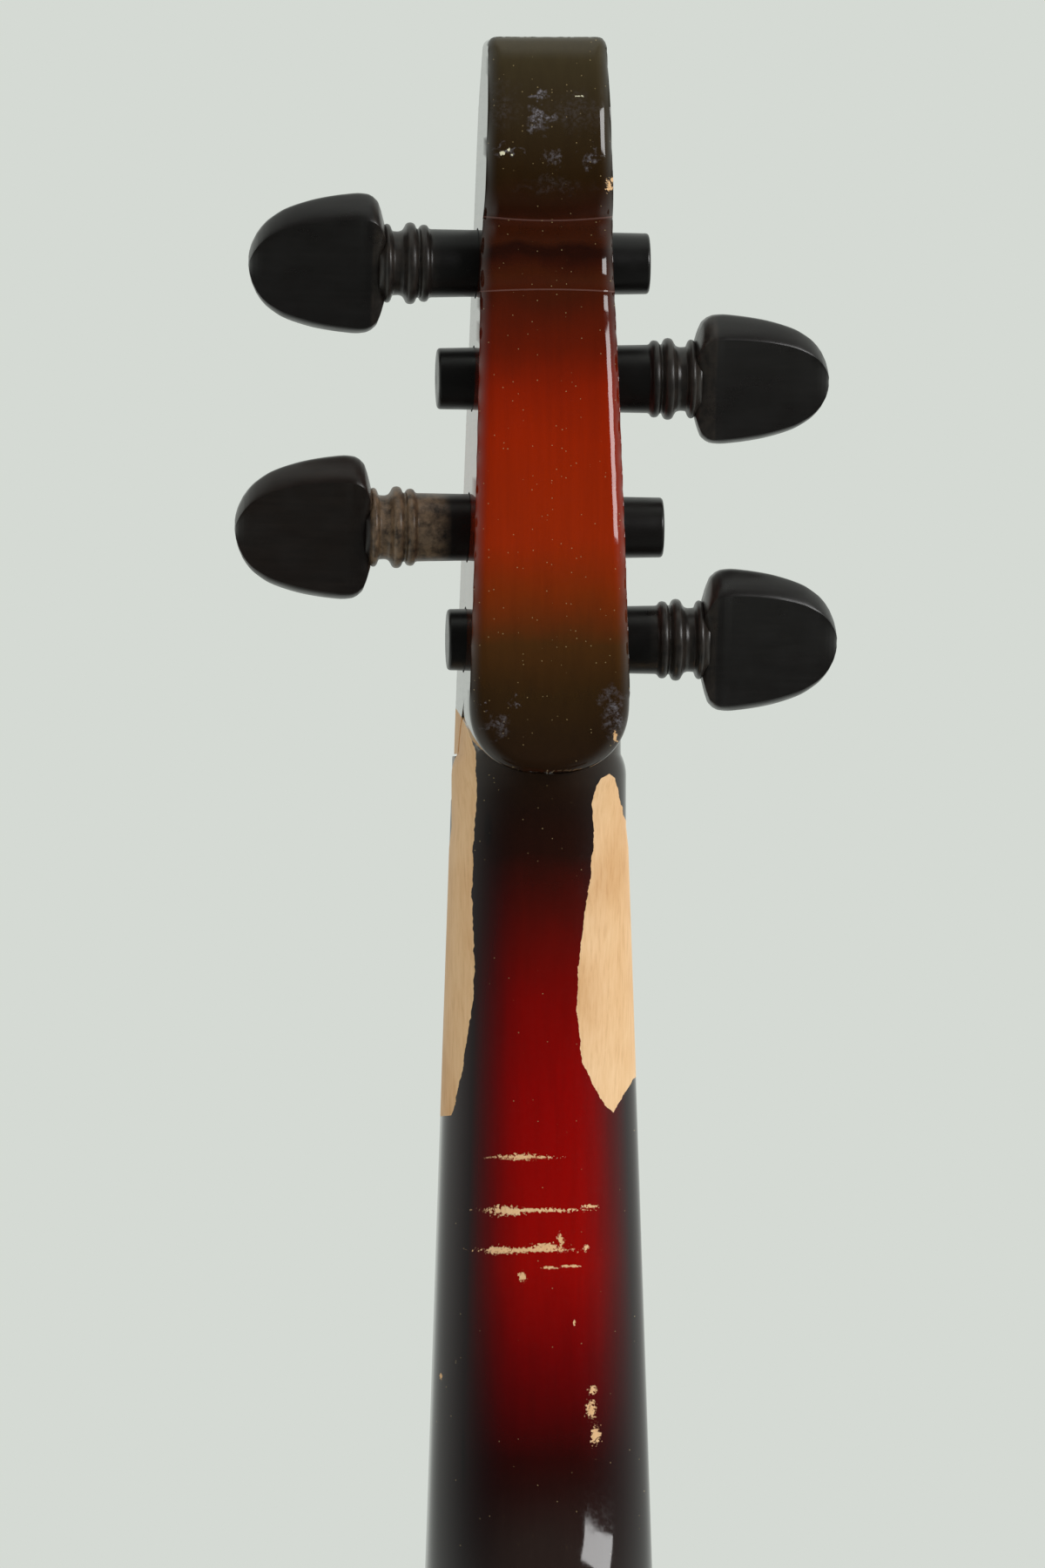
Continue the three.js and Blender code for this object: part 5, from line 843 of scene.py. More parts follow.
def grainedWood(name, base, vein, roughness, scale, strength=0.25, grain="Z", worn=None):
    # dense wood or horn, turned or carved and rubbed with oil: pores about a millimetre apart, drawn out
    # along the grain to 15 mm, and a dull sheen
    material, tree = startMaterial(name)
    spot = addNode(tree, "TexCoord").outputs["Object"]
    stretch = {"X": (0.06, 1, 1), "Z": (1, 1, 0.06)}[grain]
    pores = addNode(tree, "Mapping", {"Vector": spot, "Scale": [scale * share for share in stretch]})
    pores = addNode(tree, "TexNoise", {"Vector": pores, "Scale": 1.0, "Detail": 6, "Roughness": 0.65})
    share = addNode(tree, "ValToRGB", {"Fac": pores}, [(0.42, 0.0), (0.75, 1.0)])
    colour = addNode(tree, "Mix", {0: share, 6: base, 7: vein}, data_type="RGBA")
    if worn:
        # rubbed back to brown between two places along X, patchy there, and further in, where the shank goes
        # into the head, darkened towards black as painted shade
        tone, amount, start, end, bothEnds = worn
        reach = addNode(tree, "SeparateXYZ", {"Vector": spot}).outputs["X"]
        if bothEnds:
            reach = addNode(tree, "Math", {0: reach}, operation="ABSOLUTE")
        past = {"Value": reach, "From Min": start - 1.2 * mm, "From Max": start + 1.2 * mm}
        past = addNode(tree, "MapRange", past)
        short = {"Value": reach, "From Min": end + 0.2 * mm, "From Max": end - 0.2 * mm}
        short = addNode(tree, "MapRange", short)
        patchy = addNode(tree, "TexNoise", {"Vector": spot, "Scale": 700.0, "Detail": 5, "Roughness": 0.7})
        patchy = {"Value": patchy, "From Min": 0.3, "From Max": 0.62, "To Max": amount}
        patchy = addNode(tree, "MapRange", patchy)
        rubbed = addNode(tree, "Math", {0: past, 1: short}, operation="MULTIPLY")
        rubbed = addNode(tree, "Math", {0: rubbed, 1: patchy}, operation="MULTIPLY")
        # painted shade: the shank darkened towards black where it goes into the head
        cheekShade = addNode(tree, "MapRange", {"Value": past, "To Min": 0.8, "To Max": 0.0})
        colour = addNode(tree, "Mix", {0: cheekShade, 6: colour, 7: "#0a0908"}, data_type="RGBA")
        colour = addNode(tree, "Mix", {0: rubbed, 6: colour, 7: tone}, data_type="RGBA")
    smooth = addNode(tree, "TexNoise", {"Vector": spot, "Scale": 260.0, "Detail": 3, "Roughness": 0.5})
    smooth = addNode(tree, "MapRange", {
        "Value": smooth, "From Min": 0.3, "From Max": 0.7,
        "To Min": roughness * 0.8, "To Max": roughness * 1.25,
    })
    normal = addNode(tree, "Bump", {"Height": pores, "Strength": strength, "Distance": 0.0001})
    surface = {"Base Color": colour, "Roughness": smooth, "Normal": normal}
    addNode(tree, "OutputMaterial", {"Surface": addNode(tree, "BsdfPrincipled", surface)})
    return material


def handledSurface(name, tone, roughness, metallic=0.0, dust=0.15, seed=1.0):
    # moulded, plated or coated surface: even, with light handling marks 5 mm wide that dull it in places
    material, tree = startMaterial(name)
    spot = addNode(tree, "TexCoord").outputs["Object"]
    marks = addNode(tree, "Mapping", {"Vector": spot, "Location": (seed, seed, 0)})
    marks = addNode(tree, "TexNoise", {"Vector": marks, "Scale": 180.0, "Detail": 5, "Roughness": 0.65})
    dull = addNode(tree, "ValToRGB", {"Fac": marks}, [(0.45, 0.0), (0.8, dust)])
    colour = addNode(tree, "Mix", {0: dull, 6: tone, 7: "#6b6862"}, data_type="RGBA")
    rough = addNode(tree, "MapRange", {
        "Value": marks, "From Min": 0.3, "From Max": 0.8,
        "To Min": roughness * 0.85, "To Max": roughness * 1.4,
    })
    surface = {"Base Color": colour, "Roughness": rough, "Metallic": metallic}
    addNode(tree, "OutputMaterial", {"Surface": addNode(tree, "BsdfPrincipled", surface)})
    return material


def corkSheet():
    # ground cork pressed to a sheet and cut: crumbs a millimetre wide, without shine
    material, tree = startMaterial("cork sheet")
    spot = addNode(tree, "TexCoord").outputs["Object"]
    cells = addNode(tree, "TexVoronoi", {"Vector": spot, "Scale": 900.0})
    tones = [(0.1, "#7c5230"), (0.35, "#b98a58"), (0.7, "#c99c68")]
    colour = addNode(tree, "ValToRGB", {"Fac": cells}, tones)
    normal = addNode(tree, "Bump", {"Height": cells, "Strength": 0.4, "Distance": 0.0002})
    surface = {"Base Color": colour, "Roughness": 0.9, "Normal": normal}
    addNode(tree, "OutputMaterial", {"Surface": addNode(tree, "BsdfPrincipled", surface)})
    return material


# What has been worn brown on the pegs: tone, amount, from and to along X, and whether at both ends; nearer
# the head than the from place, the pegs are painted darker as shade
pegWearAndShade = ("#40372f", 0.32, 15.5 * mm, 23.8 * mm, True)
oldPegWearAndShade = ("#705b46", 0.95, 14 * mm, 24 * mm, False)
materials = {
    "neck": neckLacquer(),
    "body": bodyLacquer(),
    "ebony": grainedWood("ebony", "#0c0b0b", "#1d1815", 0.3, 900),
    "pegEbony": grainedWood("ebony of the pegs", "#151312", "#1a1817", 0.32, 1300, 0.06, "X", pegWearAndShade),
    "wornEbony": grainedWood("ebony worn brown", "#18120f", "#1f1814", 0.34, 1300, 0.06, "X", oldPegWearAndShade),
    "horn": grainedWood("horn", "#3a2414", "#5a3c22", 0.3, 500, grain="X"),
    "maple": grainedWood("bridge maple", "#c79a5c", "#8d6234", 0.42, 1200),
    "nickel": handledSurface("nickel plate", "#c4c0b8", 0.16, 1.0),
    "steel": handledSurface("string steel", "#b9b7b2", 0.24, 1.0),
    "silk": handledSurface("string silk", "#3b1416", 0.7, 0.0),
    "plastic": handledSurface("black moulded plastic", "#0d0d0f", 0.3),
    "ceramic": handledSurface("fired ceramic", "#d9d1bd", 0.5),
    "cork": corkSheet(),
    "nylon": handledSurface("black nylon", "#111114", 0.38),
    "vinyl": handledSurface("vinyl lead jacket", "#232327", 0.5),
    "resin": handledSurface("dipped resin", "#b3692a", 0.3),
}
print("materials made")


# Neck and head
def viewedFromBehind(piece):
    # where each point lies on the back view: across, up from the nut, and how far off the middle from -1 to 1
    mesh = piece.data
    yaw = math.radians(camera["yaw"])
    inward = neckPlace.inverted()
    values = []
    for vert in mesh.vertices:
        x, y, z = inward @ (vert.co / mm)
        half = headHalf(z) if z > 0 else boardHalf(-z)
        values += [y * math.sin(yaw) - x * math.cos(yaw), z, -x / half]
    attribute = mesh.attributes.new("backView", "FLOAT_VECTOR", "POINT")
    attribute.data.foreach_set("vector", values)


tenonShape = {"half": 11, "front": -38, "back": -8, "low": 154, "high": 180}


def tenonSolid(gap):
    shape = tenonShape
    return boxSolid(
        -shape["half"] - gap, shape["half"] + gap, shape["front"], shape["back"] + gap, shape["low"] - gap,
        shape["high"],
    )


def makeNeck():
    shape = neckShape
    piece = headSolid()
    combined(piece, [neckSolid(), cheekSolid()], "UNION")
    # the neck stops at the body's top edge and at its back
    bodySpace = slabSolid(insetOutline(outline, -shape["gap"]), -90, 8)
    behindBody = boxSolid(-120, 120, -shape["gap"], 60, -bodyShape["halfLength"], 220)
    bores = [boreSolid(*row) for row in pegRows.values()]
    combined(piece, [bodySpace, behindBody, slotSolid()] + bores, "DIFFERENCE")
    tenon = tenonSolid(0)
    boardSide = boxSolid(-40, 40, -90, 0, -356, 0, neckPlace)
    combined(tenon, [boardSide], "DIFFERENCE")
    combined(piece, [tenon], "UNION")
    cleaned(piece)
    soften(piece, 40)
    viewedFromBehind(piece)
    return dressed(piece, "neck", "neck")


# Pegs
thumbRows = [
    # share of the length, of the half height, of the half thickness
    (0, 0.08, 0.25), (0.006, 0.15, 0.33), (0.02, 0.25, 0.42), (0.058, 0.42, 0.52), (0.097, 0.53, 0.57),
    (0.135, 0.61, 0.6), (0.174, 0.67, 0.63), (0.25, 0.765, 0.68), (0.33, 0.83, 0.72), (0.42, 0.885, 0.77),
    (0.5, 0.925, 0.81), (0.6, 0.96, 0.86), (0.7, 0.985, 0.91), (0.8, 1, 0.96), (0.87, 0.985, 1),
    (0.91, 0.95, 1), (0.95, 0.87, 0.97), (0.98, 0.7, 0.88), (1, 0.56, 0.75),
]
shankRows = [
    # share of the collar's length, radius
    (-0.12, 4.2), (-0.03, 4.7), (0.0, 5.1), (0.035, 5.38), (0.075, 5.45), (0.115, 5.34), (0.15, 5.0),
    (0.17, 4.6), (0.2, 4.44), (0.3, 4.4), (0.38, 4.55), (0.43, 4.95), (0.47, 5.42), (0.51, 5.6),
    (0.56, 5.65), (0.61, 5.58), (0.655, 5.3), (0.68, 4.9), (0.705, 4.76), (0.73, 4.8), (0.76, 5.1),
    (0.8, 5.28), (0.85, 5.33), (0.9, 5.24), (0.93, 5.0), (0.955, 4.8), (1, 4.72),
]
thumbHalfHeights = {"peg_g": 10.4, "peg_e": 10.5, "peg_d": 9.4, "peg_a": 10.2}
# The thumb piece's face as shares of its half thickness and half height: dished inside a ridge
thumbFace = {"middle": 0.74, "ridge": 0.925, "ridgeAt": 0.78, "dish": 2.0, "rim": 1.48}


def thumbSection(share, height, thick):
    face = thumbFace
    quarter = []
    for i in range(11):
        v = face["ridgeAt"] * i / 10
        w = along(face["middle"], face["ridge"], (i / 10) ** face["dish"])
        quarter.append((v * height, w * thick))
    for i in range(1, 10):
        turn = math.radians(9 * i)
        v = along(face["ridgeAt"], 1, math.sin(turn) ** face["rim"])
        quarter.append((v * height, face["ridge"] * math.cos(turn) ** face["rim"] * thick))
    back = [(v, -w) for v, w in reversed(quarter)]
    half = quarter + [(height, 0)] + back
    other = [(-v, w) for v, w in reversed(quarter[1:])]
    far = [(-v, -w) for v, w in quarter[1:]]
    ring = half + far + [(-height, 0)] + other
    z = share * pegShape["thumbLength"]
    return [(v, w, z) for v, w in ring]


def thumbSolid(side, place, halfHeight):
    bm = bmesh.new()
    shares = [row[0] for row in thumbRows]
    shares += [i / 34 for i in range(1, 34)]
    heights = [(row[0], row[1] * halfHeight) for row in thumbRows]
    thicks = [(row[0], row[2] * pegShape["halfThickness"]) for row in thumbRows]
    loft(bm, [thumbSection(s, smoothly(heights, s), smoothly(thicks, s)) for s in sorted(set(shares))])
    turn = Matrix.Rotation(math.radians(side * pegShape["turn"]), 4, "Z")
    return finished(bm, "thumb", place @ turn, 30)


def makePeg(name):
    side, height, reach, length = pegRows[name]
    shape = pegShape
    place = pegPlace(side, height, reach)
    start, step, first = shape["thumbLength"], shape["collar"], shankRows[0][0]
    profile = [(0, start + step * first)]
    for i in range(shape["rows"] + 1):
        share = along(first, 1, i / shape["rows"])
        profile.append((smoothly(shankRows, share), start + share * step))
    end, edge = length - shape["tipStart"], shape["tipEdge"]
    tip = shankRadius(end)
    profile += arcPoints(tip - edge, end, edge, 0, 90, 5) + [(tip * 0.5, length - 0.02), (0, length)]
    bm = bmesh.new()
    spunShape(bm, profile, 72)
    piece = finished(bm, name, place, 30)
    combined(piece, [thumbSolid(side, place, thumbHalfHeights[name])], "UNION")
    cleaned(piece, 0.004)
    soften(piece, 30)
    wood = "wornEbony" if name == "peg_e" else "pegEbony"
    return dressed(piece, name, wood, name)


# Fingerboard, nut and bridge
boardSize = {
    "edge": 4.6, "crown": 42, "start": 3.05, "inset": 0.35, "bevel": 0.35, "scoopStart": 157, "scoopEnd": 276,
    "scoopDepth": 2.2, "margin": 3,
}
nutSize = {"half": 2.75, "halfWidth": 11.5, "rise": 0.9, "rounding": 0.8, "groove": 0.3}
strings = {
    # radius, place among the strings, turns on the peg, pitch of the turns, where the turns end
    "g": (0.4, -1.5, 4, 1.35, 4.8), "d": (0.39, -0.5, 4, 1.3, 3.6), "a": (0.34, 0.5, 4, 1.2, 3.2),
    "e": (0.14, 1.5, 5, 0.8, 4.6),
}
spans = {"nut": 16, "bridge": 33.5, "tail": 30}


def crownDrop(x, radius=boardSize["crown"]):
    return radius - math.sqrt(radius**2 - x**2)


def archedRing(z, half, edge, underside, steps=36, crown=boardSize["crown"]):
    points = []
    for i in range(steps + 1):
        x = along(-half, half, i / steps)
        points.append((x, -(edge + crownDrop(half, crown) - crownDrop(x, crown)), z))
    return points + [(half, underside, z), (-half, underside, z)]


def bevelEdges(bm, width, angle=40, segments=3):
    edges = [e for e in bm.edges if len(e.link_faces) == 2 and e.calc_face_angle(0) > math.radians(angle)]
    bmesh.ops.bevel(
        bm, geom=edges, offset=width, offset_type="OFFSET", affect="EDGES", segments=segments, profile=0.5,
        material=-1, clamp_overlap=True,
    )


def makeBoard():
    size, gap = boardSize, neckShape["gap"]
    rows = [size["start"] + neckShape["boardLength"] * i / 30 for i in range(31)]
    bm = bmesh.new()
    loft(bm, [archedRing(-z, boardHalf(z) - size["inset"], size["edge"], -gap) for z in rows])
    bevelEdges(bm, size["bevel"])
    piece = finished(bm, "fingerboard", neckPlace)
    sections = []
    for z in (size["scoopStart"], size["scoopStart"] + 4, size["scoopEnd"]):
        half = boardHalf(z) - size["margin"]
        depth = size["scoopDepth"] if z > size["scoopStart"] else 0.2
        arc = [(x, y, -z) for x, y in arcPoints(0, -gap, half, 180, 0, 30, -depth)]
        sections.append([(half, 2, -z), (-half, 2, -z)] + arc)
    combined(piece, [lofted(sections, "scoop", neckPlace)], "DIFFERENCE")
    return dressed(piece, "fingerboard", "ebony")


def nutX(place):
    return spans["nut"] * place / 3


def nutTop(radius, place):
    edge = boardSize["edge"] + nutSize["rise"]
    return crownDrop(nutX(place)) - crownDrop(neckShape["boardHalfNut"]) - edge - radius * 0.2


def tube(name, points, radius, sides=12, place=None):
    # a round tube along a line of points
    spots = [Vector(p) for p in points]
    sections = []
    normal = None
    for i, spot in enumerate(spots):
        before = (spot - spots[i - 1]).normalized() if i else None
        after = (spots[i + 1] - spot).normalized() if i + 1 < len(spots) else None
        heading = ((before or after) + (after or before)).normalized()
        if normal is None:
            normal = heading.orthogonal().normalized()
        normal = (normal - heading * normal.dot(heading)).normalized()
        other = heading.cross(normal)
        ring = arcPoints(0, 0, radius, 0, 360, sides)[:-1]
        sections.append([tuple(spot + normal * a + other * b) for a, b in ring])
    return lofted(sections, name, place, 50)


def makeNut():
    size = nutSize
    rows = arcPoints(size["rounding"] - size["half"], -size["rounding"], size["rounding"], 180, 90, 6)
    rows += [(-z, drop) for z, drop in reversed(rows)]
    edge = boardSize["edge"] + size["rise"]
    bm = bmesh.new()
    loft(bm, [archedRing(z, size["halfWidth"], edge + drop, -neckShape["gap"]) for z, drop in rows])
    piece = finished(bm, "nut", neckPlace)
    for radius, place, *_ in strings.values():
        x, y = nutX(place), nutTop(radius, place)
        groove = tube("groove", [(x, y, -5), (x, y, 5)], radius + size["groove"], 20, neckPlace)
        combined(piece, [groove], "DIFFERENCE")
    return dressed(piece, "nut", "horn")


bridgeSize = {
    "z": -16.999, "base": 39.8, "height": 33, "half": 20.75, "foot": 4.4, "top": 1.6, "bevel": 0.28,
    "groove": 0.3,
}
bridgeLine = [
    # shares of the half width and of the height; a third value marks a corner
    (0, 0.25), (0.2, 0.235), (0.36, 0.165), (0.43, 0.07), (0.45, 0, 1), (1, 0, 1), (0.965, 0.075),
    (0.74, 0.15), (0.7, 0.29), (0.84, 0.335), (0.905, 0.4), (0.87, 0.45), (0.62, 0.48), (0.56, 0.56),
    (0.63, 0.64), (0.86, 0.66), (0.9, 0.73), (0.86, 0.86, 1),
]
heartLine = [(0, 0.4), (0.14, 0.42), (0.23, 0.5), (0.19, 0.6), (0.09, 0.61), (0, 0.68, 1)]


def smoothLine(points, steps=6):
    sharp = [i for i, point in enumerate(points) if len(point) == 3]
    line = evenLine([(x, y, 0) for x, y, *_ in points], sharp, steps)
    return [(p.x, p.y) for p in line]


def bridgeSlab(line, extra=0.0):
    size = bridgeSize
    sections = []
    for side in (-1, 1):
        ring = []
        for x, share in line:
            thick = along(size["foot"], size["top"], share) / 2 + extra
            y = -(size["base"] + share * size["height"])
            ring.append((x * size["half"], y, size["z"] + side * thick))
        sections.append(ring)
    bm = bmesh.new()
    loft(bm, sections)
    return bm


def bridgeX(place):
    return spans["bridge"] * place / 3


def bridgeY(radius, place):
    return -(bridgeSize["base"] + bridgeSize["height"]) + crownDrop(bridgeX(place)) - radius * 0.2


def makeBridge():
    size = bridgeSize
    shares = [bridgeLine[-1][0] * (1 - i / 16) for i in range(1, 17)]
    crown = [(x, 1 - crownDrop(x * size["half"]) / size["height"]) for x in shares]
    bm = bridgeSlab(fullOutline(smoothLine(bridgeLine) + crown))
    bevelEdges(bm, size["bevel"], 60)
    piece = finished(bm, "bridge")
    heart = bridgeSlab(fullOutline(smoothLine(heartLine, 8)), 2)
    combined(piece, [finished(heart, "heart")], "DIFFERENCE")
    for radius, place, *_ in strings.values():
        x, y, z = bridgeX(place), bridgeY(radius, place), size["z"]
        groove = tube("groove", [(x, y, z - 4), (x, y, z + 4)], radius + size["groove"], 20)
        combined(piece, [groove], "DIFFERENCE")
    return dressed(piece, "bridge", "maple")


# Body
cavitySize = {
    "left": 36, "right": 76, "top": -54, "bottom": -130, "corner": 9, "roof": -23, "lip": 7, "cover": 2.4,
}
pickupSize = {
    "half": 29, "halfWidth": 8, "front": -39, "back": -32, "corner": 4, "edge": 0.5, "spread": 14.6,
    "disc": 6, "discThick": 2.6, "discFront": -39.5, "discEdge": 0.2, "clearance": 0.3,
}
rimMiddle = -15  # depth of the jack's and the end button's axes
potX = 58.0
potZ = {"volume": -71.997, "tone": -107.998}
landing = -31  # depth of the flats under the knobs
jackZ = -90.001
# Holes in the body, each with its radius
boreSize = {"duct": 2.2, "jack": 5.9, "jackWell": 8.6, "pin": 4.2, "bush": 3.9, "land": 11, "screw": 1.6}


def roundedOutline(x0, x1, z0, z1, radius, steps=10):
    corners = [
        (x1 - radius, z1 - radius, 0), (x0 + radius, z1 - radius, 90), (x0 + radius, z0 + radius, 180),
        (x1 - radius, z0 + radius, 270),
    ]
    points = []
    for x, z, start in corners:
        points += arcPoints(x, z, radius, start, start + 90, steps)
    return list(reversed(points))


def rodSolid(name, start, end, radius, sides=40):
    # a round bar between two points
    a, b = Vector(start), Vector(end)
    bm = bmesh.new()
    bmesh.ops.create_cone(
        bm, cap_ends=True, segments=sides, radius1=radius, radius2=radius, depth=(b - a).length,
        matrix=Matrix.Translation((a + b) / 2) @ (b - a).to_track_quat("Z", "Y").to_matrix().to_4x4(),
    )
    return finished(bm, name)


def roundedRings(line, start, end, radius, steps):
    # sections of a slab from one face to the other, with rounded edges on both
    inward = math.copysign(radius, end - start)
    turns = [math.radians(90 * i / steps) for i in range(steps + 1)]
    rows = [(1 - math.sin(turn), start + inward * (1 - math.cos(turn))) for turn in turns]
    rows += [(1 - math.cos(turn), end - inward * (1 - math.sin(turn))) for turn in turns]
    return [[(x, y, z) for x, z in insetOutline(line, radius * share)] for share, y in rows]


def padSolid(name, line, start, end, radius, steps=6):
    return lofted(roundedRings(line, start, end, radius, steps), name)


cavityLine = roundedOutline(
    cavitySize["left"], cavitySize["right"], cavitySize["bottom"], cavitySize["top"], cavitySize["corner"],
)
coverLine = insetOutline(cavityLine, -cavitySize["lip"])
pickupLine = roundedOutline(
    -pickupSize["half"], pickupSize["half"], bridgeSize["z"] - pickupSize["halfWidth"],
    bridgeSize["z"] + pickupSize["halfWidth"], pickupSize["corner"],
)
screwReach = (cavitySize["corner"] + cavitySize["lip"] / 2) * math.sqrt(0.5) - cavitySize["corner"]
screwSpots = [
    (x, z) for x in (cavitySize["left"] - screwReach, cavitySize["right"] + screwReach)
    for z in (cavitySize["bottom"] - screwReach, cavitySize["top"] + screwReach)
]
saddleSize = {"half": 17.5, "bevel": 0.5}
saddleLine = [
    # depth from the front's rim, height above the body's bottom edge
    (-25, 7), (-36.25, 7), (-37.5, 5.75), (-37.5, 2.5), (-36.67, 0.83), (-35, 0),
]


def saddleSolid(gap):
    # a gap leaves room round the saddle for its seat
    bottom, half = -bodyShape["halfLength"], saddleSize["half"] + gap
    ring = [(y - gap if y < -30 else y + gap, bottom + z + (gap if z > 3 else -gap)) for y, z in saddleLine]
    ring.append((saddleLine[0][0] + gap, bottom - gap))
    bm = bmesh.new()
    loft(bm, [[(x, y, z) for y, z in ring] for x in (-half, half)])
    return bm


def sliced(piece, pitch):
    # even cuts across and along, which give the large flat faces points of their own
    bm = bmesh.new()
    bm.from_mesh(piece.data)
    for axis, reach in (((1, 0, 0), 99), ((0, 0, 1), 171)):
        for i in range(-reach // pitch, reach // pitch + 1):
            spot = Vector(axis) * i * pitch * mm
            geom = bm.verts[:] + bm.edges[:] + bm.faces[:]
            bmesh.ops.bisect_plane(bm, geom=geom, dist=1e-7, plane_co=spot, plane_no=axis)
    bm.to_mesh(piece.data)
    bm.free()


def makeBody():
    shape = bodyShape
    rim = shape["rim"]
    sections = roundedRings(outline, 0, -rim, shape["edgeRadius"], 8)
    for i in range(32):
        share = along(0.96, 0.03, i / 31)
        ring = [towardsOval(x, z, share) for x, z in outline]
        sections.append([(x, -archDepth(share), z) for x, z in ring])
    bm = bmesh.new()
    loft(bm, sections)
    arch = [v for v in bm.verts if v.co.y < -rim - 0.01]
    for _ in range(shape["smoothing"]):
        bmesh.ops.smooth_vert(bm, verts=arch, factor=0.5, use_axis_y=True)
    piece = finished(bm, "body")
    gap = neckShape["gap"]
    cutters = [
        tenonSolid(gap),
        slabSolid(insetOutline(pickupLine, -gap), pickupSize["back"] + gap, -60),
        rodSolid("duct", (17.4, pickupSize["back"], -20.2), (40.95, -14.4, -56.2), boreSize["duct"], 24),
        slabSolid(cavityLine, cavitySize["roof"], 2),
        slabSolid(insetOutline(coverLine, -gap), -cavitySize["cover"] - gap, 2),
        rodSolid("bore", (74, rimMiddle, jackZ), (101, rimMiddle, jackZ), boreSize["jack"]),
        rodSolid("well", (99.8, rimMiddle, jackZ), (106, rimMiddle, jackZ), boreSize["jackWell"]),
        finished(saddleSolid(gap), "seat"),
        rodSolid("pin", (0, rimMiddle, -180), (0, rimMiddle, -153.7), boreSize["pin"]),
    ]
    for z in potZ.values():
        start, end = (potX, landing - 2, z), (potX, cavitySize["roof"] + 2, z)
        cutters.append(rodSolid("bush", start, end, boreSize["bush"]))
        cutters.append(rodSolid("land", (potX, landing, z), (potX, -60, z), boreSize["land"], 56))
    for x, z in screwSpots:
        cutters.append(rodSolid("hole", (x, -12.6, z), (x, 0, z), boreSize["screw"], 20))
    combined(piece, cutters, "DIFFERENCE")
    sliced(piece, 9)
    soften(piece, 34)
    edgeDistances(piece, outline)
    return dressed(piece, "body", "body")


# Tailpiece
tailSize = {
    "length": 104, "half": 23, "edge": 2, "bevel": 0.9, "tilt": 11.7031, "y": -58.7201, "z": -65.6619,
    "slot": 15, "hole": 1.9, "slit": 0.75, "gutInset": 9, "gutHole": 1.5,
    "fretInset": 6, "fretHalf": 1, "fretRise": 1.2, "fretShare": 0.9, "fretCrown": 0.5,
}
tailWidths = [
    # share of the length, share of the half width
    (0, 0.94), (0.015, 0.982), (0.04, 1), (0.35, 0.86), (0.75, 0.62), (0.96, 0.5), (0.985, 0.46), (1, 0.4),
]
tailPlace = Matrix.Translation((0, tailSize["y"], tailSize["z"])) @ Matrix.Rotation(
    math.radians(tailSize["tilt"]), 4, "X"
)


def tailX(place):
    return spans["tail"] * place / 3


def tailSurface(x):
    return -(tailSize["edge"] + crownDrop(tailSize["half"]) - crownDrop(x))


def fretSolid(gap, extra):
    # the tail fret, or with an extra height the slot that it sits in
    size = tailSize
    half, width = size["half"] * size["fretShare"] + gap + extra, size["fretHalf"] + gap
    inset, crown = size["fretInset"], 0 if extra else size["fretCrown"]
    sections = []
    for i in range(41):
        x = along(-half, half, i / 40)
        top, bottom = tailSurface(x) - size["fretRise"] - extra, tailSurface(x) + size["fretRise"] + gap
        ring = [(x, bottom, width - inset), (x, bottom, -width - inset)]
        ring += [(x, y, z) for z, y in arcPoints(-inset, top + crown, width, 180, 0, 9, -crown)]
        sections.append(ring)
    return lofted(sections, "tail_fret", tailPlace)


def inTail(piece):
    # turns a piece made in the tailpiece's own frame into place
    piece.data.transform(Matrix.Scale(mm, 4) @ tailPlace @ Matrix.Scale(1 / mm, 4))
    return piece


def makeTailpiece():
    size = tailSize
    rows = sorted({i / 60 for i in range(61)} | {0.005, 0.01, 0.99, 0.995})
    widths = [size["half"] * smoothly(tailWidths, share) for share in rows]
    bm = bmesh.new()
    loft(bm, [
        archedRing(-share * size["length"], width, size["edge"], size["edge"], 40)
        for share, width in zip(rows, widths)
    ])
    bevelEdges(bm, size["bevel"], 50, 4)
    piece = finished(bm, "tailpiece", tailPlace)
    cutters = [fretSolid(0.3, 2)]
    slot, slit = size["slot"], size["slit"]
    for _, place, *_ in strings.values():
        x = tailX(place)
        hole = rodSolid("hole", (x, -15, -slot), (x, 15, -slot), size["hole"], 32)
        keyhole = boxSolid(x - slit, x + slit, -15, 15, -slot, -slot / 2 - slit)
        combined(hole, [keyhole], "UNION")
        cutters.append(inTail(hole))
    for x in (-gutSize["across"], gutSize["across"]):
        start, end = (x, 0, -size["length"] - 2), (x, 0, size["gutInset"] - size["length"])
        cutters.append(inTail(rodSolid("hole", start, end, size["gutHole"], 20)))
    combined(piece, cutters, "DIFFERENCE", 34)
    dressed(piece, "tailpiece", "ebony")
    return dressed(fretSolid(0, 0), "tail_fret", "horn")


# Chinrest
chinSize = {
    "front": -56, "back": -49.5, "edge": 2.925, "cupX": -42, "cupZ": -152, "cupHalf": 47, "cupDeep": 30,
    "sink": 4, "tongueHalf": 34, "tongueLength": 40, "tongueCorner": 10,
    "barrelZ": -182.8, "barrel": 3.2, "spread": 25, "footHalf": 5.5, "footLow": -173.5, "footHigh": -164.5,
}


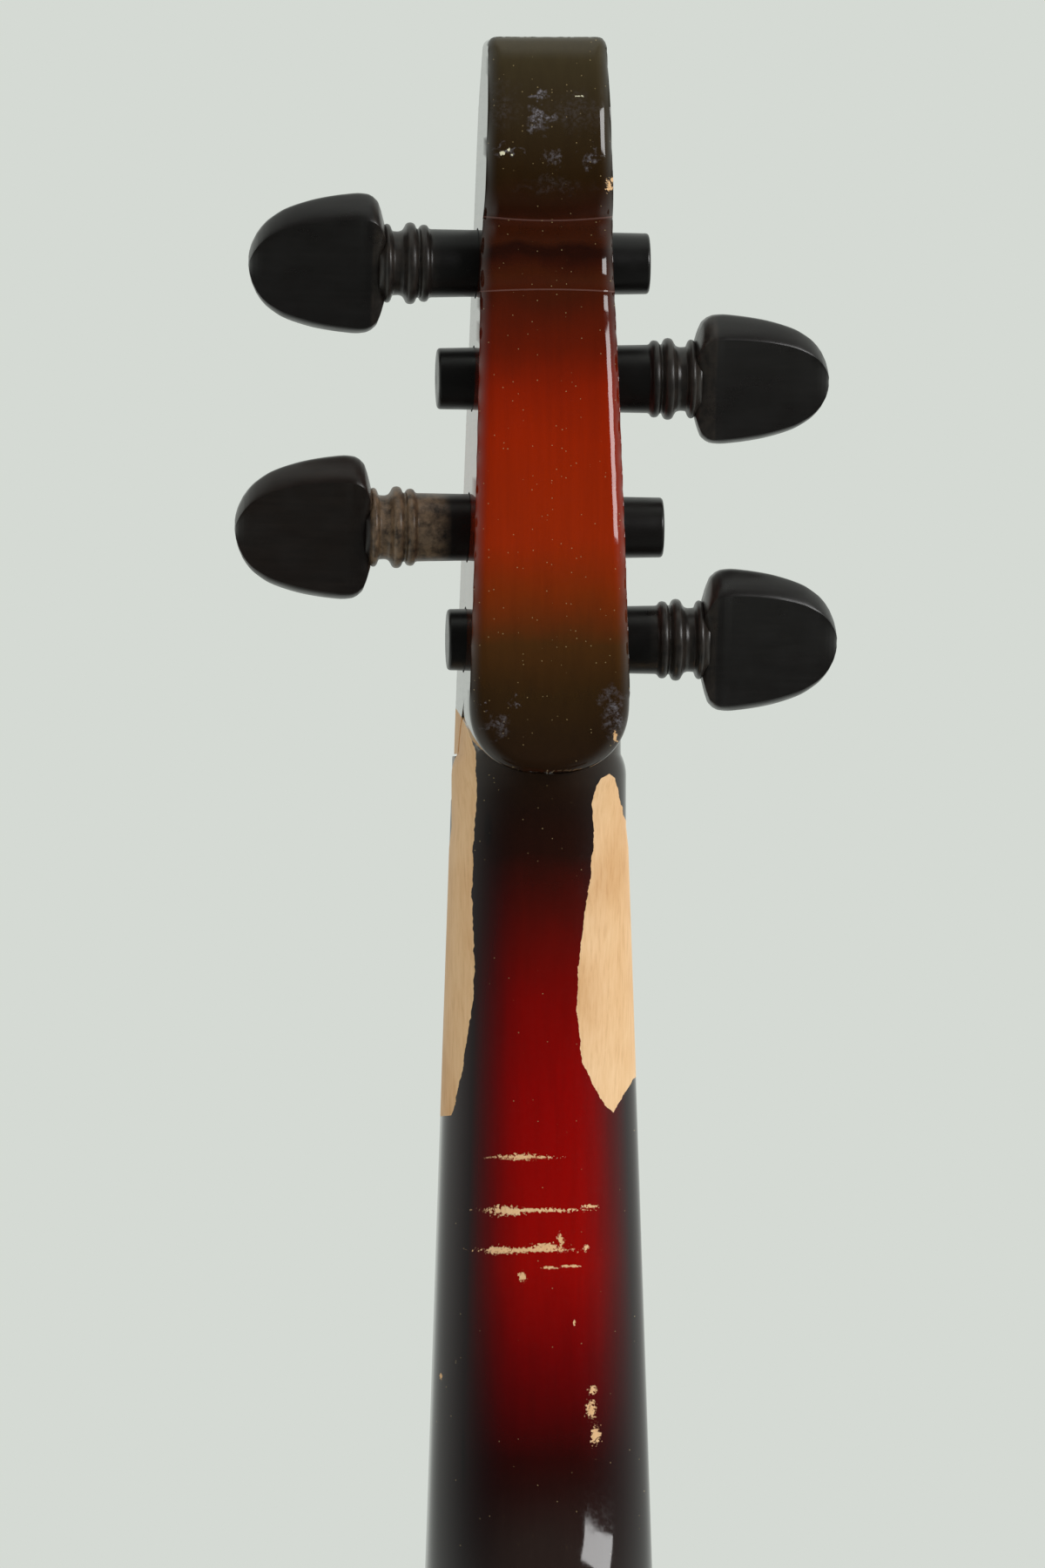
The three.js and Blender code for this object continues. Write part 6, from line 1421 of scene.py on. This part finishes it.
def makeChinrest():
    size = chinSize
    front, back, edge = size["front"], size["back"], size["edge"]
    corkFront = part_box("chinrest_cork_low")[0].y / mm
    oval = arcPoints(size["cupX"], size["cupZ"], size["cupHalf"], 0, 360, 96, -size["cupDeep"])[:-1]
    piece = padSolid("chinrest_plate", oval, front, back, edge, 10)
    half, low = size["tongueHalf"], size["barrelZ"] - size["barrel"] - 4
    line = roundedOutline(-half, half, low, low + size["tongueLength"], size["tongueCorner"])
    tongue = padSolid("tongue", line, front, back, edge, 10)
    # the cup for the chin is an oval dish, a little smaller than the plate
    reach = (size["cupHalf"] * 0.86, size["sink"], size["cupDeep"] * 0.84)
    spot = (size["cupX"], front - size["sink"] * 0.1, size["cupZ"])
    bm = bmesh.new()
    bmesh.ops.create_uvsphere(bm, u_segments=72, v_segments=36, radius=1)
    bmesh.ops.scale(bm, verts=bm.verts[:], vec=reach)
    bmesh.ops.translate(bm, verts=bm.verts[:], vec=spot)
    dish = finished(bm, "dish")
    feet = []
    for side in (-1, 1):
        x0, x1 = side * size["spread"] - size["footHalf"], side * size["spread"] + size["footHalf"]
        feet.append(boxSolid(x0, x1, back - edge, corkFront - 0.3, size["footLow"], size["footHigh"]))
    combined(piece, [tongue] + feet, "UNION")
    combined(piece, [dish], "DIFFERENCE", 24)
    dressed(piece, "chinrest_plate", "ebony")


# Windings on the pegs, and strings
windSize = {"gap": 0.3, "run": 3, "steps": 30}


def windingPoints(note):
    radius, place, turns, pitch, windEnd = strings[note]
    side, height, reach, _ = pegRows["peg_" + note]
    wrap = shankRadius(reach - windEnd) + windSize["gap"] + radius
    centreY, centreZ = pegShape["axisDepth"], height
    target = Vector((nutX(place), nutTop(radius, place), nutSize["half"] + 0.3))
    away = math.hypot(target.y - centreY, target.z - centreZ)
    tangent = math.atan2(target.z - centreZ, target.y - centreY) - math.acos(wrap / away)
    points = []
    count = turns * windSize["steps"]
    for i in range(count + 1):
        back = (count - i) / windSize["steps"]
        angle = tangent + 2 * math.pi * back
        x = side * (windEnd - pitch * back)
        points.append(Vector((x, centreY + wrap * math.cos(angle), centreZ + wrap * math.sin(angle))))
    first = (points[0] - points[1]).normalized()
    points.insert(0, points[0] + first * 2 * radius)
    leave = points[-1]
    heading = (target - leave).normalized()
    points.append(leave + heading * (windSize["run"] - 0.1))
    return points, leave + heading * windSize["run"], target


def silked(piece, isSilk):
    # the ends of a wound string are wrapped with thread
    piece.data.materials.append(materials["silk"])
    for face in piece.data.polygons:
        if isSilk(face.center / mm):
            face.material_index = 1


def bentLine(points, radius=0.8, steps=5):
    # a line whose corners are rounded
    spots = [Vector(p) for p in points]
    line = [spots[0]]
    for a, b, c in zip(spots, spots[1:], spots[2:]):
        before, after = (a - b), (c - b)
        cut = min(radius, before.length / 2.2, after.length / 2.2)
        start, end = b + before.normalized() * cut, b + after.normalized() * cut
        line += geometry.interpolate_bezier(start, along(start, b, 0.6), along(end, b, 0.6), end, steps + 1)
    return line + [spots[-1]]


# The fine tuner, in the tailpiece's frame: heights are above its seat
tunerSize = {
    "half": 4, "gap": 0.3, "axisZ": -20.5, "hookZ": -12.2, "hook": 7.23, "stemLow": 5.1, "stemLength": 6.4,
    "stem": 1.4, "root": 1.32, "crest": 1.5, "pitch": 0.38, "turns": 16, "ringLow": 7.1, "ringHeight": 1.4,
    "ringInner": 1.8, "ringOuter": 3.2,
}


def tunerSpot():
    x = tailX(strings["e"][1])
    return x, tailSurface(x - tunerSize["half"]) - tunerSize["gap"]


# Heights where the strings' thread wrapping shows: above the first, and between the two of the tail
silkSpans = {"head": 311, "tail": (-79, -30)}


def makeStrings():
    low, high = silkSpans["tail"]
    for note, (radius, place, *_) in strings.items():
        points, start, target = windingPoints(note)
        winding = tube("winding_" + note, points, radius, 14, neckPlace)
        dressed(winding, "winding_" + note, "steel", "peg_" + note)
        if note != "e":
            silked(winding, lambda spot: True)
        x = tailX(place)
        overNut = Vector((nutX(place), nutTop(radius, place), nutSize["rounding"] - nutSize["half"]))
        line = [neckPlace @ start, neckPlace @ target, neckPlace @ overNut]
        line.append(Vector((bridgeX(place), bridgeY(radius, place), bridgeSize["z"])))
        if note == "e":
            line.append(tailPlace @ Vector((x, tunerSpot()[1] - tunerSize["hook"], tunerSize["hookZ"])))
        else:
            top, slot = tailSurface(x), -tailSize["slot"]
            over = top - tailSize["fretRise"] - 0.3 - radius
            line.append(tailPlace @ Vector((x, over, -tailSize["fretInset"])))
            line.append(tailPlace @ Vector((x, top + radius, slot + tailSize["hole"] / 2)))
            line.append(tailPlace @ Vector((x, top + 2, slot)))
        piece = tube("string_" + note, bentLine(line), radius, 14)
        if note != "e":
            bm = bmesh.new()
            bmesh.ops.create_uvsphere(bm, u_segments=24, v_segments=14, radius=tailSize["hole"] - 0.45)
            ball = finished(bm, "ball", Matrix.Translation(line[-1]))
            combined(piece, [ball], "UNION", 50)
        dressed(piece, "string_" + note, "steel")
        if note != "e":
            silked(piece, lambda spot: spot.z > silkSpans["head"] or low < spot.z < high)


# Turns that point a shape made about Z backwards, forwards or to the right, as seen from the front
backwards = Matrix.Rotation(math.radians(-90), 4, "X")
forwards = Matrix.Rotation(math.radians(90), 4, "X")
sideways = Matrix.Rotation(math.radians(90), 4, "Y")


def spunPiece(name, profile, place, steps=48, sharpAngle=30):
    bm = bmesh.new()
    spunShape(bm, profile, steps)
    return finished(bm, name, place, sharpAngle)


# Pickup, saddle, end button and gut
def makePickup():
    size = pickupSize
    z, gap = bridgeSize["z"], size["clearance"]
    housing = padSolid("pickup_housing", pickupLine, size["front"], size["back"], size["edge"])
    floor = size["discFront"] + size["discThick"] + gap
    wells = []
    for side in (-1, 1):
        x = side * size["spread"]
        wells.append(rodSolid("well", (x, floor, z), (x, -45, z), size["disc"] + gap, 64))
    combined(housing, wells, "DIFFERENCE", 34)
    dressed(housing, "pickup_housing", "plastic")
    radius, thick, edge = size["disc"], size["discThick"], size["discEdge"]
    profile = [
        (0, 0), (radius - edge, 0), (radius, edge), (radius, thick - edge), (radius - edge, thick),
        (0, thick),
    ]
    for name, side in (("pickup_disc_low", -1), ("pickup_disc_high", 1)):
        place = Matrix.Translation((side * size["spread"], size["discFront"], z)) @ backwards
        disc = spunPiece(name, profile, place, 64, 38)
        dressed(disc, name, "ceramic")


def makeSaddle():
    bm = saddleSolid(0)
    bevelEdges(bm, saddleSize["bevel"], 20, 3)
    dressed(finished(bm, "saddle"), "saddle", "ebony")


buttonProfile = [
    # radius and height outwards from the body's bottom edge
    (0, -24), (3.2, -24), (3.9, -23.2), (3.9, 0.3), (6.7, 0.3), (7, 0.6), (7, 2.5), (6.6, 3), (4.9, 3.15),
    (4.1, 3.6), (3.9, 4.6), (3.9, 7.2), (4.3, 8.2), (5.6, 8.75), (6.6, 8.95), (7.05, 9.5), (7.2, 10.4),
    (7.15, 11.6), (6.8, 12.8), (6.1, 13.8), (5.0, 14.45), (3.2, 14.9), (0, 15.1),
]


def makeButton():
    turn = Matrix.Rotation(math.radians(180), 4, "X")
    place = Matrix.Translation((0, rimMiddle, -bodyShape["halfLength"])) @ turn
    button = spunPiece("end_button", buttonProfile, place, 64)
    dressed(button, "end_button", "ebony")


# The gut's two strands, how far apart, and its loop round the button
gutSize = {
    "across": 5.2, "loop": 5.3, "over": -38.9, "outside": -179.4, "loopZ": -183.8, "radius": 1.1, "bend": 1.6,
}


def gutLine():
    size, end = gutSize, tailSize["gutInset"] - tailSize["length"]
    x, over, outside, loopZ = size["across"], size["over"], size["outside"], size["loopZ"]
    strand = [tailPlace @ Vector((x, 0, z)) for z in (end - 0.3, -tailSize["length"] - 0.3)]
    strand += [Vector(p) for p in (
        (x, over, -172.4), (x, over, -175.9), (x, over + 1.1, outside + 1.1), (x, over + 5, outside - 0.3),
        (x, along(over, rimMiddle, 0.6), along(outside, loopZ, 0.55)), (size["loop"], -16.1, loopZ),
    )]
    ring = [Vector((x, y, loopZ)) for x, y in arcPoints(0, rimMiddle, size["loop"], 0, 180, 8)]
    return strand + ring + [Vector((-p.x, p.y, p.z)) for p in reversed(strand)]


def makeGut():
    piece = tube("tail_gut", bentLine(gutLine(), gutSize["bend"], 6), gutSize["radius"], 16)
    dressed(piece, "tail_gut", "nylon")


# Small hardware kept in the shape of its solid, with the edges broken
def fromSolid(name, look, width, angle, segments, body="violin"):
    bm = bmesh.new()
    bm.from_mesh(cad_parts[name].data)
    bmesh.ops.scale(bm, verts=bm.verts[:], vec=(1 / mm, 1 / mm, 1 / mm))
    bmesh.ops.remove_doubles(bm, verts=bm.verts[:], dist=0.002)
    bmesh.ops.dissolve_limit(bm, angle_limit=math.radians(1), verts=bm.verts[:], edges=bm.edges[:])
    bevelEdges(bm, width, angle, segments)
    dressed(finished(bm, name), name, look, body)


def ringProfile(inner, outer, low, high, edge):
    # a flat ring with broken outer edges, closed on itself
    return [
        (inner, low), (outer - edge, low), (outer, low + edge), (outer, high - edge), (outer - edge, high),
        (inner, high), (inner, low),
    ]


def makeTuner():
    size = tunerSize
    x, seat = tunerSpot()
    place = tailPlace @ Matrix.Translation((x, seat, size["axisZ"])) @ forwards
    fromSolid("tuner_body", "nickel", 0.3, 40, 3)
    fromSolid("tuner_lever", "nickel", 0.25, 40, 3, "tuner_lever")
    low, high = size["stemLow"], size["stemLow"] + size["stemLength"]
    turn = [(size["root"], 0), (size["crest"], 0.13), (size["crest"], 0.19), (size["root"], 0.32)]
    stem = [(0, low)] + threadRows(turn, low + 0.2, size["pitch"], size["turns"])
    piece = spunPiece("tuner_stem", stem + [(size["stem"], high), (0, high)], place, 32, 60)
    dressed(piece, "tuner_stem", "nickel", "tuner_stem")
    low, high = size["ringLow"], size["ringLow"] + size["ringHeight"]
    piece = spunPiece("tuner_ring", ringProfile(size["ringInner"], size["ringOuter"], low, high, 0.3), place)
    dressed(piece, "tuner_ring", "nickel")
    fromSolid("tuner_thumb_head", "nickel", 0.3, 50, 3, "tuner_thumb")


# Clamp of the chinrest
clampSize = {
    "stud": 1.5, "studEdge": 0.3, "barrelStart": -24, "barrelLength": 16, "bore": 1.8, "rounding": 0.7,
    "groove": 0.3, "grooveHalf": 0.35, "grooveInset": 2.6, "hole": 0.7,
    "footFront": 2.6, "footBack": 5.6, "footHalf": 30.5, "footEdge": 0.9,
}


def barrelProfile():
    # rounded at both ends, with a groove near each
    size, radius = clampSize, chinSize["barrel"]
    bore, edge, inner = size["bore"], size["rounding"], radius - size["rounding"]
    start, end = size["barrelStart"], size["barrelStart"] + size["barrelLength"]
    profile = [(bore, start)] + arcPoints(inner, start + edge, edge, -90, 0, 6)
    for z in (start + size["grooveInset"], end - size["grooveInset"]):
        half = size["grooveHalf"]
        profile += [(radius, z - half), (radius - size["groove"], z), (radius, z + half)]
    return profile + arcPoints(inner, end - edge, edge, 0, 90, 6) + [(bore, end), (bore, start)]


def makeClamp():
    chin, size = chinSize, clampSize
    z = chin["barrelZ"]
    middle = size["barrelStart"] + size["barrelLength"] / 2
    for tag, side in (("low", -1), ("high", 1)):
        x = side * chin["spread"]
        fromSolid("chinrest_cork_" + tag, "cork", 0.3, 40, 2)
        studPlace = Matrix.Translation((x, 0, z)) @ backwards
        low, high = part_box("chinrest_stud_" + tag)
        start, end, radius, edge = low.y / mm, high.y / mm, size["stud"], size["studEdge"]
        stud = [(0, start), (radius, start), (radius, end - edge), (radius - edge, end), (0, end)]
        piece = spunPiece("chinrest_stud_" + tag, stud, studPlace, 32)
        dressed(piece, "chinrest_stud_" + tag, "nickel")
        piece = spunPiece("chinrest_barrel_" + tag, barrelProfile(), studPlace, 56)
        holes = []
        for start, end in ((-6, -1.9), (1.9, 6)):
            holes.append(rodSolid("hole", (x + start, middle, z), (x + end, middle, z), size["hole"], 20))
        combined(piece, holes, "DIFFERENCE", 34)
        dressed(piece, "chinrest_barrel_" + tag, "nickel", "barrel_" + tag)
    low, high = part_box("chinrest_bracket")
    half, front = size["footHalf"], size["footFront"]
    line = roundedOutline(-half, half, z - chin["barrel"], chin["footHigh"], chin["barrel"])
    foot = padSolid("chinrest_bracket", line, front, size["footBack"], size["footEdge"])
    pins = []
    for x in (-chin["spread"], chin["spread"]):
        pins.append(rodSolid("pin", (x, low.y / mm, z), (x, front + 1.5, z), size["stud"], 32))
    combined(foot, pins, "UNION", 34)
    dressed(foot, "chinrest_bracket", "nickel", "clamp")
    fromSolid("chinrest_bracket_cork", "cork", 0.3, 40, 2, "clamp")


# Controls, jack, leads and cover
knobSize = {
    "lift": 1.2, "flutes": 24, "flute": 0.75, "lowHeight": 3.3, "low": 9.05, "topHeight": 15, "top": 8.05,
}
knobProfile = [
    # radius and height: the dished top, down over the skirt, and up the hollow underneath
    (0, 13.75), (5.2, 13.75), (5.5, 14), *arcPoints(6.6, 13, 1.0, 90, 0, 6), (8.55, 3.6), (8.8, 3.2),
    (9.3, 2.95), (9.5, 2.7), (9.5, 0.3), (9.2, 0), (7.5, 0), (7.5, 4), (3.0, 4), (3.0, 12), (0, 12),
]
potSize = {
    "gap": 0.3, "shaft": 2.7, "shaftEdge": 0.3, "lugStart": 6.6, "lugEnd": 14.2, "lugLow": 2,
    "lugThick": 0.9, "lugHalf": 1, "lugPitch": 5,
}
potProfile = [
    # radius, and height over the face that meets the wood: casing, threaded bush and its bore
    (0, -8), *arcPoints(7.6, -7.4, 0.6, -90, 0, 6), (8.2, -1.2), (7.9, 0), (3.6, 0),
    *threadRows([(3.6, 0), (3.38, 0.2), (3.6, 0.4)], 5, 0.6, 11),
    (3.6, 11.7), (3.4, 12), (3.0, 12), (3.0, -6), (0, -6),
]


def makePot(name, z, place):
    size, face = potSize, cavitySize["roof"] + potSize["gap"]
    casing = spunPiece(name + "_pot", [(r, h - face) for r, h in potProfile], place, 56)
    lugs = []
    x0, x1, y0 = potX - size["lugEnd"], potX - size["lugStart"], face + size["lugLow"]
    for step in (-1, 0, 1):
        middle = z + step * size["lugPitch"]
        z0, z1 = middle - size["lugHalf"], middle + size["lugHalf"]
        lugs.append(boxSolid(x0, x1, y0, y0 + size["lugThick"], z0, z1))
    combined(casing, lugs, "UNION", 34)
    dressed(casing, name + "_pot", "nickel")
    fromSolid(name + "_nut", "nickel", 0.25, 40, 2)
    low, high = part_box(name + "_shaft")
    bottom, top, radius, edge = -high.y / mm, -low.y / mm, size["shaft"], size["shaftEdge"]
    profile = [(0, bottom), (radius, bottom), (radius, top - edge), (radius - edge, top), (0, top)]
    shaft = spunPiece(name + "_shaft", profile, place, 36)
    dressed(shaft, name + "_shaft", "nickel", name)


def makeKnob(name, z, place):
    size = knobSize
    base = size["lift"] - landing
    knob = spunPiece(name + "_knob", [(r, h + base) for r, h in knobProfile], place, 96)
    lows = arcPoints(potX, z, size["low"], 0, 360, size["flutes"])[:-1]
    tops = arcPoints(potX, z, size["top"], 0, 360, size["flutes"])[:-1]
    flutes = []
    for (x0, z0), (x1, z1) in zip(lows, tops):
        start, end = (x0, -(base + size["lowHeight"]), z0), (x1, -(base + size["topHeight"]), z1)
        flutes.append(rodSolid("flute", start, end, size["flute"], 12))
    combined(knob, flutes, "DIFFERENCE", 34)
    dressed(knob, name + "_knob", "plastic", name)


def makeControls():
    for name, z in potZ.items():
        place = Matrix.Translation((potX, 0, z)) @ forwards
        makePot(name, z, place)
        makeKnob(name, z, place)


jackSize = {
    "sleeve": 5.6, "sleeveEdge": 0.3, "thread": 8, "root": 5.35, "pitch": 0.75, "turns": 10, "bore": 3.3,
}


def makeJack():
    size = jackSize
    low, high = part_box("jack_socket")
    start, length = low.x / mm, (high.x - low.x) / mm
    place = Matrix.Translation((start, rimMiddle, jackZ)) @ sideways
    sleeve, bore, edge = size["sleeve"], size["bore"], size["sleeveEdge"]
    turn = [(sleeve, 0), (size["root"], 0.25), (sleeve, 0.5)]
    profile = [(0, 0), (sleeve - edge, 0), (sleeve, edge)]
    profile += threadRows(turn, length - size["thread"], size["pitch"], size["turns"])
    profile += [(sleeve, length - 0.35), (sleeve - 0.35, length), (bore + 0.4, length), (bore, length - 0.4)]
    piece = spunPiece("jack_socket", profile + [(bore, 2), (0, 2)], place, 56)
    dressed(piece, "jack_socket", "nickel")
    fromSolid("jack_nut", "nickel", 0.3, 40, 3)


leadRoutes = {
    "pickup_lead": [
        (18, -31.2, -21.6), (24, -27, -31), (31, -22, -41.6), (36.4, -17.9, -50), (40.8, -14.9, -57),
        (41, -16.4, -62.6), (41.6, -19.6, -66.4), (43.3, -20.1, -67),
    ],
    "tone_lead": [
        (43.3, -20.1, -77), (41.6, -19.9, -77.3), (39.2, -17, -82), (38.6, -14, -90), (39.2, -17, -98),
        (41.6, -19.9, -102.7), (43.3, -20.1, -103),
    ],
    "jack_lead": [
        (43.3, -20.1, -72), (41.4, -19.6, -72), (39.8, -15.6, -72.6), (42, -10.6, -76), (50, -8, -84),
        (59, -8, -89), (65, -10.6, -90), (68.6, -14.2, -90), (70.6, -15, -90), (72.9, -15, -90),
    ],
}


leadRadius = 0.9
# The capacitor lies across below the tone pot, with one wire to a lug and one to the casing
canSize = {"below": 13.2, "behind": 4.3, "wire": 0.4, "lugGap": 0.7, "lugBehind": 2.75, "casing": 8.3}
canEnd = [(0, -6)] + arcPoints(1.9, -5, 1.1, -90, 0, 6, 1.0)


def makeLeads():
    for name, route in leadRoutes.items():
        piece = tube(name, evenLine(route), leadRadius, 16)
        dressed(piece, name, "vinyl")
    size, tone, roof = canSize, potZ["tone"], cavitySize["roof"]
    y, z = roof + size["behind"], tone - size["below"]
    place = Matrix.Translation((potX, y, z)) @ sideways
    can = spunPiece("tone_capacitor", canEnd + [(r, -h) for r, h in reversed(canEnd)], place, 40)
    x, lugY = potX - potSize["lugEnd"] - size["lugGap"], roof + size["lugBehind"]
    route = [(potX - 5, y, z), (potX - 9, y, z), (x, (y + lugY) / 2, z + 3), (x, lugY, tone - 5)]
    wire = tube("wire", bentLine(route, 1), size["wire"], 10)
    back = roof + size["casing"]
    x = potX + 6.8
    route = [(potX + 5, y, z), (x, y, z), (x, back + 0.3, z + 3), (potX + 3, back + 0.7, -112.1)]
    ground = tube("wire", bentLine(route, 1), size["wire"], 10)
    combined(can, [wire, ground], "UNION", 40)
    dressed(can, "tone_capacitor", "resin")


coverEdge = 0.35
sinkProfile = [(0, 1), (3.3, 1), (3.3, -0.3), (1.6, -1.6), (1.6, -5), (0, -5)]
screwProfile = [
    # radius and height: flat head with a soft rim, cone, thread and point
    (0, -0.1), (2.2, -0.1), (2.75, -0.16), (3, -0.32), (1.3, -1.6),
    *threadRows([(1.3, 0), (0.95, -0.4)], -2.2, -0.8, 12), (0.9, -11.4), (0, -12),
]
screwSlot = {"half": 1.7, "halfWidth": 0.27, "depth": 0.9}


def makeCover():
    plate = padSolid("cavity_cover", coverLine, -cavitySize["cover"], 0, coverEdge, 3)
    places = [Matrix.Translation((x, 0, z)) @ backwards for x, z in screwSpots]
    combined(plate, [spunPiece("hole", sinkProfile, place, 40) for place in places], "DIFFERENCE", 34)
    dressed(plate, "cavity_cover", "plastic")
    half, width, depth = screwSlot["half"], screwSlot["halfWidth"], screwSlot["depth"]
    for i, ((x, z), place) in enumerate(zip(screwSpots, places)):
        name = "cover_screw_" + str(i + 1)
        piece = spunPiece(name, screwProfile, place, 40)
        # each screw stopped at its own angle
        turn = Matrix.Translation((x, 0, z)) @ Matrix.Rotation(math.radians(20 + 37 * i), 4, "Y")
        slots = [boxSolid(-a, a, -depth, 1, -b, b, turn) for a, b in ((half, width), (width, half))]
        combined(piece, slots, "DIFFERENCE", 34)
        dressed(piece, name, "nickel")


makeNeck()
print("neck and head made")
for peg in pegRows:
    makePeg(peg)
print("pegs made")
makeBoard()
makeNut()
makeBridge()
makeBody()
print("body, fingerboard, nut and bridge made")
makeTailpiece()
makeChinrest()
makeClamp()
makeTuner()
print("tailpiece, tuner and chinrest made")
makeStrings()
makePickup()
makeSaddle()
makeButton()
makeGut()
print("strings, pickup, saddle, end button and gut made")
makeControls()
makeJack()
makeLeads()
makeCover()
print("controls, jack, leads and cover made")


# Studio: a plain pale floor, pale surroundings and soft lamps, in metres
studio = {
    "floor": -0.1935, "background": "#d5dad4", "fill": 0.5, "near": 0.45, "far": 1.6, "dark": 0.05,
    "eye": 0.32,
}
lamps = {
    # place, aim, width, height, power, shown in reflections
    "window": ((-1.48, 1.24, 0.76), (0, 0, 0.32), 1.05, 0.6, 17.0, True),
    "right": ((-1.3, 0.75, 0.8), (0, 0, 0.25), 0.8, 1.0, 7.0, False),
    "left": ((1.2, 0.9, 0.7), (0, 0, 0.2), 0.8, 1.0, 3.0, False),
    "over": ((0.0, 0.55, 1.75), (0, 0, 0.3), 0.9, 0.5, 9.0, False),
    "front": ((-0.7, -1.4, 0.9), (0, 0, 0.0), 1.0, 1.0, 16.0, False),
}


def mirroredLight(tree, direction):
    # what glossy surfaces see: pale walls at the sides and overhead, and a dark room behind and a dark floor
    parts = addNode(tree, "SeparateXYZ", {"Vector": direction}).outputs
    walls = addNode(tree, "MapRange", {
        "Value": parts["Y"], "From Min": -0.4, "From Max": 0.95, "To Min": 1.0, "To Max": studio["dark"],
    }, interpolation_type="SMOOTHSTEP")
    aside = addNode(tree, "Math", {0: parts["X"]}, operation="ABSOLUTE")
    aside = addNode(tree, "MapRange", {
        "Value": aside, "From Min": 0.08, "From Max": 0.6, "To Min": 0.06, "To Max": 1.0,
    }, interpolation_type="SMOOTHSTEP")
    level = addNode(tree, "MapRange", {
        "Value": parts["Z"], "From Min": -0.95, "From Max": -0.4, "To Min": aside, "To Max": 1.0,
    }, interpolation_type="SMOOTHSTEP")
    walls = addNode(tree, "Math", {0: walls, 1: level}, operation="MULTIPLY")
    above = addNode(tree, "MapRange", {
        "Value": parts["Z"], "From Min": 0.6, "From Max": 1.0, "To Min": 0.0, "To Max": 0.9,
    }, interpolation_type="SMOOTHSTEP")
    return addNode(tree, "Math", {0: walls, 1: above}, operation="MAXIMUM")


def makeFloor():
    bm = bmesh.new()
    bmesh.ops.create_grid(bm, x_segments=2, y_segments=2, size=30)
    bmesh.ops.translate(bm, verts=bm.verts[:], vec=(0, 0, studio["floor"]))
    mesh = bpy.data.meshes.new("floor")
    bm.to_mesh(mesh)
    bm.free()
    floor = bpy.data.objects.new("floor", mesh)
    scene.collection.objects.link(floor)
    material, tree = startMaterial("painted studio floor")
    spot = addNode(tree, "TexCoord").outputs["Object"]
    tone = addNode(tree, "TexNoise", {"Vector": spot, "Scale": 2.0, "Detail": 3, "Roughness": 0.5})
    tone = addNode(tree, "ValToRGB", {"Fac": tone}, [(0.3, "#d0d5cf"), (0.7, "#d5dad4")])
    paint = addNode(tree, "BsdfPrincipled", {"Base Color": tone, "Roughness": 0.85})
    # the floor runs into the pale surroundings away from the object, and mirrors show those in its place
    away = addNode(tree, "VectorMath", {0: spot}, operation="LENGTH")
    away = {"Value": away, "From Min": studio["near"], "From Max": studio["far"]}
    away = addNode(tree, "MapRange", away, interpolation_type="SMOOTHSTEP")
    ray = addNode(tree, "LightPath").outputs
    fade = addNode(tree, "Math", {0: away, 1: ray["Is Glossy Ray"]}, operation="MAXIMUM")
    heading = addNode(tree, "VectorMath", {0: spot, 1: (0, 0, studio["eye"])}, operation="SUBTRACT")
    heading = addNode(tree, "VectorMath", {0: heading}, operation="NORMALIZE")
    level = {0: ray["Is Glossy Ray"], 2: 1.0, 3: mirroredLight(tree, heading)}
    level = addNode(tree, "Mix", level, data_type="FLOAT")
    glow = addNode(tree, "Emission", {"Color": studio["background"], "Strength": level})
    addNode(tree, "OutputMaterial", {"Surface": addNode(tree, "MixShader", {0: fade, 1: paint, 2: glow})})
    floor.data.materials.append(material)


def makeWorld():
    world = bpy.data.worlds.new("studio")
    world.use_nodes = True
    tree = world.node_tree
    tree.nodes.clear()
    ray = addNode(tree, "LightPath").outputs
    pale = addNode(tree, "Background", {"Color": studio["background"], "Strength": 1.0})
    lit = addNode(tree, "Background", {"Color": "#eef0f2", "Strength": studio["fill"]})
    level = mirroredLight(tree, addNode(tree, "TexCoord").outputs["Generated"])
    mirrored = addNode(tree, "Background", {"Color": studio["background"], "Strength": level})
    seen = {0: ray["Is Camera Ray"], 1: ray["Is Transmission Ray"]}
    seen = addNode(tree, "Math", seen, operation="MAXIMUM")
    inner = addNode(tree, "MixShader", {0: ray["Is Glossy Ray"], 1: lit, 2: mirrored})
    addNode(tree, "OutputWorld", {"Surface": addNode(tree, "MixShader", {0: seen, 1: inner, 2: pale})})
    scene.world = world


def makeLamps():
    for name, (place, aim, width, height, power, mirrored) in lamps.items():
        data = bpy.data.lights.new(name, "AREA")
        data.shape = "RECTANGLE"
        data.size, data.size_y, data.energy = width, height, power
        lamp = bpy.data.objects.new(name, data)
        scene.collection.objects.link(lamp)
        way = Vector(aim) - Vector(place)
        lamp.matrix_world = Matrix.Translation(place) @ way.to_track_quat("-Z", "Y").to_matrix().to_4x4()
        lamp.visible_camera = False
        lamp.visible_glossy = mirrored


makeFloor()
makeWorld()
makeLamps()
scene.view_settings.view_transform = "Standard"
print("studio made")
